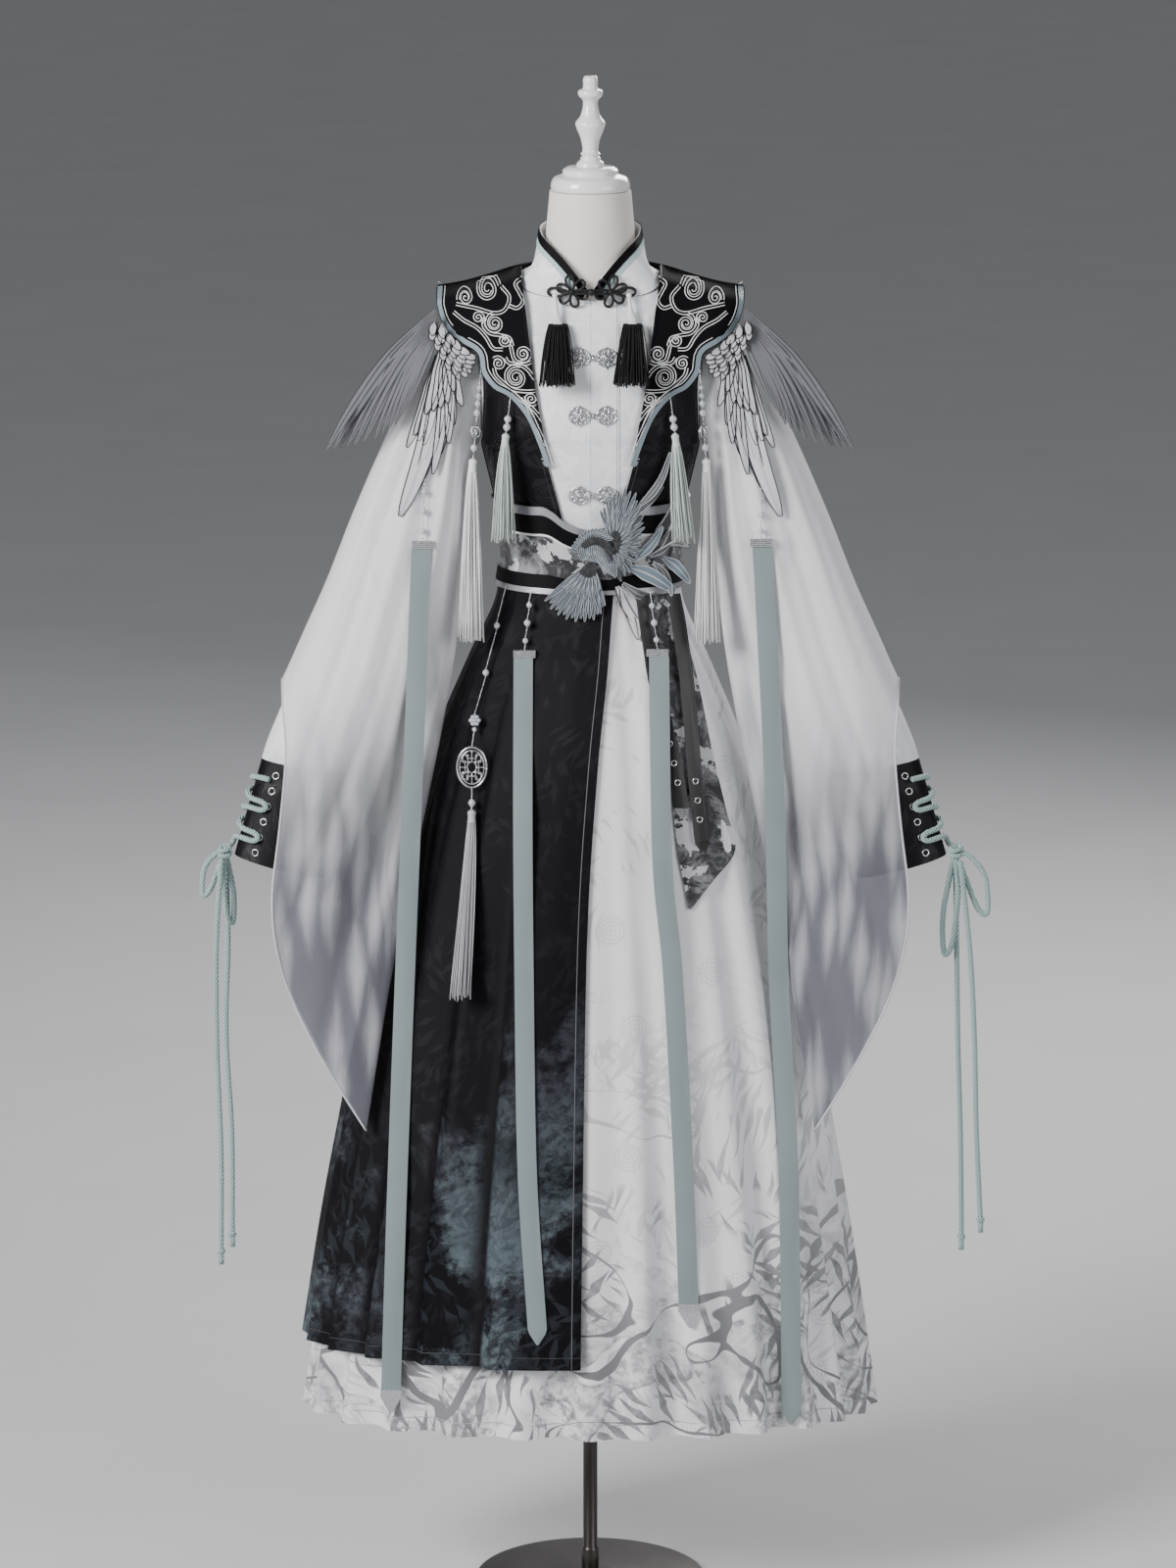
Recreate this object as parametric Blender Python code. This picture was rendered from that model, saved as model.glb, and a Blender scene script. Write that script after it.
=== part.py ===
"""A layered Chinese-style dress set on a limbless dress form with a round stand.

Metres, +Z up, the wearer's front towards -Y. The origin is the centre of the base's underside.
Cloth pieces are walls worked out from section tables; "out" is always a distance outwards from
the form's own surface, and "side" is -1 for the picture's left half and +1 for its right half.
"""

import math

import bmesh
import bpy
import numpy as np

# Cloth and seams
SEAM = 0.0003
SHIRT_IN, SHIRT_OUT = 0.0009, 0.0021
VEST_IN, VEST_OUT = 0.0041, 0.0053
BELT_IN, BELT_OUT = 0.0073, 0.0089
CAPE_IN, CAPE_OUT = 0.0071, 0.0091
WHITE_SKIRT_WALL = 0.0013
SLEEVE_WALL = 0.0012
OVERLAY_WALL = 0.0010

# Heights
BASE_HEIGHT = 0.014
FORM_BOTTOM = 0.98
NECK_TOP = 1.815
WAIST_SEAM = 1.3215
VEST_BOTTOM, VEST_TOP = 1.340, 1.698
VEST_LEAST_ANGLE = 0.04
VEST_BACK_EASE = 0.0014
BELT_BOTTOM = WAIST_SEAM + SEAM
WHITE_HEM = 0.243
BLACK_HEM = 0.338

# The form's level sections: height, half width, depth in front, depth behind
BODY = np.array([
    (0.980, 0.146, 0.098, 0.104),
    (1.060, 0.156, 0.103, 0.114),
    (1.140, 0.154, 0.102, 0.114),
    (1.220, 0.137, 0.096, 0.100),
    (1.300, 0.113, 0.084, 0.082),
    (1.365, 0.105, 0.080, 0.072),
    (1.420, 0.112, 0.087, 0.075),
    (1.480, 0.126, 0.103, 0.083),
    (1.530, 0.137, 0.111, 0.090),
    (1.580, 0.146, 0.106, 0.095),
    (1.630, 0.155, 0.091, 0.092),
    (1.660, 0.162, 0.076, 0.080),
    (1.676, 0.164, 0.066, 0.068),
    (1.690, 0.134, 0.063, 0.064),
    (1.704, 0.102, 0.061, 0.060),
    (1.718, 0.072, 0.059, 0.058),
    (1.735, 0.0580, 0.0570, 0.0560),
    (1.765, 0.0550, 0.0545, 0.0540),
    (1.815, 0.0505, 0.0505, 0.0505),
])
BODY_POWER = 0.90
SHOULDER_BEND = (1.60, 1.685)

# The skirts' level sections: height, half width, depth in front, depth behind
SKIRT = np.array([
    (0.243, 0.3720, 0.2050, 0.2100),
    (0.338, 0.3570, 0.2010, 0.2030),
    (0.500, 0.3330, 0.1910, 0.1910),
    (0.750, 0.2880, 0.1740, 0.1730),
    (0.950, 0.2450, 0.1570, 0.1560),
    (1.100, 0.1990, 0.1380, 0.1380),
    (1.220, 0.1520, 0.1110, 0.1150),
    (1.290, 0.1200, 0.0900, 0.0900),
    (1.3215, 0.1128, 0.0862, 0.0820),
])

# The armhole is an oval on the form's side: centre height, half height, half depth
ARMHOLE = (1.592, 0.083, 0.050)
VEST_ARMHOLE = (1.590, 0.092, 0.060)


# Materials and meshes

def material(name, colour, roughness, metallic=0.0, alpha=1.0):
    made = bpy.data.materials.new(name)
    made.use_nodes = True
    shader = made.node_tree.nodes["Principled BSDF"]
    shader.inputs["Base Color"].default_value = (*colour, 1.0)
    shader.inputs["Roughness"].default_value = roughness
    shader.inputs["Metallic"].default_value = metallic
    shader.inputs["Alpha"].default_value = alpha
    return made


def add_object(name, vertices, faces, finish, smooth_angle=40.0):
    """One named mesh object, its faces turned outwards."""
    mesh = bpy.data.meshes.new(name)
    mesh.from_pydata([tuple(map(float, point)) for point in vertices], [], faces)
    shape = bmesh.new()
    shape.from_mesh(mesh)
    bmesh.ops.recalc_face_normals(shape, faces=shape.faces)
    shape.to_mesh(mesh)
    shape.free()
    mesh.shade_smooth()
    mesh.set_sharp_from_angle(angle=math.radians(smooth_angle))
    mesh.materials.append(finish)
    made = bpy.data.objects.new(name, mesh)
    bpy.context.scene.collection.objects.link(made)
    return made


def grid_faces(rows, columns, start, around):
    faces = []
    for row in range(rows - 1):
        for column in range(columns if around else columns - 1):
            after = (column + 1) % columns
            faces.append((
                start + row * columns + column,
                start + row * columns + after,
                start + (row + 1) * columns + after,
                start + (row + 1) * columns + column,
            ))
    return faces


def split_alike(points, quads):
    """Each four-sided face of a grid cut along its shorter diagonal."""
    faces = []
    for a, b, c, d in quads:
        if np.linalg.norm(points[a] - points[c]) <= np.linalg.norm(points[b] - points[d]):
            faces += [(a, b, c), (a, c, d)]
        else:
            faces += [(a, b, d), (b, c, d)]
    return faces


def wall(name, outer, inner, finish, around=False):
    """A closed wall between two grids of points (rows x columns x 3), open at the grids' edges.

    Both layers are cut along the same diagonals, so that a twisted stretch keeps its thickness.
    """
    outer, inner = np.asarray(outer, float), np.asarray(inner, float)
    rows, columns = outer.shape[:2]
    count = rows * columns
    faces = split_alike(outer.reshape(-1, 3), grid_faces(rows, columns, 0, around))
    faces += [tuple(corner + count for corner in face[::-1]) for face in faces]
    for row in (0, rows - 1):
        for column in range(columns if around else columns - 1):
            a = row * columns + column
            b = row * columns + (column + 1) % columns
            faces.append((a, b, b + count, a + count))
    if not around:
        for column in (0, columns - 1):
            for row in range(rows - 1):
                a = row * columns + column
                b = a + columns
                faces.append((a, b, b + count, a + count))
    points = np.concatenate([outer.reshape(-1, 3), inner.reshape(-1, 3)])
    return add_object(name, points, faces, finish)


def turned(name, profile, sides, finish, centre=(0.0, 0.0), smooth_angle=40.0):
    """A solid of revolution about a vertical axis; the profile is (radius, height) from below."""
    points = []
    for radius, height in profile:
        for side in range(sides):
            turn = math.tau * side / sides
            points.append((centre[0] + radius * math.cos(turn), centre[1] + radius * math.sin(turn), height))
    faces = grid_faces(len(profile), sides, 0, True)
    faces.append(tuple(range(sides)))
    last = (len(profile) - 1) * sides
    faces.append(tuple(last + side for side in range(sides)))
    return add_object(name, points, faces, finish, smooth_angle)


def smoothstep(low, high, value):
    t = np.clip((value - low) / (high - low), 0.0, 1.0)
    return t * t * (3.0 - 2.0 * t)


def table_row(table, height):
    return [float(np.interp(height, table[:, 0], table[:, column])) for column in (1, 2, 3)]


def signed_power(value, power):
    return math.copysign(abs(value) ** power, value)


def body_power(height):
    """The form's section is squarer at the chest and round at the neck."""
    return BODY_POWER + (1.0 - BODY_POWER) * float(smoothstep(1.704, 1.735, height))


def body_point(angle, height, out):
    """A point outside the form; angle 0 is the front, 90 degrees the picture's right."""
    half, front, back = table_row(BODY, height)
    depth = front if math.cos(angle) > 0 else back
    x = (half + out) * signed_power(math.sin(angle), body_power(height))
    y = -(depth + out) * signed_power(math.cos(angle), body_power(height))
    lift = out * float(smoothstep(*SHOULDER_BEND, height))
    return np.array((x, y, height + lift))


def body_angle_at_x(x, height, out):
    half = table_row(BODY, height)[0] + out
    return math.asin(min(1.0, abs(x) / half) ** (1.0 / body_power(height))) * (1 if x > 0 else -1)


def body_angle_at_depth(depth, height, out, behind):
    """The angle from the centre line at which the surface is this far from the shoulder line."""
    full = table_row(BODY, height)[2 if behind else 1] + out
    return math.acos(min(1.0, abs(depth) / full) ** (1.0 / body_power(height)))


def body_front_y(x, height, out):
    half, front = table_row(BODY, height)[:2]
    power = body_power(height)
    share = min(1.0, abs(x) / (half + out)) ** (2.0 / power)
    return -(front + out) * (1.0 - share) ** (power / 2.0)


def skirt_power(height):
    """The skirt's section is the form's near the waist and an ellipse lower down."""
    return BODY_POWER + (1.0 - BODY_POWER) * (1.0 - float(smoothstep(1.00, 1.22, height)))


def skirt_point(angle, height, out):
    half, front, back = table_row(SKIRT, height)
    depth = front if math.cos(angle) > 0 else back
    power = skirt_power(height)
    return np.array((
        (half + out) * signed_power(math.sin(angle), power),
        -(depth + out) * signed_power(math.cos(angle), power),
        height,
    ))


def skirt_front_y(x, height, out):
    half, front = table_row(SKIRT, height)[:2]
    power = skirt_power(height)
    share = min(1.0, abs(x) / (half + out)) ** (2.0 / power)
    return -(front + out) * (1.0 - share) ** (power / 2.0)


def clear_scene():
    for existing in list(bpy.data.objects):
        bpy.data.objects.remove(existing, do_unlink=True)
    for existing in list(bpy.data.materials):
        bpy.data.materials.remove(existing)


clear_scene()

IVORY = material("form_cloth", (0.80, 0.75, 0.71), 0.75)
GLOSS_WHITE = material("white_lacquer", (0.85, 0.85, 0.84), 0.22)
DARK_METAL = material("dark_metal", (0.055, 0.052, 0.055), 0.35, 0.85)
WHITE_SATIN = material("white_satin", (0.80, 0.81, 0.84), 0.45)
BLACK_SATIN = material("black_satin", (0.014, 0.011, 0.017), 0.38)
BLACK_VELVET = material("black_velvet", (0.008, 0.008, 0.010), 0.80)
CHIFFON = material("chiffon", (0.62, 0.63, 0.68), 0.60)
ORGANZA = material("organza", (0.30, 0.31, 0.35), 0.60)
BROCADE = material("ink_brocade", (0.18, 0.18, 0.20), 0.50)
RIBBON = material("grey_teal_ribbon", (0.27, 0.36, 0.37), 0.55)
LACE_CORD = material("seafoam_cord", (0.36, 0.51, 0.50), 0.70)
SILVER = material("silver_metal", (0.62, 0.62, 0.63), 0.28, 1.0)
PEARL = material("pearl", (0.66, 0.66, 0.72), 0.25)
TASSEL_WHITE = material("tassel_white", (0.78, 0.79, 0.78), 0.50)
TASSEL_GREEN = material("tassel_pale_green", (0.58, 0.64, 0.60), 0.50)
TASSEL_BLACK = material("tassel_black", (0.03, 0.03, 0.035), 0.50)
LEATHER = material("black_leather", (0.012, 0.012, 0.014), 0.42)
APPLIQUE = material("grey_blue_thread", (0.26, 0.33, 0.38), 0.55)
FROG = material("black_frog_cord", (0.010, 0.010, 0.012), 0.50)


# Dress form and stand

BASE_RADIUS = 0.150
POLE_RADIUS = 0.0093
FORM_SIDES = 20
CHEST_EASE = 0.0034
BACK_EASE = 0.0011
FORM_HEIGHTS = (
    0.98, 1.06, 1.14, 1.22, 1.30, 1.365, 1.42, 1.48, 1.53, 1.58, 1.63, 1.66, 1.676, 1.690, 1.704,
    1.718, 1.735, 1.765, 1.815,
)
# Radius and height of each turned stretch, from below
CAP_PROFILE = (
    (0.0470, 0.0000), (0.0492, 0.0030), (0.0488, 0.0090), (0.0450, 0.0160), (0.0352, 0.0200),
    (0.0346, 0.0250), (0.0290, 0.0290),
)
FINIAL_PROFILE = (
    (0.0176, 0.0000), (0.0165, 0.0050), (0.0125, 0.0085), (0.0128, 0.0110), (0.0100, 0.0130),
    (0.0126, 0.0160), (0.0098, 0.0200), (0.0120, 0.0340), (0.0168, 0.0460), (0.0186, 0.0540),
    (0.0120, 0.0640), (0.0092, 0.0800), (0.0150, 0.0880), (0.0148, 0.0940), (0.0094, 0.0970),
    (0.0092, 0.1080), (0.0070, 0.1120),
)


def build_form():
    base = ((BASE_RADIUS, 0.0), (BASE_RADIUS, 0.005), (BASE_RADIUS - 0.004, 0.008),
            (0.060, 0.0115), (0.030, BASE_HEIGHT))
    turned("form_base", base, 30, DARK_METAL, smooth_angle=30.0)
    pole_top = FORM_BOTTOM - SEAM
    foot = BASE_HEIGHT + SEAM
    pole = ((0.0112, foot), (0.0112, 0.046), (POLE_RADIUS, 0.047), (POLE_RADIUS, pole_top))
    turned("form_pole", pole, 14, DARK_METAL, smooth_angle=50.0)
    points = []
    for height in FORM_HEIGHTS:
        for side in range(FORM_SIDES):
            angle = math.tau * side / FORM_SIDES
            ease = BACK_EASE + CHEST_EASE * abs(math.sin(angle)) if 1.45 < height < 1.70 else 0.0
            points.append(body_point(angle, height, -ease))
    faces = grid_faces(len(FORM_HEIGHTS), FORM_SIDES, 0, True)
    faces.append(tuple(range(FORM_SIDES)))
    last = (len(FORM_HEIGHTS) - 1) * FORM_SIDES
    faces.append(tuple(last + side for side in range(FORM_SIDES)))
    add_object("form_torso", points, faces, IVORY, 60.0)
    cap_foot = NECK_TOP + SEAM
    turned("form_neck_cap", [(r, cap_foot + h) for r, h in CAP_PROFILE], 18, GLOSS_WHITE)
    finial_foot = cap_foot + CAP_PROFILE[-1][1] + SEAM
    turned("form_finial", [(r, finial_foot + h) for r, h in FINIAL_PROFILE], 8, GLOSS_WHITE)


# Shirt and vest panels on the form

PANEL_HEIGHTS = (
    1.335, 1.365, 1.420, 1.480, 1.498, 1.504, 1.512, 1.530, 1.580, 1.630, 1.660, 1.676, 1.690, 1.704,
    1.718, 1.7252,
)
SQUEEZE_FROM = 1.630
# The neck seam: angle from the front in degrees, height
NECK_SEAM = np.array([
    (0, 1.684), (25, 1.689), (50, 1.702), (70, 1.7165), (90, 1.7250), (180, 1.7252),
])
# The V of the vest's fronts: height, distance from the centre line
VEST_EDGE = np.array([
    (1.34, 0.024), (1.42, 0.036), (1.450, 0.044), (1.488, 0.0535), (1.536, 0.0600), (1.582, 0.0685),
    (1.620, 0.0745), (1.666, 0.0800), (1.722, 0.0865),
])


def neck_seam_height(angle):
    turn = abs(math.degrees(angle)) % 360.0
    return float(np.interp(min(turn, 360.0 - turn), NECK_SEAM[:, 0], NECK_SEAM[:, 1]))


def armhole_depth(height, armhole):
    """How far the armhole's edge lies in front of or behind the shoulder line at this height."""
    centre, half_height, half_depth = armhole
    rise = (height - centre) / half_height
    return half_depth * math.sqrt(max(0.0, 1.0 - rise * rise))


def side_edge_angle(height, out, armhole, behind):
    """The angle from the front or back centre line out to the armhole or the side seam."""
    depth = armhole_depth(height, armhole)
    seam = math.radians(90.0) - SEAM / 0.15
    if depth <= 0.0:
        return seam
    return min(seam, body_angle_at_depth(depth, height, out, behind))


def body_panel(name, angles, heights, top_of, outs, finish, columns):
    """A panel on the form. angles(height, out) gives its two edges as angles, top_of(angle) its top."""
    layers = []
    span = heights[-1] - SQUEEZE_FROM
    for out in outs:
        grid = []
        for nominal in heights:
            row = []
            for column in range(columns):
                share = column / (columns - 1)
                height = nominal
                for _ in range(3):
                    low, high = angles(height, out)
                    angle = low + (high - low) * share
                    if nominal > SQUEEZE_FROM:
                        squeeze = (top_of(angle) - SQUEEZE_FROM) / span
                        height = SQUEEZE_FROM + (nominal - SQUEEZE_FROM) * squeeze
                row.append(body_point(angle, height, out))
            grid.append(row)
        layers.append(grid)
    return wall(name, layers[0], layers[1], finish)


def build_shirt():
    half_seam = 0.5 * SEAM
    for side, label in ((-1, "left"), (1, "right")):
        def front_angles(height, out, side=side):
            start = body_angle_at_x(half_seam, height, out)
            return side * start, side * side_edge_angle(height, out, ARMHOLE, False)
        body_panel(f"shirt_front_{label}", front_angles, PANEL_HEIGHTS, neck_seam_height,
                   (SHIRT_OUT, SHIRT_IN), WHITE_SATIN, 7)

    def back_angles(height, out):
        reach = side_edge_angle(height, out, ARMHOLE, True)
        return math.pi - reach, math.pi + reach
    body_panel("shirt_back", back_angles, PANEL_HEIGHTS, neck_seam_height,
               (SHIRT_OUT, SHIRT_IN), WHITE_SATIN, 11)


def build_vest():
    heights = (VEST_BOTTOM,) + PANEL_HEIGHTS[1:-3] + (VEST_TOP,)
    for side, label in ((-1, "left"), (1, "right")):
        def front_angles(height, out, side=side):
            x = float(np.interp(height, VEST_EDGE[:, 0], VEST_EDGE[:, 1]))
            edge = side_edge_angle(height, out, VEST_ARMHOLE, False)
            start = min(body_angle_at_x(x, height, out), edge - VEST_LEAST_ANGLE)
            return side * start, side * edge
        body_panel(f"vest_front_{label}", front_angles, heights, lambda angle: VEST_TOP,
                   (VEST_OUT, VEST_IN), BLACK_SATIN, 7)

    def back_angles(height, out):
        reach = side_edge_angle(height, out, VEST_ARMHOLE, True)
        return math.pi - reach, math.pi + reach
    body_panel("vest_back", back_angles, heights, lambda angle: VEST_TOP,
               (VEST_OUT + VEST_BACK_EASE, VEST_IN + VEST_BACK_EASE), BLACK_SATIN, 11)


# Stand collar and the cloud-shaped shoulder collar

# Angle from the front in degrees; heights of the stand collar's foot and top
STAND_COLLAR = np.array([
    (3, 1.6846, 1.7010), (14, 1.6870, 1.7180), (30, 1.6925, 1.7370), (50, 1.7030, 1.7520),
    (70, 1.7175, 1.7620), (90, 1.7258, 1.7690), (108, 1.7260, 1.7720), (126, 1.7260, 1.7745),
    (144, 1.7260, 1.7765), (162, 1.7260, 1.7775), (180, 1.7260, 1.7780),
])
COLLAR_TOP_HALF, COLLAR_TOP_FRONT, COLLAR_TOP_BACK = 0.0615, 0.0610, 0.0600
COLLAR_WALL = 0.0018
COLLAR_SLOPE = 6.0
COLLAR_FOOT_OUT = 0.0044
# Inner and outer edge of the shoulder collar's front: x and height of each, on one side.
# A height of 0 stands for the shoulder line.
CLOUD_FRONT = np.array([
    (0.0860, 0.0, 0.1915, 0.0),
    (0.0856, 1.7125, 0.1908, 1.682),
    (0.0850, 1.703, 0.1895, 1.673),
    (0.0830, 1.690, 0.1855, 1.660),
    (0.0805, 1.676, 0.1800, 1.650),
    (0.0785, 1.660, 0.1720, 1.641),
    (0.0768, 1.645, 0.1590, 1.6325),
    (0.0748, 1.630, 0.1400, 1.6210),
    (0.0718, 1.605, 0.1350, 1.5980),
    (0.0682, 1.580, 0.1200, 1.5790),
    (0.0640, 1.556, 0.1000, 1.5690),
    (0.0592, 1.530, 0.0790, 1.5450),
    (0.0556, 1.506, 0.0650, 1.5120),
    (0.0535, 1.486, 0.0560, 1.4850),
])
CAPE_COLUMNS = 6
BACK_CAPE_COLUMNS = 13
BACK_CAPE_EASE = 0.0026
BACK_CAPE_SHARES = (0.0, 0.08, 0.18, 0.32, 0.60, 1.0)
BACK_CAPE_HALF, BACK_CAPE_LOW, BACK_NECKLINE = 0.1905, 1.592, 1.7200
# The shoulder collar's own level sections where it stands off the shoulders
CAPE = np.array([
    (1.560, 0.1700, 0.1120, 0.0990),
    (1.600, 0.1800, 0.1060, 0.0980),
    (1.630, 0.1880, 0.0950, 0.0940),
    (1.655, 0.1930, 0.0820, 0.0840),
    (1.672, 0.1950, 0.0700, 0.0720),
    (1.684, 0.1935, 0.0640, 0.0660),
    (1.700, 0.1480, 0.0630, 0.0640),
    (1.7135, 0.1080, 0.0610, 0.0620),
])
CAPE_BLEND = (0.095, 0.165)
RIDGE = np.array([
    (0.080, 1.7150), (0.1080, 1.7050), (0.1480, 1.6935), (0.1700, 1.6880), (0.1950, 1.6850),
])


def cape_point(x, height, out, behind=False):
    """A point of the shoulder collar: on the vest near the neck, standing off at the shoulder."""
    ridge = float(np.interp(abs(x), RIDGE[:, 0], RIDGE[:, 1])) + out
    if height <= 0.0 or height > ridge - 0.0008:
        return np.array((x, (SEAM if behind else -SEAM), ridge))
    half, front, back = table_row(CAPE, height)
    depth = back if behind else front
    share = min(1.0, abs(x) / (half + out)) ** (2.0 / BODY_POWER)
    stood_off = (depth + out) * (1.0 - share) ** (BODY_POWER / 2.0)
    lift = out * float(smoothstep(*SHOULDER_BEND, height))
    body_half, body_front, body_back = table_row(BODY, height - lift)
    body_depth = body_back if behind else body_front
    share = min(1.0, abs(x) / (body_half + out)) ** (2.0 / BODY_POWER)
    close = (body_depth + out) * (1.0 - share) ** (BODY_POWER / 2.0)
    blend = float(smoothstep(*CAPE_BLEND, abs(x)))
    far = max(close, (1.0 - blend) * close + blend * stood_off, 2.0 * SEAM)
    return np.array((x, far if behind else -far, height))


def moved_towards(outer, distance, inside):
    """The grid moved along its own normals, towards the side on which the inside point lies."""
    outer = np.asarray(outer, float)
    normal = np.cross(np.gradient(outer, axis=1), np.gradient(outer, axis=0))
    normal /= np.maximum(np.linalg.norm(normal, axis=2, keepdims=True), 1e-9)
    if np.sum(normal * (outer - np.asarray(inside))) < 0.0:
        normal = -normal
    return outer - distance * normal


def tube_moved_in(outer, distance):
    """A grid that closes on itself around, moved towards the middle of each of its rows."""
    outer = np.asarray(outer, float)
    along = np.roll(outer, -1, axis=1) - np.roll(outer, 1, axis=1)
    normal = np.cross(along, np.gradient(outer, axis=0))
    normal /= np.maximum(np.linalg.norm(normal, axis=2, keepdims=True), 1e-9)
    if np.sum(normal * (outer - outer.mean(axis=1, keepdims=True))) < 0.0:
        normal = -normal
    return outer - distance * normal


def build_collars():
    half = []
    for degrees, foot, top in STAND_COLLAR:
        half.append((math.radians(degrees), foot, top))
    columns = half + [(math.tau - angle, foot, top) for angle, foot, top in reversed(half[:-1])]
    outer = []
    for share in (0.0, 0.5, 1.0):
        row = []
        for angle, foot, top in columns:
            low = body_point(angle, foot, COLLAR_FOOT_OUT)
            low[2] = foot + 2.0 * SEAM + SHIRT_OUT
            depth = COLLAR_TOP_FRONT if math.cos(angle) > 0 else COLLAR_TOP_BACK
            drop = (STAND_COLLAR[-1, 2] - top) / COLLAR_SLOPE
            high = np.array((
                (COLLAR_TOP_HALF + drop) * math.sin(angle),
                -(depth + drop) * math.cos(angle),
                top,
            ))
            row.append(low + (high - low) * share)
        outer.append(row)
    wall("stand_collar", outer, moved_towards(outer, COLLAR_WALL, (0.0, 0.0, 1.74)), WHITE_SATIN)

    for side, label in ((-1, "left"), (1, "right")):
        grid = []
        for inner_x, inner_z, outer_x, outer_z in CLOUD_FRONT:
            row = []
            for column in range(CAPE_COLUMNS):
                share = column / (CAPE_COLUMNS - 1)
                x = inner_x + (outer_x - inner_x) * share
                height = inner_z + (outer_z - inner_z) * share
                row.append(cape_point(side * x, height, CAPE_OUT))
            grid.append(row)
        inner = moved_towards(grid, CAPE_OUT - CAPE_IN, (0.0, 0.0, 1.55))
        inner[..., 1] = np.minimum(inner[..., 1], -SEAM)
        wall(f"cloud_collar_{label}", grid, inner, BLACK_VELVET)

    grid = []
    for share in BACK_CAPE_SHARES:
        row = []
        for column in range(BACK_CAPE_COLUMNS):
            x = BACK_CAPE_HALF * (2.0 * column / (BACK_CAPE_COLUMNS - 1) - 1.0)
            ridge = float(np.interp(abs(x), RIDGE[:, 0], RIDGE[:, 1])) + CAPE_OUT
            top = min(ridge, BACK_NECKLINE)
            low = BACK_CAPE_LOW + (ridge - 0.004 - BACK_CAPE_LOW) * (abs(x) / BACK_CAPE_HALF) ** 3
            at_ridge = share == 0.0 and ridge <= BACK_NECKLINE
            height = 0.0 if at_ridge else top + (low - top) * share
            row.append(cape_point(x, height, CAPE_OUT + BACK_CAPE_EASE, behind=True))
        grid.append(row)
    inner = moved_towards(grid, CAPE_OUT - CAPE_IN, (0.0, 0.0, 1.55))
    inner[..., 1] = np.maximum(inner[..., 1], SEAM)
    wall("cloud_collar_back", grid, inner, BLACK_VELVET)


# Belt

# Angle from the front in degrees, height of the belt's top edge
BELT_EDGE = np.array([
    (0, 1.404), (8, 1.406), (24, 1.431), (60, 1.433), (180, 1.433),
])
BELT_COLUMNS = 30


def build_belt():
    layers = []
    for out in (BELT_OUT, BELT_IN):
        grid = []
        for share in (0.0, 0.42, 1.0):
            row = []
            for column in range(BELT_COLUMNS):
                angle = math.tau * column / BELT_COLUMNS
                turn = math.degrees(min(angle, math.tau - angle))
                top = float(np.interp(turn, BELT_EDGE[:, 0], BELT_EDGE[:, 1]))
                row.append(body_point(angle, BELT_BOTTOM + (top - BELT_BOTTOM) * share, out))
            grid.append(row)
        layers.append(grid)
    wall("belt", layers[0], layers[1], BROCADE, around=True)


# Skirts

SKIRT_HEIGHTS = (1.3215, 1.290, 1.220, 1.100, 0.900, 0.560)
HEM_LIFT = 0.014
# Valleys of the white skirt's soft folds: angle from the front in degrees, share of the full depth
FRONT_FOLDS = (
    (-82, 0.8), (-66, 1.0), (-50, 0.7), (-35, 0.9), (-20, 0.6), (-7, 0.8), (6, 0.5), (17, 1.0),
    (30, 0.7), (42, 1.0), (55, 0.6), (67, 0.9), (80, 0.7),
)
BACK_FOLDS = (
    (101, 0.8), (118, 1.0), (135, 0.7), (152, 0.9), (170, 0.8), (188, 1.0), (206, 0.7), (224, 1.0),
    (242, 0.8), (258, 0.9),
)
FOLD_DEPTH = 0.024
# The black overskirt's front edge: height, distance from the centre line
OVERSKIRT_EDGE = np.array([
    (0.338, -0.0120), (0.750, -0.0075), (0.977, -0.0020), (1.220, 0.0160), (1.3215, 0.0240),
])
# Knife pleats of the overskirt: angle of each pleat's front fold, in degrees
PLEAT_FOLDS = (
    -20, -35, -50, -64, -78, -92, -106, -120, -134, -148, -163,
)
PLEAT_RETURN = 3.2
PLEAT_DEPTH = 0.013
OVERSKIRT_END = -178.5
OVERSKIRT_IN, OVERSKIRT_OUT = 0.0014, 0.0028


def fall(height, top, hem):
    """0 at the waist and 1 at the hem."""
    return min(1.0, max(0.0, (top - height) / (top - hem)))


def skirt_grid(columns, heights, hem, out_of):
    """Rows from the waist to the hem; columns are (angle in degrees, share of the fold)."""
    grid = []
    for height in (*heights, hem):
        row = []
        for degrees, share in columns:
            angle = math.radians(degrees)
            lift = HEM_LIFT * max(0.0, math.cos(angle)) if height == hem else 0.0
            point = skirt_point(angle, height, out_of(height, share))
            point[2] += lift
            row.append(point)
        grid.append(row)
    return grid


def fold_columns(folds, first, last):
    """Crests midway between the valleys, with the panel's two edges."""
    columns = [(first, 0.0)]
    for index, (degrees, share) in enumerate(folds):
        columns.append((degrees, share))
        after = folds[index + 1][0] if index + 1 < len(folds) else None
        if after is not None:
            columns.append((0.5 * (degrees + after), 0.0))
    columns.append((last, 0.0))
    return columns


def build_white_skirt():
    edge = math.degrees(SEAM / 0.2)
    for name, columns in (
        ("white_skirt_front", fold_columns(FRONT_FOLDS, -90.0 + edge, 90.0 - edge)),
        ("white_skirt_back", fold_columns(BACK_FOLDS, 90.0 + edge, 270.0 - edge)),
    ):
        layers = []
        for out in (0.0, -WHITE_SKIRT_WALL):
            def out_of(height, share, out=out):
                return out - FOLD_DEPTH * share * fall(height, WAIST_SEAM, WHITE_HEM) ** 1.3
            layers.append(skirt_grid(columns, SKIRT_HEIGHTS, WHITE_HEM, out_of))
        wall(name, layers[0], layers[1], WHITE_SATIN)


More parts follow.
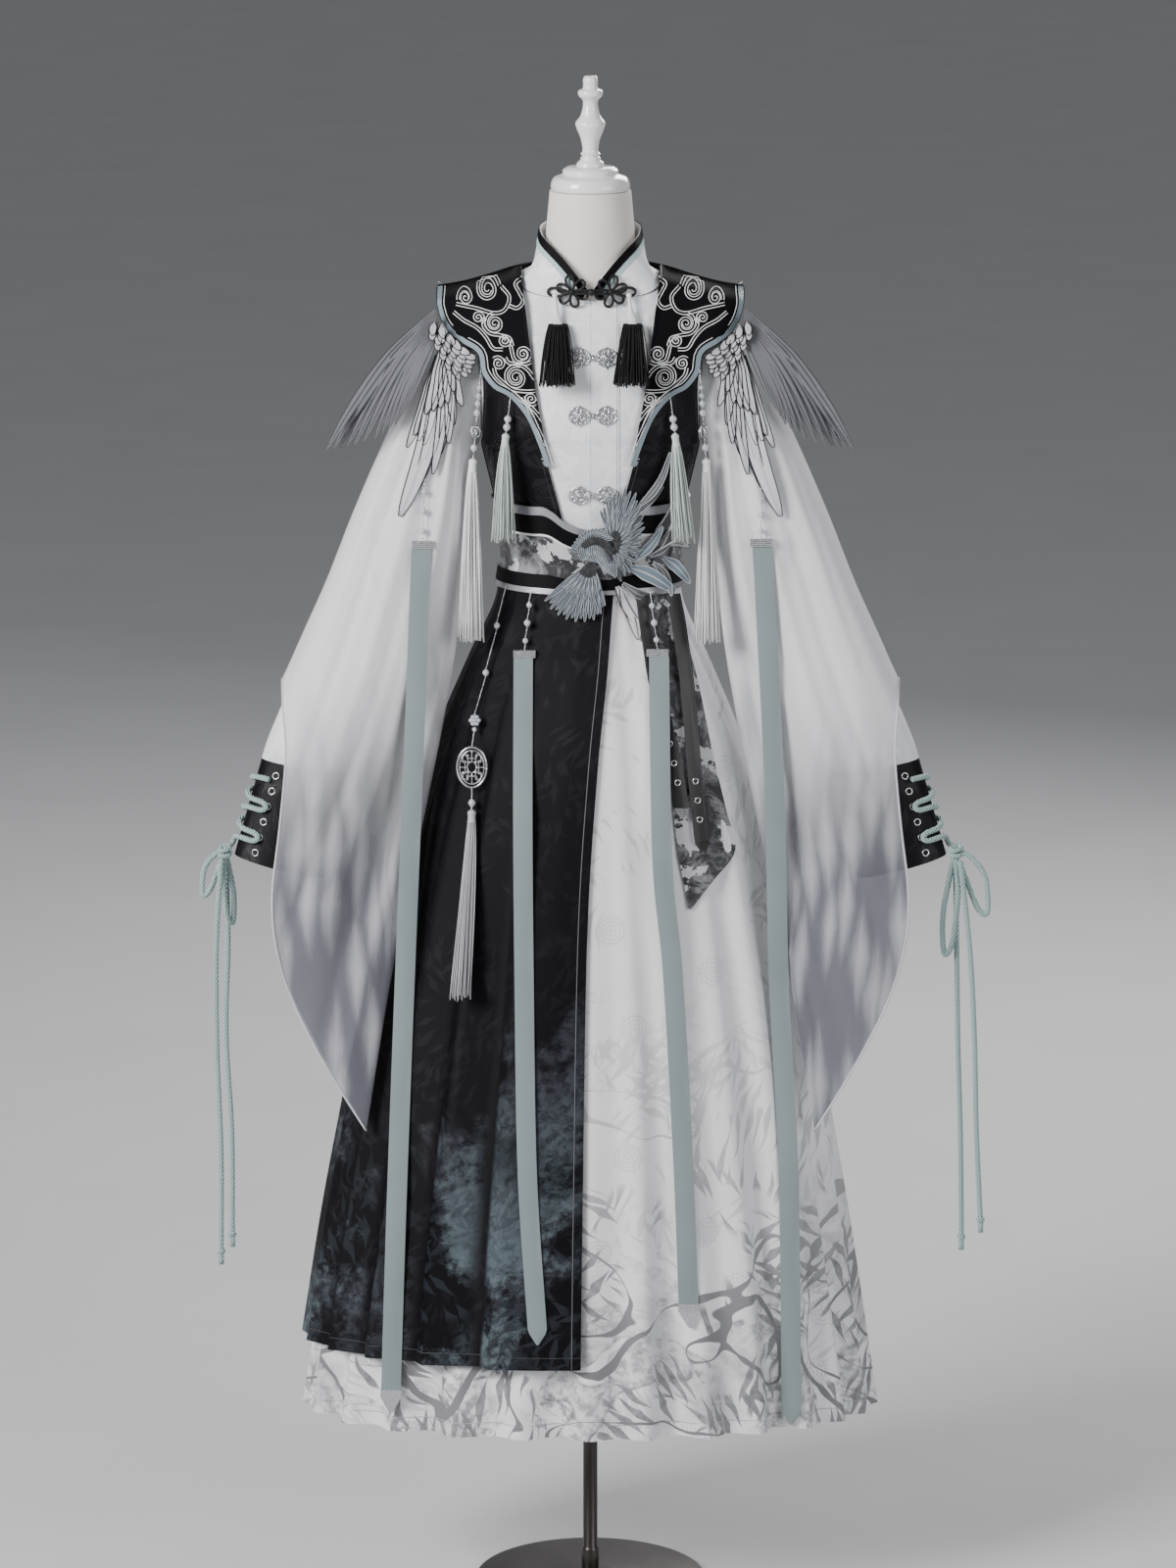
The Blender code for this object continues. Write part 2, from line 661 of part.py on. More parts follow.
def build_overskirt():
    layers = []
    for out in (OVERSKIRT_OUT, OVERSKIRT_IN):
        grid = []
        for height in (*SKIRT_HEIGHTS, BLACK_HEM):
            depth = PLEAT_DEPTH * fall(height, WAIST_SEAM, BLACK_HEM) ** 0.8
            edge_x = float(np.interp(height, OVERSKIRT_EDGE[:, 0], OVERSKIRT_EDGE[:, 1]))
            start = math.degrees(math.asin(edge_x / table_row(SKIRT, height)[0]))
            columns = [(start, 0.35), (0.5 * (start + PLEAT_FOLDS[0]) + 1.0, 0.6)]
            for fold in PLEAT_FOLDS:
                columns += [(fold, 1.0), (fold - PLEAT_RETURN, 0.0)]
            columns.append((OVERSKIRT_END, 0.6))
            row = []
            for degrees, share in columns:
                angle = math.radians(degrees)
                point = skirt_point(angle, height, out + depth * share)
                if height == BLACK_HEM:
                    point[2] += HEM_LIFT * max(0.0, math.cos(angle))
                row.append(point)
            grid.append(row)
        layers.append(grid)
    wall("black_overskirt", layers[0], layers[1], BLACK_SATIN)


# Sleeves and cuffs, on one side

# Depth of the sleeves' middle plane: height, y. The sleeves hang a little forward, clear of the skirts.
SLEEVE_PLANE = np.array([
    (0.60, -0.112), (0.75, -0.106), (0.92, -0.099), (1.10, -0.066), (1.25, -0.042), (1.40, -0.022),
    (1.60, -0.004), (1.70, 0.0),
])
# The arm sleeve's sections: outer edge x and height, inner edge x and height, half depth
ARM_SLEEVE = np.array([
    (0.1900, 1.6240, 0.1570, 1.4860, 0.0500),
    (0.2200, 1.5640, 0.1570, 1.4480, 0.0500),
    (0.2600, 1.4840, 0.1660, 1.3980, 0.0500),
    (0.3120, 1.3640, 0.1900, 1.3150, 0.0480),
    (0.3620, 1.2340, 0.2380, 1.1850, 0.0460),
    (0.4010, 1.1420, 0.2860, 1.1090, 0.0400),
    (0.4118, 1.1104, 0.3045, 1.0944, 0.0290),
])
ARM_COLUMNS = 14
GATHER_DEPTH = 0.005
# The cuff: outer edge x and height, inner edge x and height, half depth
CUFF = np.array([
    (0.4118, 1.1100, 0.3045, 1.0940, 0.0290),
    (0.4290, 1.0510, 0.3190, 1.0290, 0.0290),
    (0.4462, 0.9920, 0.3340, 0.9620, 0.0290),
])
CUFF_COLUMNS = 18
CUFF_WALL = 0.0024
# The hanging sleeve: top x and height, bottom x and height, half depth over the arm, share of the
# section that the arm fills, half depth of the hanging part
OVERLAY = np.array([
    (0.1960, 1.6290, 0.1500, 1.4640, 0.0560, 1.00, 0.012),
    (0.2230, 1.5740, 0.1560, 1.3700, 0.0570, 0.98, 0.012),
    (0.2560, 1.5070, 0.1650, 1.2700, 0.0570, 0.88, 0.013),
    (0.2960, 1.4160, 0.1830, 1.1600, 0.0560, 0.78, 0.014),
    (0.3300, 1.3310, 0.2060, 1.0480, 0.0550, 0.74, 0.014),
    (0.3590, 1.2670, 0.2300, 0.9350, 0.0540, 0.74, 0.014),
    (0.3770, 1.2270, 0.2540, 0.8150, 0.0500, 0.80, 0.013),
    (0.3860, 1.2080, 0.2830, 0.6380, 0.0440, 0.62, 0.010),
])
# The hanging sleeve's hem at the wrist: share of the way down, x, height
OVERLAY_HEM = np.array([
    (0.0, 0.3860, 1.2080), (0.14, 0.3800, 1.1200), (0.30, 0.3900, 1.0050), (0.42, 0.3985, 0.9400),
    (0.55, 0.3930, 0.8800), (0.68, 0.3770, 0.8150), (0.80, 0.3520, 0.7600), (0.91, 0.3200, 0.7000),
    (1.0, 0.2830, 0.6380),
])
OVERLAY_SHARES = (
    0.0, 0.05, 0.14, 0.26, 0.40, 0.54, 0.68, 0.81, 0.92, 1.0,
)
RIPPLE_DEPTH = 0.005
OVERLAY_POWER = 2.6
HEM_PULL_FROM = 3
OVERLAY_HEAD_EASE = 0.0018
ARM_HEAD_EASE = 0.0026


def sleeve_plane(height):
    return float(np.interp(height, SLEEVE_PLANE[:, 0], SLEEVE_PLANE[:, 1]))


def oval_row(side, section, columns, gather=0.0):
    """One ring of an arm sleeve or cuff; its first point is on the outer edge."""
    outer_x, outer_z, inner_x, inner_z, half_depth = section
    row = []
    for column in range(columns):
        turn = math.tau * column / columns
        along = 0.5 * (1.0 - math.cos(turn))
        deep = half_depth + (gather if column % 2 else 0.0)
        height = outer_z + (inner_z - outer_z) * along
        row.append((
            side * (outer_x + (inner_x - outer_x) * along),
            sleeve_plane(0.5 * (outer_z + inner_z)) - deep * math.sin(turn),
            height,
        ))
    return row


def armhole_ring(side, armhole, out, columns):
    """The sleeve head's edge, just off the shirt's side."""
    centre, half_height, half_depth = armhole
    row = []
    for column in range(columns):
        turn = math.tau * column / columns
        height = centre + half_height * math.cos(turn)
        depth = half_depth * math.sin(turn)
        angle = math.radians(90.0)
        if abs(depth) > SEAM:
            angle = body_angle_at_depth(depth, height, SHIRT_OUT, depth < 0.0)
        x = abs(body_point(angle, height, SHIRT_OUT)[0]) + out
        row.append((side * x, -depth, height))
    return row


def overlay_rows(side):
    """The hanging sleeve's rings from the armhole to the wrist hem, front layer first."""
    front = OVERLAY_SHARES
    back = OVERLAY_SHARES[-2:0:-1]
    rows = []
    last = len(OVERLAY) - 1
    for index, section in enumerate(OVERLAY):
        top_x, top_z, low_x, low_z, arm_depth, arm_share, thin = section
        pull = max(0.0, (index - HEM_PULL_FROM) / (last - HEM_PULL_FROM)) ** 2
        row = []
        for order, share in enumerate((*front, *back)):
            x = top_x + (low_x - top_x) * share
            height = top_z + (low_z - top_z) * share
            hem_x = float(np.interp(share, OVERLAY_HEM[:, 0], OVERLAY_HEM[:, 1]))
            hem_z = float(np.interp(share, OVERLAY_HEM[:, 0], OVERLAY_HEM[:, 2]))
            straight_x = OVERLAY[last, 0] + (OVERLAY[last, 2] - OVERLAY[last, 0]) * share
            straight_z = OVERLAY[last, 1] + (OVERLAY[last, 3] - OVERLAY[last, 1]) * share
            x += pull * (hem_x - straight_x)
            height += pull * (hem_z - straight_z)
            flat = thin * (1.0 - abs(2.0 * share - 1.0) ** 6)
            rise = share / arm_share * 2.0 - 1.0
            arm = arm_depth * max(0.0, 1.0 - abs(rise) ** OVERLAY_POWER) ** (1.0 / OVERLAY_POWER)
            deep = max(flat, arm)
            if index > 0 and arm < flat:
                deep += RIPPLE_DEPTH * (order % 2) * min(1.0, 2.0 * (1.0 - share)) * index / last
            in_front = order < len(front)
            middle = sleeve_plane(height)
            row.append((side * x, middle - deep if in_front else middle + deep, height))
        rows.append(row)
    return rows


def overlay_head(side):
    """The hanging sleeve's armhole edge, with its points matched to the first ring's."""
    centre, half_height, half_depth = ARMHOLE
    half_height += OVERLAY_HEAD_EASE
    half_depth += OVERLAY_HEAD_EASE
    shares = (*OVERLAY_SHARES, *OVERLAY_SHARES[-2:0:-1])
    row = []
    for order, share in enumerate(shares):
        turn = math.acos(1.0 - 2.0 * share)
        depth = half_depth * math.sin(turn) * (1.0 if order < len(OVERLAY_SHARES) else -1.0)
        height = centre + half_height * (1.0 - 2.0 * share)
        angle = math.radians(90.0)
        if abs(depth) > SEAM:
            angle = body_angle_at_depth(depth, height, SHIRT_OUT, depth < 0.0)
        x = abs(body_point(angle, height, SHIRT_OUT)[0]) + 8.0 * SEAM
        row.append((side * x, -depth, height))
    return row


def build_sleeves():
    for side, label in ((-1, "left"), (1, "right")):
        centre, half_height, half_depth = ARMHOLE
        hole = (centre, half_height - ARM_HEAD_EASE, half_depth - ARM_HEAD_EASE)
        rows = [armhole_ring(side, hole, 2.0 * SEAM, ARM_COLUMNS)]
        for index, section in enumerate(ARM_SLEEVE):
            gather = GATHER_DEPTH * (index / (len(ARM_SLEEVE) - 1)) ** 2
            if index == len(ARM_SLEEVE) - 1:
                gather = 0.0
            rows.append(oval_row(side, section, ARM_COLUMNS, gather))
        wall(f"arm_sleeve_{label}", rows, tube_moved_in(rows, SLEEVE_WALL), WHITE_SATIN, around=True)

        rows = [oval_row(side, section, CUFF_COLUMNS) for section in CUFF]
        wall(f"cuff_{label}", rows, tube_moved_in(rows, CUFF_WALL), BLACK_SATIN, around=True)

        rows = overlay_rows(side)
        rows.insert(0, overlay_head(side))
        wall(f"overlay_sleeve_{label}", rows, tube_moved_in(rows, OVERLAY_WALL), CHIFFON, around=True)


# Trims that lie on, or hang before, the cloth

TRIM_GAP = 0.0006
TOP_EASE = 0.0007
LEAST_SHARE = 0.3
LEAST_TOP_SHARE = 0.1
LINE_REACH = 0.03
REST_STEP = 0.008
ACROSS = np.linspace(-1.0, 1.0, 11)
SASH_REACH = 0.009


def front_triangles(*names):
    """The triangles of the named pieces, for finding where a trim rests on them."""
    found = []
    for name in names:
        mesh = bpy.data.objects[name].data
        mesh.calc_loop_triangles()
        points = np.array([vertex.co[:] for vertex in mesh.vertices])
        found.append(points[np.array([triangle.vertices[:] for triangle in mesh.loop_triangles])])
    return np.concatenate(found)


def nearby(triangles, places, reach):
    """The triangles that may lie behind any of the places (x, height), or within reach of them."""
    places = np.asarray(places, float)
    low, high = places.min(axis=0) - reach, places.max(axis=0) + reach
    flat = triangles[..., [0, 2]]
    return triangles[((flat.min(axis=1) <= high) & (flat.max(axis=1) >= low)).all(axis=1)]


def front_y(triangles, x, height, missing=0.0):
    """The y of the foremost of these triangles at one place, seen from the front."""
    a, b, c = triangles[:, 0], triangles[:, 1], triangles[:, 2]
    near = (triangles[..., 0].min(axis=1) <= x) & (triangles[..., 0].max(axis=1) >= x)
    near &= (triangles[..., 2].min(axis=1) <= height) & (triangles[..., 2].max(axis=1) >= height)
    a, b, c = a[near], b[near], c[near]
    twice = (b[:, 0] - a[:, 0]) * (c[:, 2] - a[:, 2]) - (c[:, 0] - a[:, 0]) * (b[:, 2] - a[:, 2])
    a, b, c, twice = (values[np.abs(twice) > 1e-12] for values in (a, b, c, twice))
    u = ((x - a[:, 0]) * (c[:, 2] - a[:, 2]) - (c[:, 0] - a[:, 0]) * (height - a[:, 2])) / twice
    v = ((b[:, 0] - a[:, 0]) * (height - a[:, 2]) - (x - a[:, 0]) * (b[:, 2] - a[:, 2])) / twice
    inside = (u >= 0.0) & (v >= 0.0) & (u + v <= 1.0)
    depth = a[:, 1] + u * (b[:, 1] - a[:, 1]) + v * (c[:, 1] - a[:, 1])
    return float(depth[inside].min()) if inside.any() else missing


def resting_y(triangles, x, height, reach, missing=0.0):
    """The foremost y around one place, so that a flat trim clears small folds."""
    steps = (-1.0, -0.5, 0.0, 0.5, 1.0)
    return min(front_y(triangles, x + reach * i, height + reach * j, missing) for i in steps for j in steps)


def hanging_line(triangles, route, half_width, half_depth, start=None):
    """Centre points of something that hangs down the route of (x, height), clear of the cloth.

    half_width and half_depth are functions of the height; start is the depth of the first point,
    which otherwise is seated on the cloth.
    """
    route = np.asarray(route, float)
    triangles = nearby(triangles, route, LINE_REACH)
    count = max(2, int(math.ceil((route[0, 1] - route[-1, 1]) / REST_STEP)) + 1)
    heights = np.linspace(route[0, 1], route[-1, 1], count)
    xs = np.interp(heights, route[::-1, 1], route[::-1, 0])
    ys = []
    for x, height in zip(xs, heights):
        wide = half_width(height)
        free = ys[-1] + half_depth(height) + TRIM_GAP if ys else 0.0
        rest = min(front_y(triangles, x + wide * share, height, free) for share in ACROSS)
        y = rest - half_depth(height) - TRIM_GAP
        ys.append(min(y, ys[-1]) if ys else y)
    ys = np.array(ys)
    ys[0] += TOP_EASE
    knots = [float(np.interp(height, heights[::-1], ys[::-1])) for height in route[:, 1]]
    knots[0] = knots[0] if start is None else start
    for _ in range(20):
        for index in range(len(route) - 1):
            inside = (heights <= route[index, 1] + 1e-9) & (heights >= route[index + 1, 1] - 1e-9)
            for height, y in zip(heights[inside], ys[inside]):
                share = (route[index, 1] - height) / (route[index, 1] - route[index + 1, 1])
                over = knots[index] + (knots[index + 1] - knots[index]) * share - y
                if over <= 0.0:
                    continue
                if share > (LEAST_SHARE if index else LEAST_TOP_SHARE):
                    knots[index + 1] -= over / share
                elif index > 0 or start is None:
                    knots[index] -= over
    return [np.array((x, y, height)) for (x, height), y in zip(route, knots)]


def hanging_strip(name, triangles, rows, thickness, finish, start):
    """A flat strip that hangs; rows are (x, height, half width) from its top."""
    rows = np.asarray(rows, float)

    def half_width(height):
        return float(np.interp(height, rows[::-1, 1], rows[::-1, 2]))
    line = hanging_line(triangles, rows[:, :2], half_width, lambda height: thickness, start)
    front, back = [], []
    for point, row in zip(line, rows):
        for grid, y in ((front, point[1]), (back, point[1] + thickness)):
            grid.append([(point[0] - row[2], y, point[2]), (point[0] + row[2], y, point[2])])
    return wall(name, front, back, finish)


def resting_strip(name, triangles, rows, thickness, columns, finish, reach=0.0035):
    """A strip that lies on the pieces below it; rows are (height, left x, right x)."""
    front, back = [], []
    edges = [(x, height) for height, *ends in rows for x in ends]
    triangles = nearby(triangles, edges, 2.0 * reach)
    for height, left, right in rows:
        outer, inner = [], []
        for column in range(columns):
            x = left + (right - left) * column / (columns - 1)
            y = resting_y(triangles, x, height, reach) - TRIM_GAP
            inner.append((x, y, height))
            outer.append((x, y - thickness, height))
        front.append(outer)
        back.append(inner)
    return wall(name, front, back, finish)


# Tassels: shares of the head's section that its core and its strands' roots take
CORE_SHARE = 0.42
STRAND_SHARE = 0.78
CHAIN_RADIUS = 0.0016
PEARL_RADIUS = 0.0042
STRAND_HALF = 0.0022
TIP_INSET = 0.003
END_FLATNESS = 0.8
CORE_TIP_RISE = 0.004


def lofted(name, sections, sides, finish, strands=None):
    """A closed solid through sections of (centre, half width, half depth), from the top down.

    With strands, the last section is the foot of a tassel's head: one strand hangs from each of its
    sides, round a core. strands is (centre of the ends, their circle's half width, its half depth,
    half the width of a strand's end).
    """
    points, faces = [], []
    for centre, half_x, half_y in sections:
        for side in range(sides):
            turn = math.tau * (side + 0.5) / sides
            x, y = centre[0] + half_x * math.cos(turn), centre[1] + half_y * math.sin(turn)
            points.append((x, y, centre[2]))
    faces += grid_faces(len(sections), sides, 0, True)
    faces.append(tuple(range(sides)))
    last = (len(sections) - 1) * sides
    if strands is None:
        faces.append(tuple(last + side for side in range(sides)))
        return add_object(name, points, faces, finish, 50.0)
    end, end_radius, end_depth, thin = strands
    root = np.array(sections[-1][0])
    core = len(points)
    for side in range(sides):
        points.append(tuple(root + (np.array(points[last + side]) - root) * CORE_SHARE))
    for side in range(sides):
        after = (side + 1) % sides
        corners = (last + side, last + after, core + after, core + side)
        middle = np.mean([points[corner] for corner in corners], axis=0)
        turn = math.tau * (side + 1.0) / sides
        tip = np.array((end[0] + end_radius * math.cos(turn), end[1] + end_depth * math.sin(turn), end[2]))
        top = len(points)
        for corner in corners:
            points.append(tuple(middle + (np.array(points[corner]) - middle) * STRAND_SHARE))
        low = len(points)
        across = np.array((-math.sin(turn), math.cos(turn), 0.0)) * thin
        inwards = np.array((math.cos(turn), math.sin(turn), 0.0)) * thin
        for offset in (inwards - across, inwards + across, -inwards + across, -inwards - across):
            points.append(tuple(tip + offset))
        for corner in range(4):
            following = (corner + 1) % 4
            faces.append((corners[corner], corners[following], top + following, top + corner))
            faces.append((top + corner, top + following, low + following, low + corner))
        faces.append((low, low + 1, low + 2, low + 3))
    tip = len(points)
    for side in range(sides):
        turn = math.tau * (side + 0.5) / sides
        tip_x, tip_y = end[0] + thin * math.cos(turn), end[1] + thin * math.sin(turn)
        points.append((tip_x, tip_y, end[2] + CORE_TIP_RISE))
    middle = len(points)
    for side in range(sides):
        turn = math.tau * (side + 0.5) / sides
        radius = 0.8 * CORE_SHARE * sections[-1][1]
        points.append((root[0] + radius * math.cos(turn), root[1] + radius * math.sin(turn), root[2]))
    for side in range(sides):
        after = (side + 1) % sides
        faces.append((core + side, core + after, middle + after, middle + side))
        faces.append((middle + side, middle + after, tip + after, tip + side))
    faces.append(tuple(tip + side for side in range(sides)))
    return add_object(name, points, faces, finish, 50.0)


# Name; x and height of the top, of the head's foot and of the end; radius of the head and of the
# end; heights of the large beads; sides
TASSELS = (
    ("collar_tassel_left", -0.0440, 1.6960, -0.0400, 1.6600, -0.0410, 1.5890, 0.0045, 0.0200, (), 7,
     TASSEL_BLACK),
    ("collar_tassel_right", 0.0470, 1.6960, 0.0520, 1.6600, 0.0500, 1.5890, 0.0045, 0.0200, (), 7,
     TASSEL_BLACK),
    ("chest_tassel_outer_left", -0.1350, 1.6030, -0.1462, 1.4790, -0.1480, 1.2600, 0.0065, 0.0180,
     (1.575, 1.490), 6, TASSEL_WHITE),
    ("chest_tassel_outer_right", 0.1350, 1.6030, 0.1440, 1.4790, 0.1460, 1.2600, 0.0065, 0.0180,
     (1.575, 1.490), 6, TASSEL_WHITE),
    ("chest_tassel_inner_left", -0.0985, 1.5710, -0.1056, 1.5140, -0.1080, 1.3880, 0.0055, 0.0180,
     (1.542, 1.530), 6, TASSEL_GREEN),
    ("chest_tassel_inner_right", 0.0985, 1.5710, 0.1056, 1.5140, 0.1150, 1.3880, 0.0055, 0.0160,
     (1.542, 1.530), 6, TASSEL_GREEN),
)
PENDANT_TASSEL = (
    "pendant_tassel", -0.1476, 1.0824, -0.1480, 1.0430, -0.1627, 0.8236, 0.0060, 0.0150, (1.064,), 8, PEARL,
)


def make_tassel(triangles, measures, start=None):
    name, top_x, top_z, head_x, head_z, end_x, end_z, head, end, beads, sides, finish = measures

    def radius(height):
        if height > head_z + 0.012:
            return PEARL_RADIUS if any(abs(height - bead) < 0.01 for bead in beads) else CHAIN_RADIUS
        return head + (end - head) * min(1.0, max(0.0, (head_z - height) / (head_z - end_z)))
    line = hanging_line(triangles, [(top_x, top_z), (head_x, head_z), (end_x, end_z)], radius, radius, start)
    heights = [point[2] for point in line][::-1]

    def centre(height):
        x = float(np.interp(height, heights, [point[0] for point in line][::-1]))
        y = float(np.interp(height, heights, [point[1] for point in line][::-1]))
        return np.array((x, y, height))
    stops = [(top_z, CHAIN_RADIUS)]
    for bead in beads:
        stops += [(bead + PEARL_RADIUS, CHAIN_RADIUS), (bead, PEARL_RADIUS)]
        stops.append((bead - PEARL_RADIUS, CHAIN_RADIUS))
    stops += [(head_z + 0.0100, CHAIN_RADIUS), (head_z + 0.0085, 0.8 * head), (head_z, head)]
    sections = [(centre(height), wide, wide) for height, wide in stops]
    strands = (centre(end_z), end - TIP_INSET, END_FLATNESS * end - TIP_INSET, STRAND_HALF)
    lofted(name, sections, sides, finish, strands)


# Ribbons: name; x and height of the chain's top and of the clamp's top; the ribbon's route and its
# half width. Each ends in a point.
CLAMP_HALF, CLAMP_HEIGHT, CLAMP_DEPTH = 0.0135, 0.0095, 0.0028
RIBBON_THICKNESS = 0.0015
# Shares of the way down the chain
CHAIN_PEARLS = (0.25, 0.55, 0.85)
RIBBONS = (
    ("sleeve_ribbon_left", (-0.2055, 1.4700), (-0.2080, 1.3890),
     ((-0.2085, 1.379), (-0.2200, 1.130), (-0.2320, 0.860), (-0.2440, 0.560), (-0.2530, 0.300)),
     0.0125),
    ("skirt_ribbon_left", (-0.0740, 1.3260), (-0.0821, 1.2538),
     ((-0.0822, 1.2438), (-0.0840, 1.050), (-0.0847, 0.8514), (-0.0790, 0.6039), (-0.0645, 0.4030)),
     0.0120),
    ("skirt_ribbon_right", (0.0740, 1.3260), (0.0833, 1.2563),
     ((0.0838, 1.2463), (0.0894, 0.9993), (0.1030, 0.8514), (0.1160, 0.620), (0.1260, 0.4200)), 0.0125),
    ("sleeve_ribbon_right", (0.2116, 1.4575), (0.2120, 1.3922),
     ((0.2122, 1.3822), (0.2295, 1.0835), (0.2366, 0.8362), (0.2500, 0.5867), (0.2578, 0.2760)),
     0.0125),
)


def build_ribbons(triangles):
    for name, top, clamp, route, half in RIBBONS:
        chain_route = [top, clamp, (clamp[0], clamp[1] - CLAMP_HEIGHT)]

        def wide(height, clamp=clamp):
            return CLAMP_HALF if height < clamp[1] + 0.002 else PEARL_RADIUS

        def deep(height, clamp=clamp):
            return CLAMP_DEPTH if height < clamp[1] + 0.002 else PEARL_RADIUS
        line = hanging_line(triangles, chain_route, wide, deep)
        sections = [(line[0], CHAIN_RADIUS, CHAIN_RADIUS)]
        for share in CHAIN_PEARLS:
            at = line[0] + (line[1] - line[0]) * share
            for shift, size in ((1.0, CHAIN_RADIUS), (0.0, PEARL_RADIUS), (-1.0, CHAIN_RADIUS)):
                sections.append((at + np.array((0.0, 0.0, shift * PEARL_RADIUS)), size, size))
        box = 1.0 / math.cos(math.pi / 4.0)
        sections += [
            (line[1] + np.array((0.0, 0.0, 0.0005)), CHAIN_RADIUS, CHAIN_RADIUS),
            (line[1], CLAMP_HALF * box, CLAMP_DEPTH * box),
            (line[2], CLAMP_HALF * box, CLAMP_DEPTH * box),
        ]
        lofted(f"{name}_chain", sections, 4, SILVER)
        rows = [(x, height, half) for x, height in route]
        end_x, end_z = route[-1]
        rows.append((end_x, end_z - 1.4 * half, 0.0015))
        hanging_strip(name, triangles, rows, RIBBON_THICKNESS, RIBBON, line[2][1] - 0.5 * RIBBON_THICKNESS)


# Sash and straps on the skirt: height, left x, right x
SASH = (
    (1.3195, 0.078, 0.104), (1.290, 0.081, 0.112), (1.255, 0.085, 0.122), (1.220, 0.090, 0.132),
    (1.180, 0.093, 0.141), (1.140, 0.096, 0.149), (1.100, 0.099, 0.158), (1.050, 0.104, 0.170),
    (1.000, 0.1095, 0.1815), (0.965, 0.1165, 0.153), (0.931, 0.1225, 0.1255),
)
STRAP_HALF = 0.009
STRAP_THICKNESS = 0.0018
STRAPS = (
    ("strap_inner",
     ((1.3195, 0.0655), (1.290, 0.0690), (1.255, 0.0745), (1.220, 0.0800), (1.180, 0.0895),
      (1.140, 0.0985), (1.100, 0.1075), (1.062, 0.1130), (1.049, 0.1150))),
    ("strap_outer",
     ((1.3195, 0.1030), (1.290, 0.1090), (1.255, 0.1145), (1.220, 0.1195), (1.180, 0.1235),
      (1.140, 0.1270), (1.100, 0.1300), (1.060, 0.1345), (1.018, 0.1390), (1.005, 0.1405))),
)


def build_sash():
    skirts = front_triangles("white_skirt_front", "black_overskirt")
    resting_strip("sash_panel", skirts, SASH, 0.0014, 5, BROCADE, SASH_REACH)
    below = front_triangles("white_skirt_front", "black_overskirt", "sash_panel")
    for name, rows in STRAPS:
        strip = [(height, x - STRAP_HALF, x + STRAP_HALF) for height, x in rows[:-1]]
        tip_height, tip_x = rows[-1]
        strip.append((tip_height, tip_x - 0.002, tip_x + 0.002))
        resting_strip(name, below, strip, STRAP_THICKNESS, 4, LEATHER, SASH_REACH)


# Plates worked out round a centre: direction in degrees from the picture's right, reach
FLOWER_OUTLINE = (
    (0, 0.075), (9, 0.104), (17, 0.070), (25, 0.108), (33, 0.068), (44, 0.110), (56, 0.082),
    (62, 0.134), (69, 0.058), (84, 0.048), (100, 0.040), (118, 0.036), (140, 0.040), (160, 0.047),
    (178, 0.050), (193, 0.062), (209, 0.104), (216, 0.078), (224, 0.096), (232, 0.076), (241, 0.092),
    (250, 0.074), (260, 0.084), (270, 0.058), (286, 0.060), (303, 0.084), (316, 0.158), (323, 0.076),
    (336, 0.112), (344, 0.072), (352, 0.100),
)
FLOWER_CENTRE = (0.036, 1.386)
FLOWER_FREE_Y = -0.062
FLOWER_RINGS = ((1.0, 0.0012), (0.62, 0.0030), (0.28, 0.0044))
CLASP_OUTLINE = (
    (0, 0.0300), (12, 0.0285), (22, 0.0245), (31, 0.0150), (50, 0.0042), (90, 0.0034), (130, 0.0042),
    (149, 0.0150), (158, 0.0245), (168, 0.0285), (180, 0.0300), (192, 0.0285), (202, 0.0245),
    (211, 0.0150), (230, 0.0042), (270, 0.0034), (310, 0.0042), (329, 0.0150), (338, 0.0245),
    (348, 0.0285),
)
CLASP_HEIGHTS = (1.6200, 1.5500, 1.4480)
CLASP_X = 0.0030
CLASP_RINGS = ((1.0, 0.0012), (0.5, 0.0026))
FROG_OUTLINE = (
    (0, 0.0490), (9, 0.0470), (15, 0.0360), (22, 0.0420), (30, 0.0380), (38, 0.0250), (46, 0.0250),
    (56, 0.0180), (72, 0.0060), (108, 0.0060), (124, 0.0180), (134, 0.0250), (142, 0.0250),
    (150, 0.0380), (158, 0.0420), (165, 0.0360), (171, 0.0470), (180, 0.0490), (189, 0.0470),
    (195, 0.0360), (202, 0.0420), (210, 0.0380), (218, 0.0250), (226, 0.0250), (236, 0.0180),
    (252, 0.0060), (288, 0.0060), (304, 0.0180), (314, 0.0250), (322, 0.0250), (330, 0.0380),
    (338, 0.0420), (345, 0.0360), (351, 0.0470),
)
FROG_CENTRE = (0.0015, 1.6985)
FROG_RINGS = ((1.0, 0.0016), (0.5, 0.0036))
PLATE_BACK = 0.0007
# How far round a point of a plate the cloth below is felt
FROG_BASE, CLASP_BASE, FLOWER_BASE = 0.006, 0.0015, 0.010


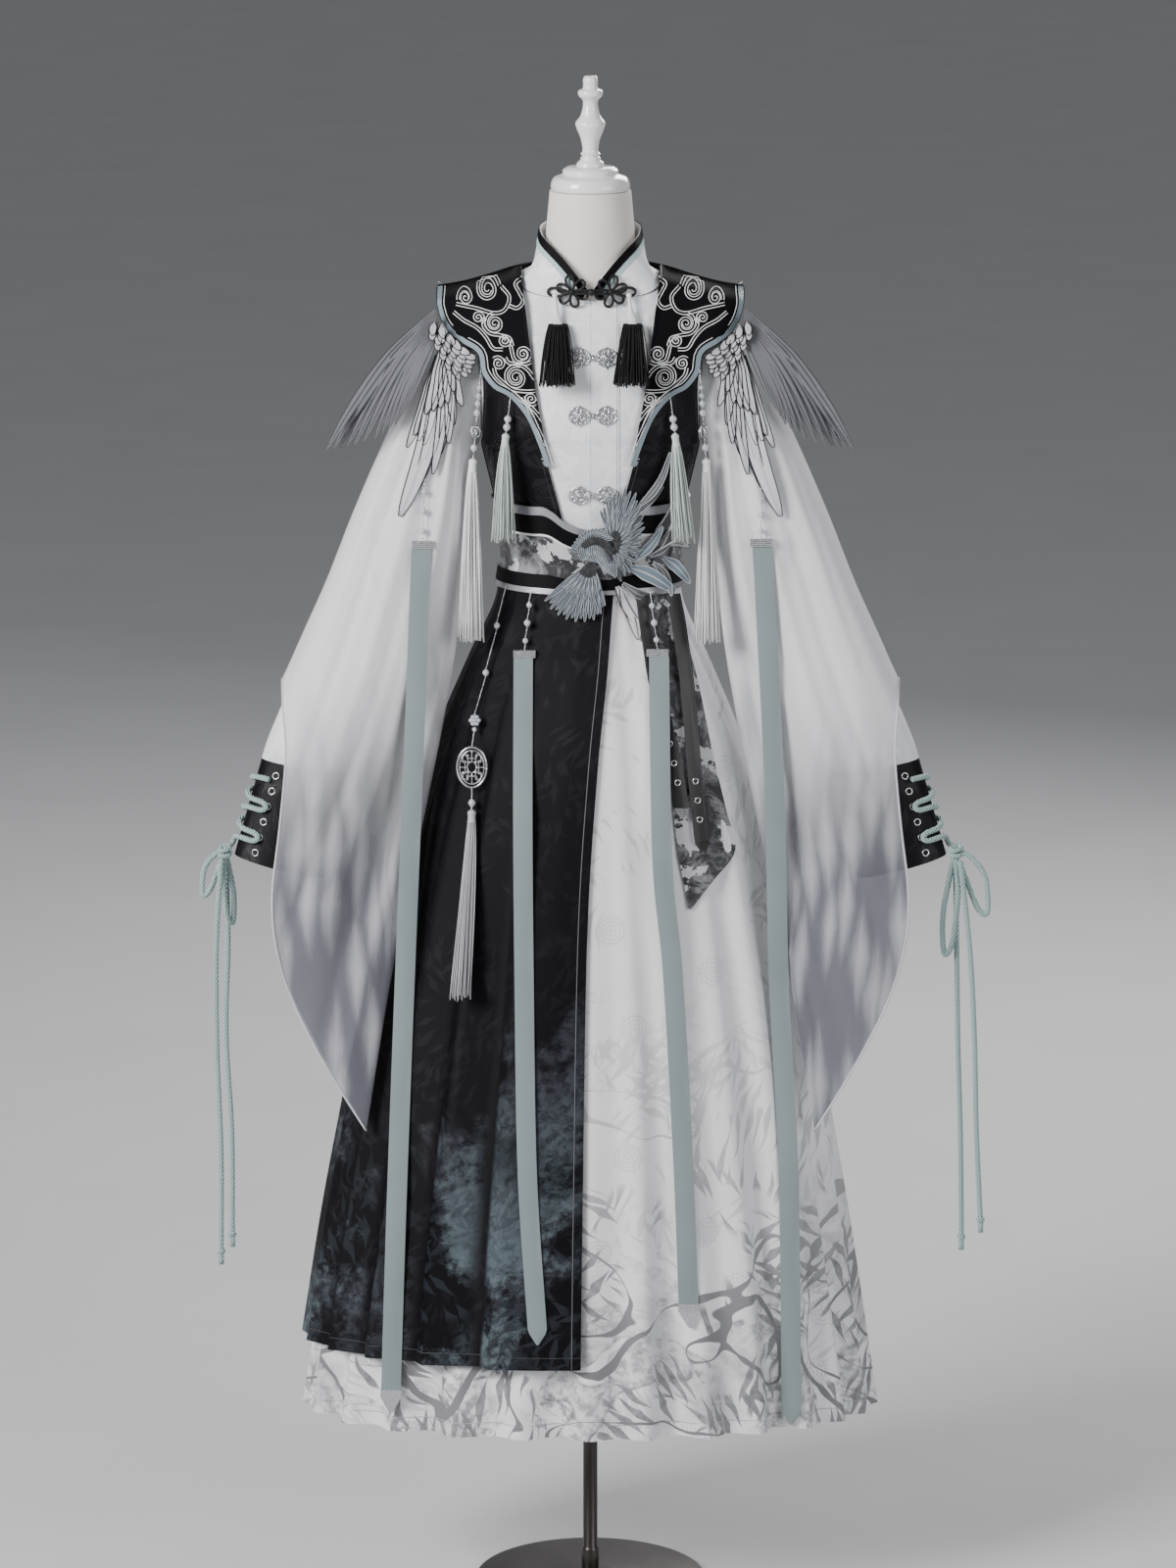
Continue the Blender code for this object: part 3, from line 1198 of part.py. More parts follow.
def relief_plate(name, triangles, centre, outline, rings, base, finish, free=0.0):
    """A plate with a raised middle, set just before the cloth. rings are (share of the reach, height).

    base is how far round a point the cloth is felt, and free the depth where there is no cloth behind.
    """
    count = len(outline)
    reach = max(reach for _, reach in outline)
    triangles = nearby(triangles, [centre], reach + 2.0 * base)
    layers = []
    for front in (True, False):
        points = []
        for share, rise in rings:
            for degrees, reach in outline:
                turn = math.radians(degrees)
                x = centre[0] + share * reach * math.cos(turn)
                height = centre[1] + share * reach * math.sin(turn)
                points.append((x, height, rise if front else 0.0))
        points.append((*centre, rings[-1][1] if front else 0.0))
        layers.append(points)
    points = []
    for layer in layers:
        for x, height, rise in layer:
            rest = resting_y(triangles, x, height, base, free)
            points.append((x, rest - PLATE_BACK - rise, height))
    faces = []
    for start, flip in ((0, False), (len(layers[0]), True)):
        for face in grid_faces(len(rings), count, start, True):
            faces.append(face[::-1] if flip else face)
        last = start + (len(rings) - 1) * count
        middle = start + len(rings) * count
        for side in range(count):
            faces.append((last + side, last + (side + 1) % count, middle))
    back = len(layers[0])
    for side in range(count):
        after = (side + 1) % count
        faces.append((side, after, back + after, back + side))
    return add_object(name, points, faces, finish, 50.0)


def build_plates():
    shirt = front_triangles("shirt_front_left", "shirt_front_right", "stand_collar")
    relief_plate("knot_frog", shirt, FROG_CENTRE, FROG_OUTLINE, FROG_RINGS, FROG_BASE, FROG)
    for order, height in enumerate(CLASP_HEIGHTS):
        centre = (CLASP_X, height)
        name = f"metal_clasp_{order + 1}"
        relief_plate(name, shirt, centre, CLASP_OUTLINE, CLASP_RINGS, CLASP_BASE, SILVER)
    under = front_triangles(
        "shirt_front_left", "shirt_front_right", "vest_front_left", "vest_front_right", "belt",
        "white_skirt_front", "black_overskirt", "sash_panel", "strap_inner", "strap_outer",
    )
    relief_plate("flower_applique", under, FLOWER_CENTRE, FLOWER_OUTLINE, FLOWER_RINGS, FLOWER_BASE, APPLIQUE,
                 FLOWER_FREE_Y)


# Feather wings on the sleeves: edge x and height of each feather's tip and notch, root x and height
WING = np.array([
    (0.3277, 1.4993, 0.1925, 1.6770), (0.3000, 1.5200, 0.1915, 1.6730), (0.3021, 1.5017, 0.1905, 1.6690),
    (0.2780, 1.5280, 0.1895, 1.6660), (0.2669, 1.5132, 0.1885, 1.6630), (0.2500, 1.5350, 0.1870, 1.6600),
    (0.2528, 1.5243, 0.1858, 1.6570), (0.2380, 1.5300, 0.1840, 1.6540), (0.2383, 1.4176, 0.1820, 1.6505),
    (0.2260, 1.4800, 0.1785, 1.6470), (0.2217, 1.4435, 0.1750, 1.6430), (0.2070, 1.5000, 0.1710, 1.6395),
    (0.1936, 1.4705, 0.1660, 1.6360), (0.1860, 1.5200, 0.1620, 1.6335), (0.1764, 1.5147, 0.1575, 1.6305),
    (0.1720, 1.5400, 0.1530, 1.6275), (0.1580, 1.5588, 0.1490, 1.6250),
])
WING_SHARES = (0.0, 0.35, 0.70, 1.0)
WING_WALL = 0.0013
WING_REACH = 0.005
WING_ROOT_REACH = 0.001
WING_GAP = 0.0002


def build_wings():
    for side, label in ((-1, "left"), (1, "right")):
        under = front_triangles(f"overlay_sleeve_{label}", f"vest_front_{label}", f"cloud_collar_{label}")
        front, back = [], []
        for edge_x, edge_z, root_x, root_z in WING:
            row = []
            for share in WING_SHARES:
                x = root_x + (edge_x - root_x) * share
                height = root_z + (edge_z - root_z) * share
                free = sleeve_plane(height) - 0.060 + 0.030 * float(smoothstep(0.24, 0.33, x))
                rest = resting_y(under, side * x, height, WING_REACH if share else WING_ROOT_REACH)
                row.append((side * x, min(free, rest - WING_GAP - WING_WALL), height))
            front.append(row)
            back.append([(x, y + WING_WALL, height) for x, y, height in row])
        wall(f"feather_wing_{label}", front, back, ORGANZA)


# Pendant: a chain, a flower bead and an openwork oval above its tassel

PENDANT_TOP, PENDANT_BEAD, PENDANT_FOOT = (-0.1050, 1.3270), (-0.1440, 1.1650), (-0.1474, 1.1356)
PENDANT_BEAD_RADIUS = 0.0080
OVAL_CENTRE, OVAL_HALF = (-0.1476, 1.1090), (0.0200, 0.0272)
OVAL_CELLS = 12
# Shares of the reach at the borders between the oval's rings, and which cells of each ring are cut out
OVAL_BORDERS = (0.20, 0.46, 0.76, 1.0)
OVAL_SPOKES = (0, 3, 6, 9)
OVAL_THICKNESS = 0.0026


def build_pendant(triangles):
    def wide(height):
        if height < PENDANT_FOOT[1]:
            return OVAL_HALF[0]
        if height > PENDANT_TOP[1] - 0.035:
            return CHAIN_RADIUS
        return PEARL_RADIUS if height > PENDANT_BEAD[1] + 0.02 else PENDANT_BEAD_RADIUS

    def deep(height):
        return 0.5 * OVAL_THICKNESS if height < PENDANT_FOOT[1] else wide(height)
    oval_foot = (OVAL_CENTRE[0], OVAL_CENTRE[1] - OVAL_HALF[1])
    line = hanging_line(triangles, [PENDANT_TOP, PENDANT_BEAD, PENDANT_FOOT, oval_foot], wide, deep)
    line[2][1] = min(line[2][1], line[3][1])
    sections = [(line[0], CHAIN_RADIUS, CHAIN_RADIUS)]
    up = np.array((0.0, 0.0, 1.0))
    for share, size in ((0.30, PEARL_RADIUS), (0.65, PEARL_RADIUS), (1.0, PENDANT_BEAD_RADIUS)):
        at = line[0] + (line[1] - line[0]) * share
        sections += [(at + size * up, CHAIN_RADIUS, CHAIN_RADIUS), (at, size, size),
                     (at - size * up, CHAIN_RADIUS, CHAIN_RADIUS)]
    sections.append((line[2], CHAIN_RADIUS, CHAIN_RADIUS))
    lofted("pendant_chain", sections, 5, SILVER)

    front = line[2][1] - 0.5 * OVAL_THICKNESS
    filled = [[ring != 1 or cell in OVAL_SPOKES for cell in range(OVAL_CELLS)] for ring in range(3)]
    points, faces = [], []
    for y in (front, front + OVAL_THICKNESS):
        for share in OVAL_BORDERS:
            for cell in range(OVAL_CELLS):
                turn = math.tau * (cell + 0.5) / OVAL_CELLS
                points.append((OVAL_CENTRE[0] + share * OVAL_HALF[0] * math.cos(turn), y,
                               OVAL_CENTRE[1] + share * OVAL_HALF[1] * math.sin(turn)))
    back = len(OVAL_BORDERS) * OVAL_CELLS
    for ring in range(3):
        for cell in range(OVAL_CELLS):
            if not filled[ring][cell]:
                continue
            after = (cell + 1) % OVAL_CELLS
            a, b = ring * OVAL_CELLS + cell, ring * OVAL_CELLS + after
            c, d = a + OVAL_CELLS, b + OVAL_CELLS
            faces += [(a, b, d, c), (back + a, back + c, back + d, back + b)]
            if ring == 0 or not filled[ring - 1][cell]:
                faces.append((a, b, back + b, back + a))
            if ring == 2 or not filled[ring + 1][cell]:
                faces.append((c, d, back + d, back + c))
            if not filled[ring][cell - 1]:
                faces.append((a, c, back + c, back + a))
            if not filled[ring][after]:
                faces.append((b, d, back + d, back + b))
    add_object("pendant_oval", points, faces, SILVER)
    make_tassel(triangles, PENDANT_TASSEL, front + 0.5 * OVAL_THICKNESS)


# Lacing round the cuffs' outer edges, with a bow and two free tails at each

CORD_RADIUS = 0.0035
LACE_OUT = CORD_RADIUS + 0.0017
LACE_TOP, LACE_LOW = 0.12, 0.90
LACE_CROSSINGS = 5
LACE_TURN = 50.0
LACE_BEND = 0.0045
KNOT_LIFT = 0.004
LAST_LIFT = 0.002
KNOT = (0.4580, 0.9990)
# A bow's loops from its knot: x outwards, depth, height
BOW = (
    (0.0000, 0.0000, 0.0000), (-0.0060, 0.0000, -0.0300), (-0.0150, 0.0000, -0.0850),
    (-0.0130, 0.0000, -0.1350), (-0.0030, -0.0030, -0.1200), (0.0030, -0.0060, -0.0600),
    (0.0010, -0.0080, -0.0100), (0.0150, -0.0100, -0.0060), (0.0360, -0.0120, -0.0330),
    (0.0400, -0.0130, -0.0780), (0.0280, -0.0140, -0.0740), (0.0120, -0.0160, -0.0350),
    (0.0040, -0.0170, -0.0140),
)
BOW_SCALE = {-1: 0.70, 1: 1.0}
# Free tails: x and height of the route, and how far before the knot they hang
TAILS = (
    ("lacing_tail_left_inner", -1, 0.0066,
     ((0.4580, 0.9960), (0.4560, 0.880), (0.4600, 0.760), (0.4545, 0.630), (0.4553, 0.4904))),
    ("lacing_tail_left_outer", -1, -0.0233,
     ((0.4612, 0.9920), (0.4690, 0.880), (0.4700, 0.750), (0.4665, 0.610), (0.4681, 0.4760))),
    ("lacing_tail_right_inner", 1, 0.0066,
     ((0.4580, 0.9960), (0.4610, 0.870), (0.4640, 0.750), (0.4690, 0.620), (0.4718, 0.4865))),
    ("lacing_tail_right_outer", 1, -0.0233,
     ((0.4625, 0.9880), (0.4760, 0.870), (0.4830, 0.760), (0.4870, 0.640), (0.4940, 0.5179))),
)
TAIL_POINTS = 22


def smooth_route(route, count):
    """Points spaced along a smooth curve through the route's own points."""
    route = np.asarray(route, float)
    padded = np.concatenate([[2.0 * route[0] - route[1]], route, [2.0 * route[-1] - route[-2]]])
    dense = []
    for index in range(1, len(padded) - 2):
        before, start, end, after = padded[index - 1:index + 3]
        for step in range(12):
            t = step / 12.0
            dense.append(0.5 * (2.0 * start + (end - before) * t
                                + (2.0 * before - 5.0 * start + 4.0 * end - after) * t ** 2
                                + (3.0 * start - 3.0 * end + after - before) * t ** 3))
    dense.append(route[-1])
    dense = np.array(dense)
    lengths = np.concatenate([[0.0], np.cumsum(np.linalg.norm(np.diff(dense, axis=0), axis=1))])
    wanted = np.linspace(0.0, lengths[-1], count)
    return np.stack([np.interp(wanted, lengths, dense[:, axis]) for axis in range(3)], axis=1)


def tube(name, path, radius, sides, finish):
    """A closed tube along the points, its section carried along without twisting."""
    path = np.asarray(path, float)
    ahead = np.gradient(path, axis=0)
    ahead /= np.linalg.norm(ahead, axis=1, keepdims=True)
    across = np.cross(ahead[0], (0.0, 1.0, 0.0))
    points = []
    for place, forward in zip(path, ahead):
        across = across - forward * np.dot(across, forward)
        across /= np.linalg.norm(across)
        upright = np.cross(forward, across)
        for side in range(sides):
            turn = math.tau * (side + 0.5) / sides
            points.append(place + radius * (math.cos(turn) * across + math.sin(turn) * upright))
    faces = grid_faces(len(path), sides, 0, True)
    faces.append(tuple(range(sides)))
    last = (len(path) - 1) * sides
    faces.append(tuple(last + side for side in range(sides)))
    return add_object(name, points, faces, finish, 60.0)


def cuff_point(side, share, turn, out):
    """A point outside the cuff: share from its top to its foot, turn in degrees from its outer edge."""
    rows = range(len(CUFF))
    place = share * (len(CUFF) - 1)
    section = [float(np.interp(place, rows, CUFF[:, column])) for column in range(CUFF.shape[1])]
    outer_x, outer_z, inner_x, inner_z, half_depth = section
    angle = math.radians(turn)
    along = 0.5 * (1.0 - math.cos(angle))
    return np.array((
        side * (outer_x + (inner_x - outer_x) * along + out * math.cos(angle)),
        sleeve_plane(0.5 * (outer_z + inner_z)) - (half_depth + out) * math.sin(angle),
        outer_z + (inner_z - outer_z) * along,
    ))


def build_lacings():
    for side, label in ((-1, "left"), (1, "right")):
        path = []
        drop = (LACE_LOW - LACE_TOP) / LACE_CROSSINGS
        bend = LACE_BEND / (CUFF[0, 1] - CUFF[-1, 1])
        for crossing in range(LACE_CROSSINGS):
            start = LACE_TOP + drop * crossing
            way = 1.0 if crossing % 2 == 0 else -1.0
            for turn, share in ((LACE_TURN, bend), (0.52 * LACE_TURN, 0.3 * drop), (0.0, 0.5 * drop),
                                (-0.52 * LACE_TURN, 0.7 * drop), (-LACE_TURN, drop - bend)):
                path.append(cuff_point(side, start + share, way * turn, LACE_OUT))
            if crossing < LACE_CROSSINGS - 1:
                path.append(cuff_point(side, start + drop, -way * (LACE_TURN + 6.0), LACE_OUT))
        knot_y = cuff_point(side, 1.0, 0.0, 0.0)[1] - KNOT_LIFT
        knot = np.array((side * KNOT[0], knot_y, KNOT[1]))
        path = path[:-2]
        path.append(cuff_point(side, LACE_LOW, 0.0, LACE_OUT + LAST_LIFT))
        for across, deep, rise in BOW:
            scale = BOW_SCALE[side]
            path.append(knot + np.array((side * across * scale, deep, rise * scale)))
        tube(f"lacing_{label}", path, CORD_RADIUS, 4, LACE_CORD)
        for name, own_side, before, route in TAILS:
            if own_side != side:
                continue
            points = [(side * x, knot[1] + before, height) for x, height in route]
            add_cord(name, smooth_route(points, TAIL_POINTS), LACE_CORD)


def add_cord(name, path, finish):
    """A free cord along the points."""
    curve = bpy.data.curves.new(name, "CURVE")
    curve.dimensions = "3D"
    curve.bevel_depth = CORD_RADIUS
    curve.bevel_resolution = 2
    curve.use_fill_caps = True
    spline = curve.splines.new("POLY")
    spline.points.add(len(path) - 1)
    for point, place in zip(spline.points, path):
        point.co = (*place, 1.0)
    spline.use_smooth = True
    curve.materials.append(finish)
    made = bpy.data.objects.new(name, curve)
    bpy.context.scene.collection.objects.link(made)
    return made


def all_cloth():
    """The triangles of every piece made so far but the form and the cords."""
    meshes = [made for made in bpy.data.objects if made.type == "MESH"]
    return front_triangles(*[made.name for made in meshes if not made.name.startswith("form_")])


def build_trims():
    build_sash()
    build_plates()
    build_wings()
    cloth = all_cloth()
    for measures in TASSELS:
        make_tassel(cloth, measures)
    build_pendant(all_cloth())
    build_ribbons(all_cloth())
    build_lacings()


def build_all():
    build_form()
    build_shirt()
    build_vest()
    build_collars()
    build_belt()
    build_white_skirt()
    build_overskirt()
    build_sleeves()
    build_trims()


build_all()
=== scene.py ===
import math

import bmesh
import bpy
import numpy as np
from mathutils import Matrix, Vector
from mathutils.bvhtree import BVHTree


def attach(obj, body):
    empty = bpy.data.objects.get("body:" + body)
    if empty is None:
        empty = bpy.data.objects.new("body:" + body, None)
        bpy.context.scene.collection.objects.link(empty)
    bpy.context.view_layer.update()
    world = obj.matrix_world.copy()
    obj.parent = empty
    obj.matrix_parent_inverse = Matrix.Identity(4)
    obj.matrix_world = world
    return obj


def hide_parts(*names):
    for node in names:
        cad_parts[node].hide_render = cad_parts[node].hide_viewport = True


# The looks of a layered Chinese-style dress set on a limbless dress form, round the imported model.
# Metres, front towards -Y; "side" is -1 for the picture's left half and +1 for its right half.
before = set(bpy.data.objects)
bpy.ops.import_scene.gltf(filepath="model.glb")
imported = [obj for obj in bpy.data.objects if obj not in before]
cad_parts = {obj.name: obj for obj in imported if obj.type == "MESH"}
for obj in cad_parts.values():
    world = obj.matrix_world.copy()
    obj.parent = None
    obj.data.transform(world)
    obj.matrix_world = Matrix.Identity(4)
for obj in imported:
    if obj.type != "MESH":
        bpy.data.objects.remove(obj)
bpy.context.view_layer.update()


# Camera, lights and floor

def add_camera():
    data = bpy.data.cameras.new("camera")
    data.lens = 141.5
    data.clip_end = 120.0
    made = bpy.data.objects.new("camera", data)
    made.location = (-0.003, -7.62, 2.73)
    made.rotation_euler = (math.radians(77.65), 0.0, 0.0)
    bpy.context.scene.collection.objects.link(made)
    bpy.context.scene.camera = made


def add_light(name, place, target, size, power):
    data = bpy.data.lights.new(name, "AREA")
    data.shape = "RECTANGLE"
    data.size, data.size_y = size
    data.energy = power
    made = bpy.data.objects.new(name, data)
    made.location = place
    made.rotation_euler = (Vector(target) - Vector(place)).to_track_quat("-Z", "Y").to_euler()
    bpy.context.scene.collection.objects.link(made)


def add_studio():
    add_camera()
    add_light("key", (-3.4, -3.0, 3.4), (0.0, 0.0, 1.0), (1.8, 2.2), 380.0)
    add_light("fill", (3.4, -3.0, 2.2), (0.0, 0.0, 1.0), (2.4, 2.4), 80.0)
    add_light("back", (1.5, 3.6, 3.2), (0.0, 0.0, 1.1), (2.5, 1.6), 150.0)
    world = bpy.data.worlds.new("studio")
    world.use_nodes = True
    background = world.node_tree.nodes["Background"]
    background.inputs["Color"].default_value = (0.60, 0.61, 0.63, 1.0)
    background.inputs["Strength"].default_value = 0.36
    bpy.context.scene.world = world
    floor_finish = Finish("studio_floor", (0.55, 0.55, 0.56), 0.85)
    grain = floor_finish.noise(floor_finish.place(), 3.0, 3.0)
    floor_finish.colour(floor_finish.blend(grain, (0.52, 0.52, 0.53), (0.58, 0.58, 0.59)))
    mesh = bpy.data.meshes.new("floor")
    far = 45.0
    corners = [(-far, -far, 0.0), (far, -far, 0.0), (far, far, 0.0), (-far, far, 0.0)]
    mesh.from_pydata(corners, [], [(0, 1, 2, 3)])
    mesh.materials.append(floor_finish.made)
    floor = bpy.data.objects.new("floor", mesh)
    bpy.context.scene.collection.objects.link(floor)


# Materials

class Finish:
    """A material whose nodes are added call by call."""

    def __init__(self, name, colour, roughness, **sockets):
        self.made = bpy.data.materials.new(name)
        self.made.use_nodes = True
        self.tree = self.made.node_tree
        self.shader = self.tree.nodes["Principled BSDF"]
        self.shader.inputs["Base Color"].default_value = (*colour, 1.0)
        self.shader.inputs["Roughness"].default_value = roughness
        for socket, value in sockets.items():
            self.shader.inputs[socket.replace("_", " ")].default_value = value

    def feed(self, socket, value):
        if isinstance(value, bpy.types.NodeSocket):
            self.tree.links.new(value, socket)
        elif isinstance(value, tuple) and len(value) == 3 and socket.type == "RGBA":
            socket.default_value = (*value, 1.0)
        else:
            socket.default_value = value

    def node(self, kind, inputs, **settings):
        made = self.tree.nodes.new(kind)
        for key, value in settings.items():
            setattr(made, key, value)
        for key, value in inputs.items():
            self.feed(made.inputs[key], value)
        return made

    def math(self, operation, a, b=0.0, c=0.0):
        return self.node("ShaderNodeMath", {0: a, 1: b, 2: c}, operation=operation).outputs[0]

    def place(self):
        """The point's place on the object, in metres."""
        return self.node("ShaderNodeTexCoord", {}).outputs["Object"]

    def cloth_place(self):
        """The point's place on the cut cloth, in metres across and down."""
        return self.node("ShaderNodeTexCoord", {}).outputs["UV"]

    def part(self, vector, axis):
        return self.node("ShaderNodeSeparateXYZ", {0: vector}).outputs[axis]

    def scaled(self, vector, scale, turn=0.0, shift=(0.0, 0.0, 0.0)):
        rotation = (0.0, 0.0, math.radians(turn))
        turned = self.node("ShaderNodeMapping", {"Vector": vector, "Rotation": rotation})
        inputs = {"Vector": turned.outputs[0], "Scale": scale, "Location": shift}
        return self.node("ShaderNodeMapping", inputs).outputs[0]

    def moved(self, vector, across, down):
        return self.scaled(vector, (1.0, 1.0, 1.0), 0.0, (across, down, 0.0))

    def noise(self, vector, scale, detail, rough=0.55, warp=0.0):
        inputs = {"Vector": vector, "Scale": scale, "Detail": detail, "Roughness": rough, "Distortion": warp}
        return self.node("ShaderNodeTexNoise", inputs).outputs["Fac"]

    def cells(self, vector, spread, metric="EUCLIDEAN", power=1.0):
        """How far each place is from the middle of its own cell."""
        inputs = {"Vector": vector, "Scale": 1.0, "Randomness": spread}
        if metric == "MINKOWSKI":
            inputs["Exponent"] = power
        settings = {"voronoi_dimensions": "2D", "feature": "F1", "distance": metric}
        return self.node("ShaderNodeTexVoronoi", inputs, **settings).outputs["Distance"]

    def step(self, value, low, high):
        """A smooth change from 0 to 1 as value goes from low to high."""
        inputs = {"Value": value, "From Min": low, "From Max": high}
        return self.node("ShaderNodeMapRange", inputs, interpolation_type="SMOOTHSTEP").outputs["Result"]

    def blend(self, share, a, b):
        return self.node("ShaderNodeMix", {0: share, 6: a, 7: b}, data_type="RGBA").outputs[2]

    def named(self, attribute):
        return self.node("ShaderNodeAttribute", {}, attribute_name=attribute).outputs["Fac"]

    def colour(self, value):
        self.feed(self.shader.inputs["Base Color"], value)

    def rough(self, value):
        self.feed(self.shader.inputs["Roughness"], value)

    def bump(self, height, depth, strength):
        made = self.node("ShaderNodeBump", {"Height": height, "Distance": depth, "Strength": strength})
        self.tree.links.new(made.outputs[0], self.shader.inputs["Normal"])

    def combined(self, operation, values):
        total = values[0]
        for value in values[1:]:
            total = self.math(operation, total, value)
        return total

    def product(self, *values):
        return self.combined("MULTIPLY", values)

    def most(self, *values):
        return self.combined("MAXIMUM", values)

    def multiply_add(self, value, gain, more):
        return self.math("MULTIPLY_ADD", value, gain, more)

    def waves(self, value, pitch):
        """A sine of this pitch, from -1 to 1."""
        return self.math("SINE", self.product(value, math.tau / pitch))

    def weave(self, across, down, pitch):
        """Crossing threads of this pitch, from 0 to 1."""
        rows = self.waves(down, pitch)
        columns = self.waves(across, pitch)
        return self.multiply_add(self.product(rows, columns), 0.5, 0.5)

    def bent(self, vector, scale, reach):
        """The place moved a little by a slow noise, which bends straight shapes."""
        inputs = {"Vector": vector, "Scale": scale, "Detail": 1.0}
        slow = self.node("ShaderNodeTexNoise", inputs).outputs["Color"]
        inputs = {0: slow, 1: (0.5, 0.5, 0.5)}
        off = self.node("ShaderNodeVectorMath", inputs, operation="SUBTRACT").outputs[0]
        inputs = {0: off, 1: (reach, reach, 0.0), 2: vector}
        return self.node("ShaderNodeVectorMath", inputs, operation="MULTIPLY_ADD").outputs[0]

    def leaves(self, vector, angle, size, radius, shift):
        """Pointed leaves that all lie one way; size is the room that each has."""
        room = self.scaled(vector, (1.0 / size[0], 1.0 / size[1], 1.0), angle, (shift, 1.7 * shift, 0.0))
        return self.step(self.cells(room, 0.75, "MINKOWSKI", 0.85), radius, 0.82 * radius)

    def sprays(self, vector, size, radius, clump, shift, low=0.50, high=0.56):
        """Leaves in clumps, fanned out over a few directions."""
        vector = self.bent(vector, 16.0, 0.030)
        ways = []
        for order, angle in enumerate((-62.0, -28.0, 14.0, 47.0)):
            where = self.noise(self.moved(vector, shift + 3.1 * order, shift), clump, 1.0)
            one_way = self.leaves(vector, angle, size, radius, shift + order)
            ways.append(self.product(one_way, self.step(where, low, high)))
        return self.most(*ways)

    def winding(self, vector, scale, width, shift, warp):
        """Winding bands of uneven width, where a slow noise crosses its middle value, and the bands' rims."""
        slow = self.noise(self.moved(vector, shift, 2.0 * shift), scale, 1.5, 0.4, warp)
        swell = self.multiply_add(self.step(self.noise(vector, 3.0 * scale, 2.0), 0.36, 0.66), 1.9, 0.35)
        off = self.math("DIVIDE", self.math("ABSOLUTE", self.math("SUBTRACT", slow, 0.5)), swell)
        return self.step(off, width, 0.80 * width), self.step(off, 0.62 * width, 0.95 * width)

    def medallions(self, vector, room, radius, shift):
        """Round fretwork motifs, scattered."""
        spot = self.scaled(vector, (1.0 / room, 1.0 / room, 1.0), 0.0, (shift, shift, 0.0))
        away = self.cells(spot, 0.85)
        inside = self.step(away, radius, 0.95 * radius)
        rings = self.math("SINE", self.product(away, 26.0 / radius))
        across = self.math("SINE", self.product(self.part(spot, 0), 22.0 / radius))
        down = self.math("SINE", self.product(self.part(spot, 1), 22.0 / radius))
        fret = self.step(self.most(self.math("MINIMUM", across, down), self.product(rings, 0.8)), 0.1, 0.4)
        return self.product(inside, fret)


# Measured tables and the cloth's coarse grids

# How far each layer's inner and outer faces lie outside the form, and how thick the free cloths are
SEAM = 0.0003
SHIRT_IN, SHIRT_OUT = 0.0009, 0.0021
VEST_IN, VEST_OUT = 0.0041, 0.0053
BELT_IN, BELT_OUT = 0.0073, 0.0089
CAPE_IN, CAPE_OUT = 0.0071, 0.0091
WHITE_SKIRT_WALL = 0.0013
SLEEVE_WALL = 0.0012
OVERLAY_WALL = 0.0010

# Heights and eases
BASE_HEIGHT = 0.014
FORM_BOTTOM = 0.98
NECK_TOP = 1.815
WAIST_SEAM = 1.3215
VEST_BOTTOM, VEST_TOP = 1.340, 1.698
VEST_LEAST_ANGLE = 0.04
VEST_BACK_EASE = 0.0014
BELT_BOTTOM = WAIST_SEAM + SEAM
WHITE_HEM = 0.243
BLACK_HEM = 0.338

# The form's level sections: height, half width, depth in front, depth behind
BODY = np.array([
    (0.980, 0.146, 0.098, 0.104),
    (1.060, 0.156, 0.103, 0.114),
    (1.140, 0.154, 0.102, 0.114),
    (1.220, 0.137, 0.096, 0.100),
    (1.300, 0.113, 0.084, 0.082),
    (1.365, 0.105, 0.080, 0.072),
    (1.420, 0.112, 0.087, 0.075),
    (1.480, 0.126, 0.103, 0.083),
    (1.530, 0.137, 0.111, 0.090),
    (1.580, 0.146, 0.106, 0.095),
    (1.630, 0.155, 0.091, 0.092),
    (1.660, 0.162, 0.076, 0.080),
    (1.676, 0.164, 0.066, 0.068),
    (1.690, 0.134, 0.063, 0.064),
    (1.704, 0.102, 0.061, 0.060),
    (1.718, 0.072, 0.059, 0.058),
    (1.735, 0.0580, 0.0570, 0.0560),
    (1.765, 0.0550, 0.0545, 0.0540),
    (1.815, 0.0505, 0.0505, 0.0505),
])
BODY_POWER = 0.90
SHOULDER_BEND = (1.60, 1.685)

# The skirts' level sections: height, half width, depth in front, depth behind
SKIRT = np.array([
    (0.243, 0.3720, 0.2050, 0.2100),
    (0.338, 0.3570, 0.2010, 0.2030),
    (0.500, 0.3330, 0.1910, 0.1910),
    (0.750, 0.2880, 0.1740, 0.1730),
    (0.950, 0.2450, 0.1570, 0.1560),
    (1.100, 0.1990, 0.1380, 0.1380),
    (1.220, 0.1520, 0.1110, 0.1150),
    (1.290, 0.1200, 0.0900, 0.0900),
    (1.3215, 0.1128, 0.0862, 0.0820),
])

# The armhole is an oval on the form's side: centre height, half height, half depth
ARMHOLE = (1.592, 0.083, 0.050)
VEST_ARMHOLE = (1.590, 0.092, 0.060)
SIDE_ANGLE = math.radians(90.0)
SIDES = ((-1, "left"), (1, "right"))


def grid_faces(rows, columns, start, around):
    faces = []
    for row in range(rows - 1):
        for column in range(columns if around else columns - 1):
            after = (column + 1) % columns
            faces.append((
                start + row * columns + column,
                start + row * columns + after,
                start + (row + 1) * columns + after,
                start + (row + 1) * columns + column,
            ))
    return faces


def smoothstep(low, high, value):
    t = np.clip((value - low) / (high - low), 0.0, 1.0)
    return t * t * (3.0 - 2.0 * t)


def read(table, place, column):
    """A table's column, read between its rows at a place in its first column."""
    return float(np.interp(place, table[:, 0], table[:, column]))


def table_row(table, height):
    return [read(table, height, column) for column in (1, 2, 3)]


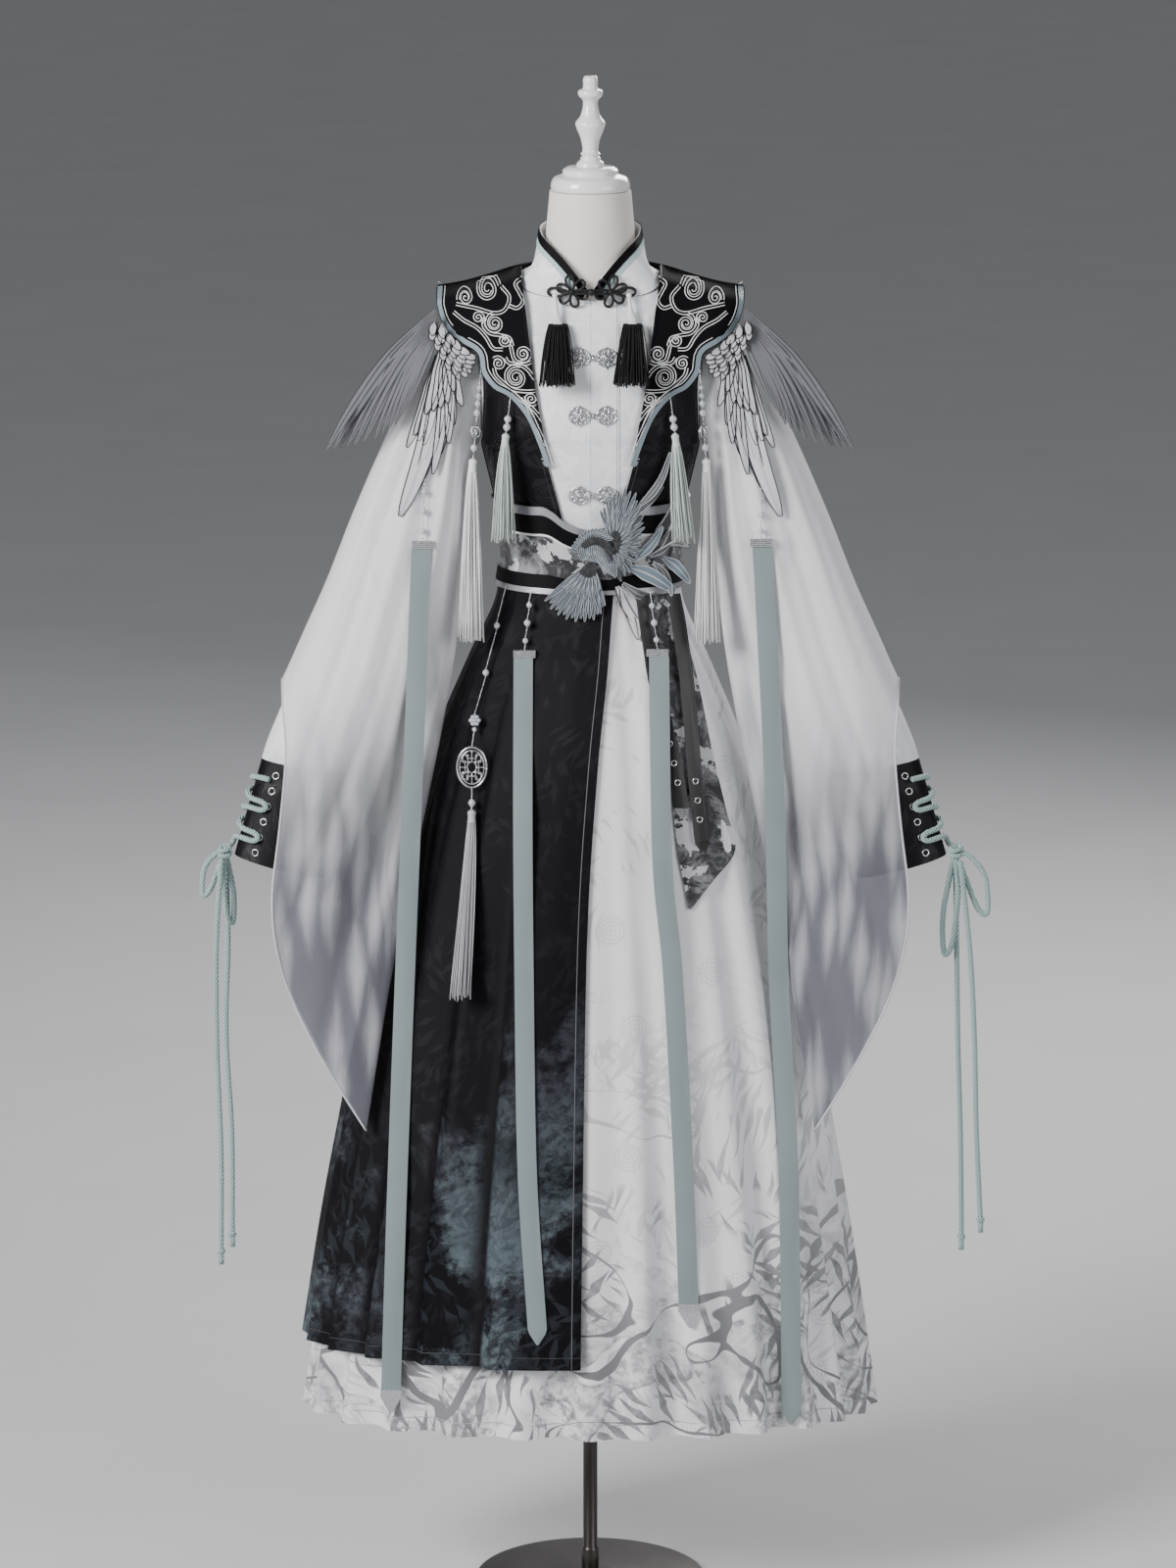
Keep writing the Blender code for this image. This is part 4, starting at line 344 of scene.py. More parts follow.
def signed_power(value, power):
    return math.copysign(abs(value) ** power, value)


def body_power(height):
    """The form's section is squarer at the chest and round at the neck."""
    return BODY_POWER + (1.0 - BODY_POWER) * float(smoothstep(1.704, 1.735, height))


def body_point(angle, height, out):
    """A point outside the form; angle 0 is the front, 90 degrees the picture's right."""
    half, front, back = table_row(BODY, height)
    depth = front if math.cos(angle) > 0 else back
    x = (half + out) * signed_power(math.sin(angle), body_power(height))
    y = -(depth + out) * signed_power(math.cos(angle), body_power(height))
    lift = out * float(smoothstep(*SHOULDER_BEND, height))
    return np.array((x, y, height + lift))


def body_angle_at_x(x, height, out):
    half = table_row(BODY, height)[0] + out
    return math.asin(min(1.0, abs(x) / half) ** (1.0 / body_power(height))) * (1 if x > 0 else -1)


def body_angle_at_depth(depth, height, out, behind):
    """The angle from the centre line at which the surface is this far from the shoulder line."""
    full = table_row(BODY, height)[2 if behind else 1] + out
    return math.acos(min(1.0, abs(depth) / full) ** (1.0 / body_power(height)))


def skirt_power(height):
    """The skirt's section is the form's near the waist and an ellipse lower down."""
    return BODY_POWER + (1.0 - BODY_POWER) * (1.0 - float(smoothstep(1.00, 1.22, height)))


def skirt_point(angle, height, out):
    half, front, back = table_row(SKIRT, height)
    depth = front if math.cos(angle) > 0 else back
    power = skirt_power(height)
    return np.array((
        (half + out) * signed_power(math.sin(angle), power),
        -(depth + out) * signed_power(math.cos(angle), power),
        height,
    ))


BASE_RADIUS = 0.150
POLE_RADIUS = 0.0093
CHEST_EASE = 0.0034
BACK_EASE = 0.0011
# Radius and height of each turned stretch, from below
CAP_PROFILE = ((0.0470, 0.0000), (0.0492, 0.0030), (0.0488, 0.0090), (0.0450, 0.0160),
               (0.0352, 0.0200), (0.0346, 0.0250), (0.0290, 0.0290))
FINIAL_PROFILE = ((0.0176, 0.0000), (0.0165, 0.0050), (0.0125, 0.0085), (0.0128, 0.0110),
                  (0.0100, 0.0130), (0.0126, 0.0160), (0.0098, 0.0200), (0.0120, 0.0340),
                  (0.0168, 0.0460), (0.0186, 0.0540), (0.0120, 0.0640), (0.0092, 0.0800),
                  (0.0150, 0.0880), (0.0148, 0.0940), (0.0094, 0.0970), (0.0092, 0.1080),
                  (0.0070, 0.1120))

PANEL_HEIGHTS = (
    1.335, 1.365, 1.420, 1.480, 1.498, 1.504, 1.512, 1.530, 1.580, 1.630, 1.660, 1.676, 1.690, 1.704,
    1.718, 1.7252,
)
SQUEEZE_FROM = 1.630
# The neck seam: angle from the front in degrees, height
NECK_SEAM = np.array([(0, 1.684), (25, 1.689), (50, 1.702), (70, 1.7165), (90, 1.7250), (180, 1.7252)])
# The V of the vest's fronts: height, distance from the centre line
VEST_EDGE = np.array([(1.34, 0.024), (1.42, 0.036), (1.450, 0.044), (1.488, 0.0535), (1.536, 0.0600),
                      (1.582, 0.0685), (1.620, 0.0745), (1.666, 0.0800), (1.722, 0.0865)])
# The vest's level top edge, in the same way
VEST_SEAM = np.array([(0, VEST_TOP), (180, VEST_TOP)])


def seam_height(seam, angle):
    turn = abs(math.degrees(angle)) % 360.0
    return read(seam, min(turn, 360.0 - turn), 1)


def armhole_depth(height, armhole):
    """How far the armhole's edge lies in front of or behind the shoulder line at this height."""
    centre, half_height, half_depth = armhole
    rise = (height - centre) / half_height
    return half_depth * math.sqrt(max(0.0, 1.0 - rise * rise))


def side_edge_angle(height, out, armhole, behind):
    """The angle from the front or back centre line out to the armhole or the side seam."""
    depth = armhole_depth(height, armhole)
    seam = SIDE_ANGLE - SEAM / 0.15
    if depth <= 0.0:
        return seam
    return min(seam, body_angle_at_depth(depth, height, out, behind))


def body_panel(name, angles, heights, seam, outs, finish, columns):
    """A panel on the form. angles(height, out) gives its two edges as angles, seam the height of its top."""
    layers = []
    span = heights[-1] - SQUEEZE_FROM
    for out in outs:
        grid = []
        for nominal in heights:
            row = []
            for column in range(columns):
                share = column / (columns - 1)
                height = nominal
                for _ in range(3):
                    low, high = angles(height, out)
                    angle = low + (high - low) * share
                    if nominal > SQUEEZE_FROM:
                        squeeze = (seam_height(seam, angle) - SQUEEZE_FROM) / span
                        height = SQUEEZE_FROM + (nominal - SQUEEZE_FROM) * squeeze
                row.append(body_point(angle, height, out))
            grid.append(row)
        layers.append(grid)
    wall(name, *layers, finish)


def back_angles(armhole):
    def angles(height, out):
        reach = side_edge_angle(height, out, armhole, True)
        return math.pi - reach, math.pi + reach
    return angles


def build_shirt():
    outs = (SHIRT_OUT, SHIRT_IN)
    for side, label in SIDES:
        def front_angles(height, out, side=side):
            start = body_angle_at_x(0.5 * SEAM, height, out)
            return side * start, side * side_edge_angle(height, out, ARMHOLE, False)
        body_panel(f"shirt_front_{label}", front_angles, PANEL_HEIGHTS, NECK_SEAM, outs, WHITE_SATIN, 7)
    body_panel("shirt_back", back_angles(ARMHOLE), PANEL_HEIGHTS, NECK_SEAM, outs, WHITE_SATIN, 11)


def build_vest():
    heights = (VEST_BOTTOM, *PANEL_HEIGHTS[1:-3], VEST_TOP)
    outs = (VEST_OUT, VEST_IN)
    for side, label in SIDES:
        def front_angles(height, out, side=side):
            edge = side_edge_angle(height, out, VEST_ARMHOLE, False)
            start = min(body_angle_at_x(read(VEST_EDGE, height, 1), height, out), edge - VEST_LEAST_ANGLE)
            return side * start, side * edge
        body_panel(f"vest_front_{label}", front_angles, heights, VEST_SEAM, outs, BLACK_SATIN, 7)
    outs = (VEST_OUT + VEST_BACK_EASE, VEST_IN + VEST_BACK_EASE)
    body_panel("vest_back", back_angles(VEST_ARMHOLE), heights, VEST_SEAM, outs, BLACK_SATIN, 11)


# Stand collar and the cloud-shaped shoulder collar

# The stand collar: angle from the front in degrees; heights of the stand collar's foot and top
STAND_COLLAR = np.array([
    (3, 1.6846, 1.7010), (14, 1.6870, 1.7180), (30, 1.6925, 1.7370), (50, 1.7030, 1.7520),
    (70, 1.7175, 1.7620), (90, 1.7258, 1.7690), (108, 1.7260, 1.7720), (126, 1.7260, 1.7745),
    (144, 1.7260, 1.7765), (162, 1.7260, 1.7775), (180, 1.7260, 1.7780),
])
COLLAR_TOP_HALF, COLLAR_TOP_FRONT, COLLAR_TOP_BACK = 0.0615, 0.0610, 0.0600
COLLAR_WALL = 0.0018
COLLAR_SLOPE = 6.0
COLLAR_FOOT_OUT = 0.0044
# Inner and outer edge of the shoulder collar's front: x and height of each, on one side.
# A height of 0 stands for the shoulder line.
CLOUD_FRONT = np.array([
    (0.0860, 0.0, 0.1915, 0.0),
    (0.0856, 1.7125, 0.1908, 1.682),
    (0.0850, 1.703, 0.1895, 1.673),
    (0.0830, 1.690, 0.1855, 1.660),
    (0.0805, 1.676, 0.1800, 1.650),
    (0.0785, 1.660, 0.1720, 1.641),
    (0.0768, 1.645, 0.1590, 1.6325),
    (0.0748, 1.630, 0.1400, 1.6210),
    (0.0718, 1.605, 0.1350, 1.5980),
    (0.0682, 1.580, 0.1200, 1.5790),
    (0.0640, 1.556, 0.1000, 1.5690),
    (0.0592, 1.530, 0.0790, 1.5450),
    (0.0556, 1.506, 0.0650, 1.5120),
    (0.0535, 1.486, 0.0560, 1.4850),
])
CAPE_COLUMNS = 6
BACK_CAPE_COLUMNS = 13
BACK_CAPE_EASE = 0.0026
BACK_CAPE_SHARES = (0.0, 0.08, 0.18, 0.32, 0.60, 1.0)
BACK_CAPE_HALF, BACK_CAPE_LOW, BACK_NECKLINE = 0.1905, 1.592, 1.7200
# The shoulder collar's own level sections where it stands off the shoulders
CAPE = np.array([
    (1.560, 0.1700, 0.1120, 0.0990),
    (1.600, 0.1800, 0.1060, 0.0980),
    (1.630, 0.1880, 0.0950, 0.0940),
    (1.655, 0.1930, 0.0820, 0.0840),
    (1.672, 0.1950, 0.0700, 0.0720),
    (1.684, 0.1935, 0.0640, 0.0660),
    (1.700, 0.1480, 0.0630, 0.0640),
    (1.7135, 0.1080, 0.0610, 0.0620),
])
CAPE_BLEND = (0.095, 0.165)
RIDGE = np.array([(0.080, 1.7150), (0.1080, 1.7050), (0.1480, 1.6935), (0.1700, 1.6880), (0.1950, 1.6850)])


def cape_point(x, height, out, behind=False):
    """A point of the shoulder collar: on the vest near the neck, standing off at the shoulder."""
    ridge = read(RIDGE, abs(x), 1) + out
    if height <= 0.0 or height > ridge - 0.0008:
        return np.array((x, (SEAM if behind else -SEAM), ridge))
    half, front, back = table_row(CAPE, height)
    depth = back if behind else front
    share = min(1.0, abs(x) / (half + out)) ** (2.0 / BODY_POWER)
    stood_off = (depth + out) * (1.0 - share) ** (BODY_POWER / 2.0)
    lift = out * float(smoothstep(*SHOULDER_BEND, height))
    body_half, body_front, body_back = table_row(BODY, height - lift)
    body_depth = body_back if behind else body_front
    share = min(1.0, abs(x) / (body_half + out)) ** (2.0 / BODY_POWER)
    close = (body_depth + out) * (1.0 - share) ** (BODY_POWER / 2.0)
    blend = float(smoothstep(*CAPE_BLEND, abs(x)))
    far = max(close, (1.0 - blend) * close + blend * stood_off, 2.0 * SEAM)
    return np.array((x, far if behind else -far, height))


def moved_towards(outer, distance, inside):
    """The grid moved along its own normals, towards the side on which the inside point lies."""
    outer = np.asarray(outer, float)
    normal = np.cross(np.gradient(outer, axis=1), np.gradient(outer, axis=0))
    normal /= np.maximum(np.linalg.norm(normal, axis=2, keepdims=True), 1e-9)
    if np.sum(normal * (outer - np.asarray(inside))) < 0.0:
        normal = -normal
    return outer - distance * normal


def tube_moved_in(outer, distance):
    """A grid that closes on itself around, moved towards the middle of each of its rows."""
    outer = np.asarray(outer, float)
    along = np.roll(outer, -1, axis=1) - np.roll(outer, 1, axis=1)
    normal = np.cross(along, np.gradient(outer, axis=0))
    normal /= np.maximum(np.linalg.norm(normal, axis=2, keepdims=True), 1e-9)
    if np.sum(normal * (outer - outer.mean(axis=1, keepdims=True))) < 0.0:
        normal = -normal
    return outer - distance * normal


def build_collars():
    half = []
    for degrees, foot, top in STAND_COLLAR:
        half.append((math.radians(degrees), foot, top))
    columns = half + [(math.tau - angle, foot, top) for angle, foot, top in reversed(half[:-1])]
    outer = []
    for share in (0.0, 0.5, 1.0):
        row = []
        for angle, foot, top in columns:
            low = body_point(angle, foot, COLLAR_FOOT_OUT)
            low[2] = foot + 2.0 * SEAM + SHIRT_OUT
            depth = COLLAR_TOP_FRONT if math.cos(angle) > 0 else COLLAR_TOP_BACK
            drop = (STAND_COLLAR[-1, 2] - top) / COLLAR_SLOPE
            high = np.array((
                (COLLAR_TOP_HALF + drop) * math.sin(angle),
                -(depth + drop) * math.cos(angle),
                top,
            ))
            row.append(low + (high - low) * share)
        outer.append(row)
    wall("stand_collar", outer, moved_towards(outer, COLLAR_WALL, (0.0, 0.0, 1.74)), WHITE_SATIN)

    for side, label in SIDES:
        grid = []
        for inner_x, inner_z, outer_x, outer_z in CLOUD_FRONT:
            row = []
            for column in range(CAPE_COLUMNS):
                share = column / (CAPE_COLUMNS - 1)
                x = inner_x + (outer_x - inner_x) * share
                height = inner_z + (outer_z - inner_z) * share
                row.append(cape_point(side * x, height, CAPE_OUT))
            grid.append(row)
        inner = moved_towards(grid, CAPE_OUT - CAPE_IN, (0.0, 0.0, 1.55))
        inner[..., 1] = np.minimum(inner[..., 1], -SEAM)
        wall(f"cloud_collar_{label}", grid, inner, BLACK_VELVET)

    grid = []
    for share in BACK_CAPE_SHARES:
        row = []
        for column in range(BACK_CAPE_COLUMNS):
            x = BACK_CAPE_HALF * (2.0 * column / (BACK_CAPE_COLUMNS - 1) - 1.0)
            ridge = read(RIDGE, abs(x), 1) + CAPE_OUT
            top = min(ridge, BACK_NECKLINE)
            low = BACK_CAPE_LOW + (ridge - 0.004 - BACK_CAPE_LOW) * (abs(x) / BACK_CAPE_HALF) ** 3
            at_ridge = share == 0.0 and ridge <= BACK_NECKLINE
            height = 0.0 if at_ridge else top + (low - top) * share
            row.append(cape_point(x, height, CAPE_OUT + BACK_CAPE_EASE, behind=True))
        grid.append(row)
    inner = moved_towards(grid, CAPE_OUT - CAPE_IN, (0.0, 0.0, 1.55))
    inner[..., 1] = np.maximum(inner[..., 1], SEAM)
    wall("cloud_collar_back", grid, inner, BLACK_VELVET)


# Belt

# Angle from the front in degrees, height of the belt's top edge
BELT_EDGE = np.array([(0, 1.404), (8, 1.406), (24, 1.431), (60, 1.433), (180, 1.433)])
BELT_COLUMNS = 30


def build_belt():
    layers = []
    for out in (BELT_OUT, BELT_IN):
        grid = []
        for share in (0.0, 0.42, 1.0):
            row = []
            for column in range(BELT_COLUMNS):
                angle = math.tau * column / BELT_COLUMNS
                turn = math.degrees(min(angle, math.tau - angle))
                top = read(BELT_EDGE, turn, 1)
                row.append(body_point(angle, BELT_BOTTOM + (top - BELT_BOTTOM) * share, out))
            grid.append(row)
        layers.append(grid)
    wall("belt", *layers, BROCADE, around=True)


# Skirts

SKIRT_HEIGHTS = (1.3215, 1.290, 1.220, 1.100, 0.900, 0.560)
HEM_LIFT = 0.014
# Valleys of the white skirt's soft folds: angle from the front in degrees, share of the full depth
FRONT_FOLDS = ((-82, 0.8), (-66, 1.0), (-50, 0.7), (-35, 0.9), (-20, 0.6), (-7, 0.8),
               (6, 0.5), (17, 1.0), (30, 0.7), (42, 1.0), (55, 0.6), (67, 0.9), (80, 0.7))
BACK_FOLDS = ((101, 0.8), (118, 1.0), (135, 0.7), (152, 0.9), (170, 0.8),
              (188, 1.0), (206, 0.7), (224, 1.0), (242, 0.8), (258, 0.9))
FOLD_DEPTH = 0.024
# The black overskirt's front edge: height, distance from the centre line
OVERSKIRT_EDGE = np.array([
    (0.338, -0.0120), (0.750, -0.0075), (0.977, -0.0020), (1.220, 0.0160), (1.3215, 0.0240),
])
# Knife pleats of the overskirt: angle of each pleat's front fold, in degrees
PLEAT_FOLDS = (-20, -35, -50, -64, -78, -92, -106, -120, -134, -148, -163)
PLEAT_RETURN = 3.2
PLEAT_DEPTH = 0.013
OVERSKIRT_END = -178.5
OVERSKIRT_IN, OVERSKIRT_OUT = 0.0014, 0.0028


def fall(height, top, hem):
    """0 at the waist and 1 at the hem."""
    return min(1.0, max(0.0, (top - height) / (top - hem)))


def skirt_grid(columns, heights, hem, out_of):
    """Rows from the waist to the hem; columns are (angle in degrees, share of the fold)."""
    grid = []
    for height in (*heights, hem):
        row = []
        for degrees, share in columns:
            angle = math.radians(degrees)
            point = skirt_point(angle, height, out_of(height, share))
            if height == hem:
                point[2] += HEM_LIFT * max(0.0, math.cos(angle))
            row.append(point)
        grid.append(row)
    return grid


def fold_columns(folds, first, last):
    """Crests midway between the valleys, with the panel's two edges."""
    columns = [(first, 0.0)]
    for (degrees, share), (after, _) in zip(folds, folds[1:]):
        columns += [(degrees, share), (0.5 * (degrees + after), 0.0)]
    return [*columns, folds[-1], (last, 0.0)]


def build_white_skirt():
    edge = math.degrees(SEAM / 0.2)
    for name, columns in (
        ("white_skirt_front", fold_columns(FRONT_FOLDS, -90.0 + edge, 90.0 - edge)),
        ("white_skirt_back", fold_columns(BACK_FOLDS, 90.0 + edge, 270.0 - edge)),
    ):
        layers = []
        for out in (0.0, -WHITE_SKIRT_WALL):
            def out_of(height, share, out=out):
                return out - FOLD_DEPTH * share * fall(height, WAIST_SEAM, WHITE_HEM) ** 1.3
            layers.append(skirt_grid(columns, SKIRT_HEIGHTS, WHITE_HEM, out_of))
        wall(name, *layers, WHITE_PRINT)


def build_overskirt():
    layers = []
    for out in (OVERSKIRT_OUT, OVERSKIRT_IN):
        grid = []
        for height in (*SKIRT_HEIGHTS, BLACK_HEM):
            depth = PLEAT_DEPTH * fall(height, WAIST_SEAM, BLACK_HEM) ** 0.8
            start = math.degrees(math.asin(read(OVERSKIRT_EDGE, height, 1) / table_row(SKIRT, height)[0]))
            columns = [(start, 0.35), (0.5 * (start + PLEAT_FOLDS[0]) + 1.0, 0.6)]
            for fold in PLEAT_FOLDS:
                columns += [(fold, 1.0), (fold - PLEAT_RETURN, 0.0)]
            columns.append((OVERSKIRT_END, 0.6))
            row = []
            for degrees, share in columns:
                angle = math.radians(degrees)
                point = skirt_point(angle, height, out + depth * share)
                if height == BLACK_HEM:
                    point[2] += HEM_LIFT * max(0.0, math.cos(angle))
                row.append(point)
            grid.append(row)
        layers.append(grid)
    wall("black_overskirt", *layers, BLACK_PRINT)


# Sleeves and cuffs, on one side

# Depth of the sleeves' middle plane: height, y. Sleeves hang a little forward, clear of the skirts.
SLEEVE_PLANE = np.array([(0.60, -0.112), (0.75, -0.106), (0.92, -0.099), (1.10, -0.066), (1.25, -0.042),
                         (1.40, -0.022), (1.60, -0.004), (1.70, 0.0)])
# The arm sleeve's sections: outer edge x and height, inner edge x and height, half depth
ARM_SLEEVE = np.array([
    (0.1900, 1.6240, 0.1570, 1.4860, 0.0500),
    (0.2200, 1.5640, 0.1570, 1.4480, 0.0500),
    (0.2600, 1.4840, 0.1660, 1.3980, 0.0500),
    (0.3120, 1.3640, 0.1900, 1.3150, 0.0480),
    (0.3620, 1.2340, 0.2380, 1.1850, 0.0460),
    (0.4010, 1.1420, 0.2860, 1.1090, 0.0400),
    (0.4118, 1.1104, 0.3045, 1.0944, 0.0290),
])
ARM_COLUMNS = 14
GATHER_DEPTH = 0.005
# The cuff: outer edge x and height, inner edge x and height, half depth
CUFF = np.array([
    (0.4118, 1.1100, 0.3045, 1.0940, 0.0290),
    (0.4290, 1.0510, 0.3190, 1.0290, 0.0290),
    (0.4462, 0.9920, 0.3340, 0.9620, 0.0290),
])
CUFF_COLUMNS = 18
CUFF_WALL = 0.0024
# The hanging sleeve: top x and height, bottom x and height, half depth over the arm, share of the
# section that the arm fills, half depth of the hanging part
OVERLAY = np.array([
    (0.1960, 1.6290, 0.1500, 1.4640, 0.0560, 1.00, 0.012),
    (0.2230, 1.5740, 0.1560, 1.3700, 0.0570, 0.98, 0.012),
    (0.2560, 1.5070, 0.1650, 1.2700, 0.0570, 0.88, 0.013),
    (0.2960, 1.4160, 0.1830, 1.1600, 0.0560, 0.78, 0.014),
    (0.3300, 1.3310, 0.2060, 1.0480, 0.0550, 0.74, 0.014),
    (0.3590, 1.2670, 0.2300, 0.9350, 0.0540, 0.74, 0.014),
    (0.3770, 1.2270, 0.2540, 0.8150, 0.0500, 0.80, 0.013),
    (0.3860, 1.2080, 0.2830, 0.6380, 0.0440, 0.62, 0.010),
])
# The hanging sleeve's hem at the wrist: share of the way down, x, height
OVERLAY_HEM = np.array([
    (0.0, 0.3860, 1.2080), (0.14, 0.3800, 1.1200), (0.30, 0.3900, 1.0050), (0.42, 0.3985, 0.9400),
    (0.55, 0.3930, 0.8800), (0.68, 0.3770, 0.8150), (0.80, 0.3520, 0.7600), (0.91, 0.3200, 0.7000),
    (1.0, 0.2830, 0.6380),
])
OVERLAY_SHARES = (0.0, 0.05, 0.14, 0.26, 0.40, 0.54, 0.68, 0.81, 0.92, 1.0)
# Once round a ring: down the front layer and up the back one
OVERLAY_ROUND = (*OVERLAY_SHARES, *OVERLAY_SHARES[-2:0:-1])
RIPPLE_DEPTH = 0.005
OVERLAY_POWER = 2.6
HEM_PULL_FROM = 3
OVERLAY_HEAD_EASE = 0.0018
ARM_HEAD_EASE = 0.0026


def sleeve_plane(height):
    return read(SLEEVE_PLANE, height, 1)


def oval_row(side, section, columns, gather=0.0):
    """One ring of an arm sleeve or cuff; its first point is on the outer edge."""
    outer_x, outer_z, inner_x, inner_z, half_depth = section
    row = []
    for column in range(columns):
        turn = math.tau * column / columns
        along = 0.5 * (1.0 - math.cos(turn))
        deep = half_depth + (gather if column % 2 else 0.0)
        height = outer_z + (inner_z - outer_z) * along
        row.append((
            side * (outer_x + (inner_x - outer_x) * along),
            sleeve_plane(0.5 * (outer_z + inner_z)) - deep * math.sin(turn),
            height,
        ))
    return row


def beside_armhole(side, depth, height, out):
    """A point just off the shirt's side, this far before the shoulder line."""
    angle = SIDE_ANGLE
    if abs(depth) > SEAM:
        angle = body_angle_at_depth(depth, height, SHIRT_OUT, depth < 0.0)
    x = abs(body_point(angle, height, SHIRT_OUT)[0]) + out
    return side * x, -depth, height


def arm_head(side):
    """The arm sleeve's edge at the armhole."""
    row = []
    for column in range(ARM_COLUMNS):
        turn = math.tau * column / ARM_COLUMNS
        height = ARMHOLE[0] + (ARMHOLE[1] - ARM_HEAD_EASE) * math.cos(turn)
        depth = (ARMHOLE[2] - ARM_HEAD_EASE) * math.sin(turn)
        row.append(beside_armhole(side, depth, height, 2.0 * SEAM))
    return row


def overlay_head(side):
    """The hanging sleeve's edge at the armhole, with its points matched to the first ring's."""
    row = []
    for order, share in enumerate(OVERLAY_ROUND):
        way = 1.0 if order < len(OVERLAY_SHARES) else -1.0
        depth = (ARMHOLE[2] + OVERLAY_HEAD_EASE) * math.sin(math.acos(1.0 - 2.0 * share)) * way
        height = ARMHOLE[0] + (ARMHOLE[1] + OVERLAY_HEAD_EASE) * (1.0 - 2.0 * share)
        row.append(beside_armhole(side, depth, height, 8.0 * SEAM))
    return row


def overlay_rows(side):
    """The hanging sleeve's rings from the armhole to the wrist hem, front layer first."""
    rows = []
    last = len(OVERLAY) - 1
    for index, section in enumerate(OVERLAY):
        top_x, top_z, low_x, low_z, arm_depth, arm_share, thin = section
        pull = max(0.0, (index - HEM_PULL_FROM) / (last - HEM_PULL_FROM)) ** 2
        row = []
        for order, share in enumerate(OVERLAY_ROUND):
            x = top_x + (low_x - top_x) * share
            height = top_z + (low_z - top_z) * share
            straight_x = OVERLAY[last, 0] + (OVERLAY[last, 2] - OVERLAY[last, 0]) * share
            straight_z = OVERLAY[last, 1] + (OVERLAY[last, 3] - OVERLAY[last, 1]) * share
            x += pull * (read(OVERLAY_HEM, share, 1) - straight_x)
            height += pull * (read(OVERLAY_HEM, share, 2) - straight_z)
            flat = thin * (1.0 - abs(2.0 * share - 1.0) ** 6)
            rise = share / arm_share * 2.0 - 1.0
            arm = arm_depth * max(0.0, 1.0 - abs(rise) ** OVERLAY_POWER) ** (1.0 / OVERLAY_POWER)
            deep = max(flat, arm)
            if index > 0 and arm < flat:
                deep += RIPPLE_DEPTH * (order % 2) * min(1.0, 2.0 * (1.0 - share)) * index / last
            way = -1.0 if order < len(OVERLAY_SHARES) else 1.0
            row.append((side * x, sleeve_plane(height) + way * deep, height))
        rows.append(row)
    return rows


def build_sleeves():
    for side, label in SIDES:
        rows = [arm_head(side)]
        last = len(ARM_SLEEVE) - 1
        for index, section in enumerate(ARM_SLEEVE):
            gather = GATHER_DEPTH * (index / last) ** 2 if index < last else 0.0
            rows.append(oval_row(side, section, ARM_COLUMNS, gather))
        wall(f"arm_sleeve_{label}", rows, tube_moved_in(rows, SLEEVE_WALL), WHITE_SATIN, around=True)

        rows = [oval_row(side, section, CUFF_COLUMNS) for section in CUFF]
        wall(f"cuff_{label}", rows, tube_moved_in(rows, CUFF_WALL), BLACK_SATIN, around=True)

        rows = [overlay_head(side), *overlay_rows(side)]
        wall(f"overlay_sleeve_{label}", rows, tube_moved_in(rows, OVERLAY_WALL), CHIFFON, around=True)


# The finishes

def satin(name, colour, dark, roughness, motif, sheen, gloss):
    """A woven satin with leaf sprays and medallions that show by their gloss."""
    made = Finish(name, colour, roughness, Sheen_Weight=sheen, Sheen_Roughness=0.45, Specular_IOR_Level=gloss)
    cloth = made.cloth_place()
    leaves = made.sprays(cloth, (0.017, 0.058), 0.34, 9.0, 4.0)
    rounds = made.medallions(cloth, 0.115, 0.15, 2.0)
    figure = made.most(leaves, rounds)
    cloudy = made.noise(cloth, 14.0, 3.0)
    plain = made.blend(cloudy, dark, colour)
    light = tuple(min(1.0, 1.25 * part + 0.02) for part in colour)
    made.colour(made.blend(made.product(figure, motif), plain, light))
    made.rough(made.multiply_add(figure, -0.16, roughness + 0.05))
    threads = made.weave(made.part(cloth, 0), made.part(cloth, 1), 0.0009)
    made.bump(made.multiply_add(threads, 0.5, made.product(figure, 0.8)), 0.00025, 0.6)
    return made.made


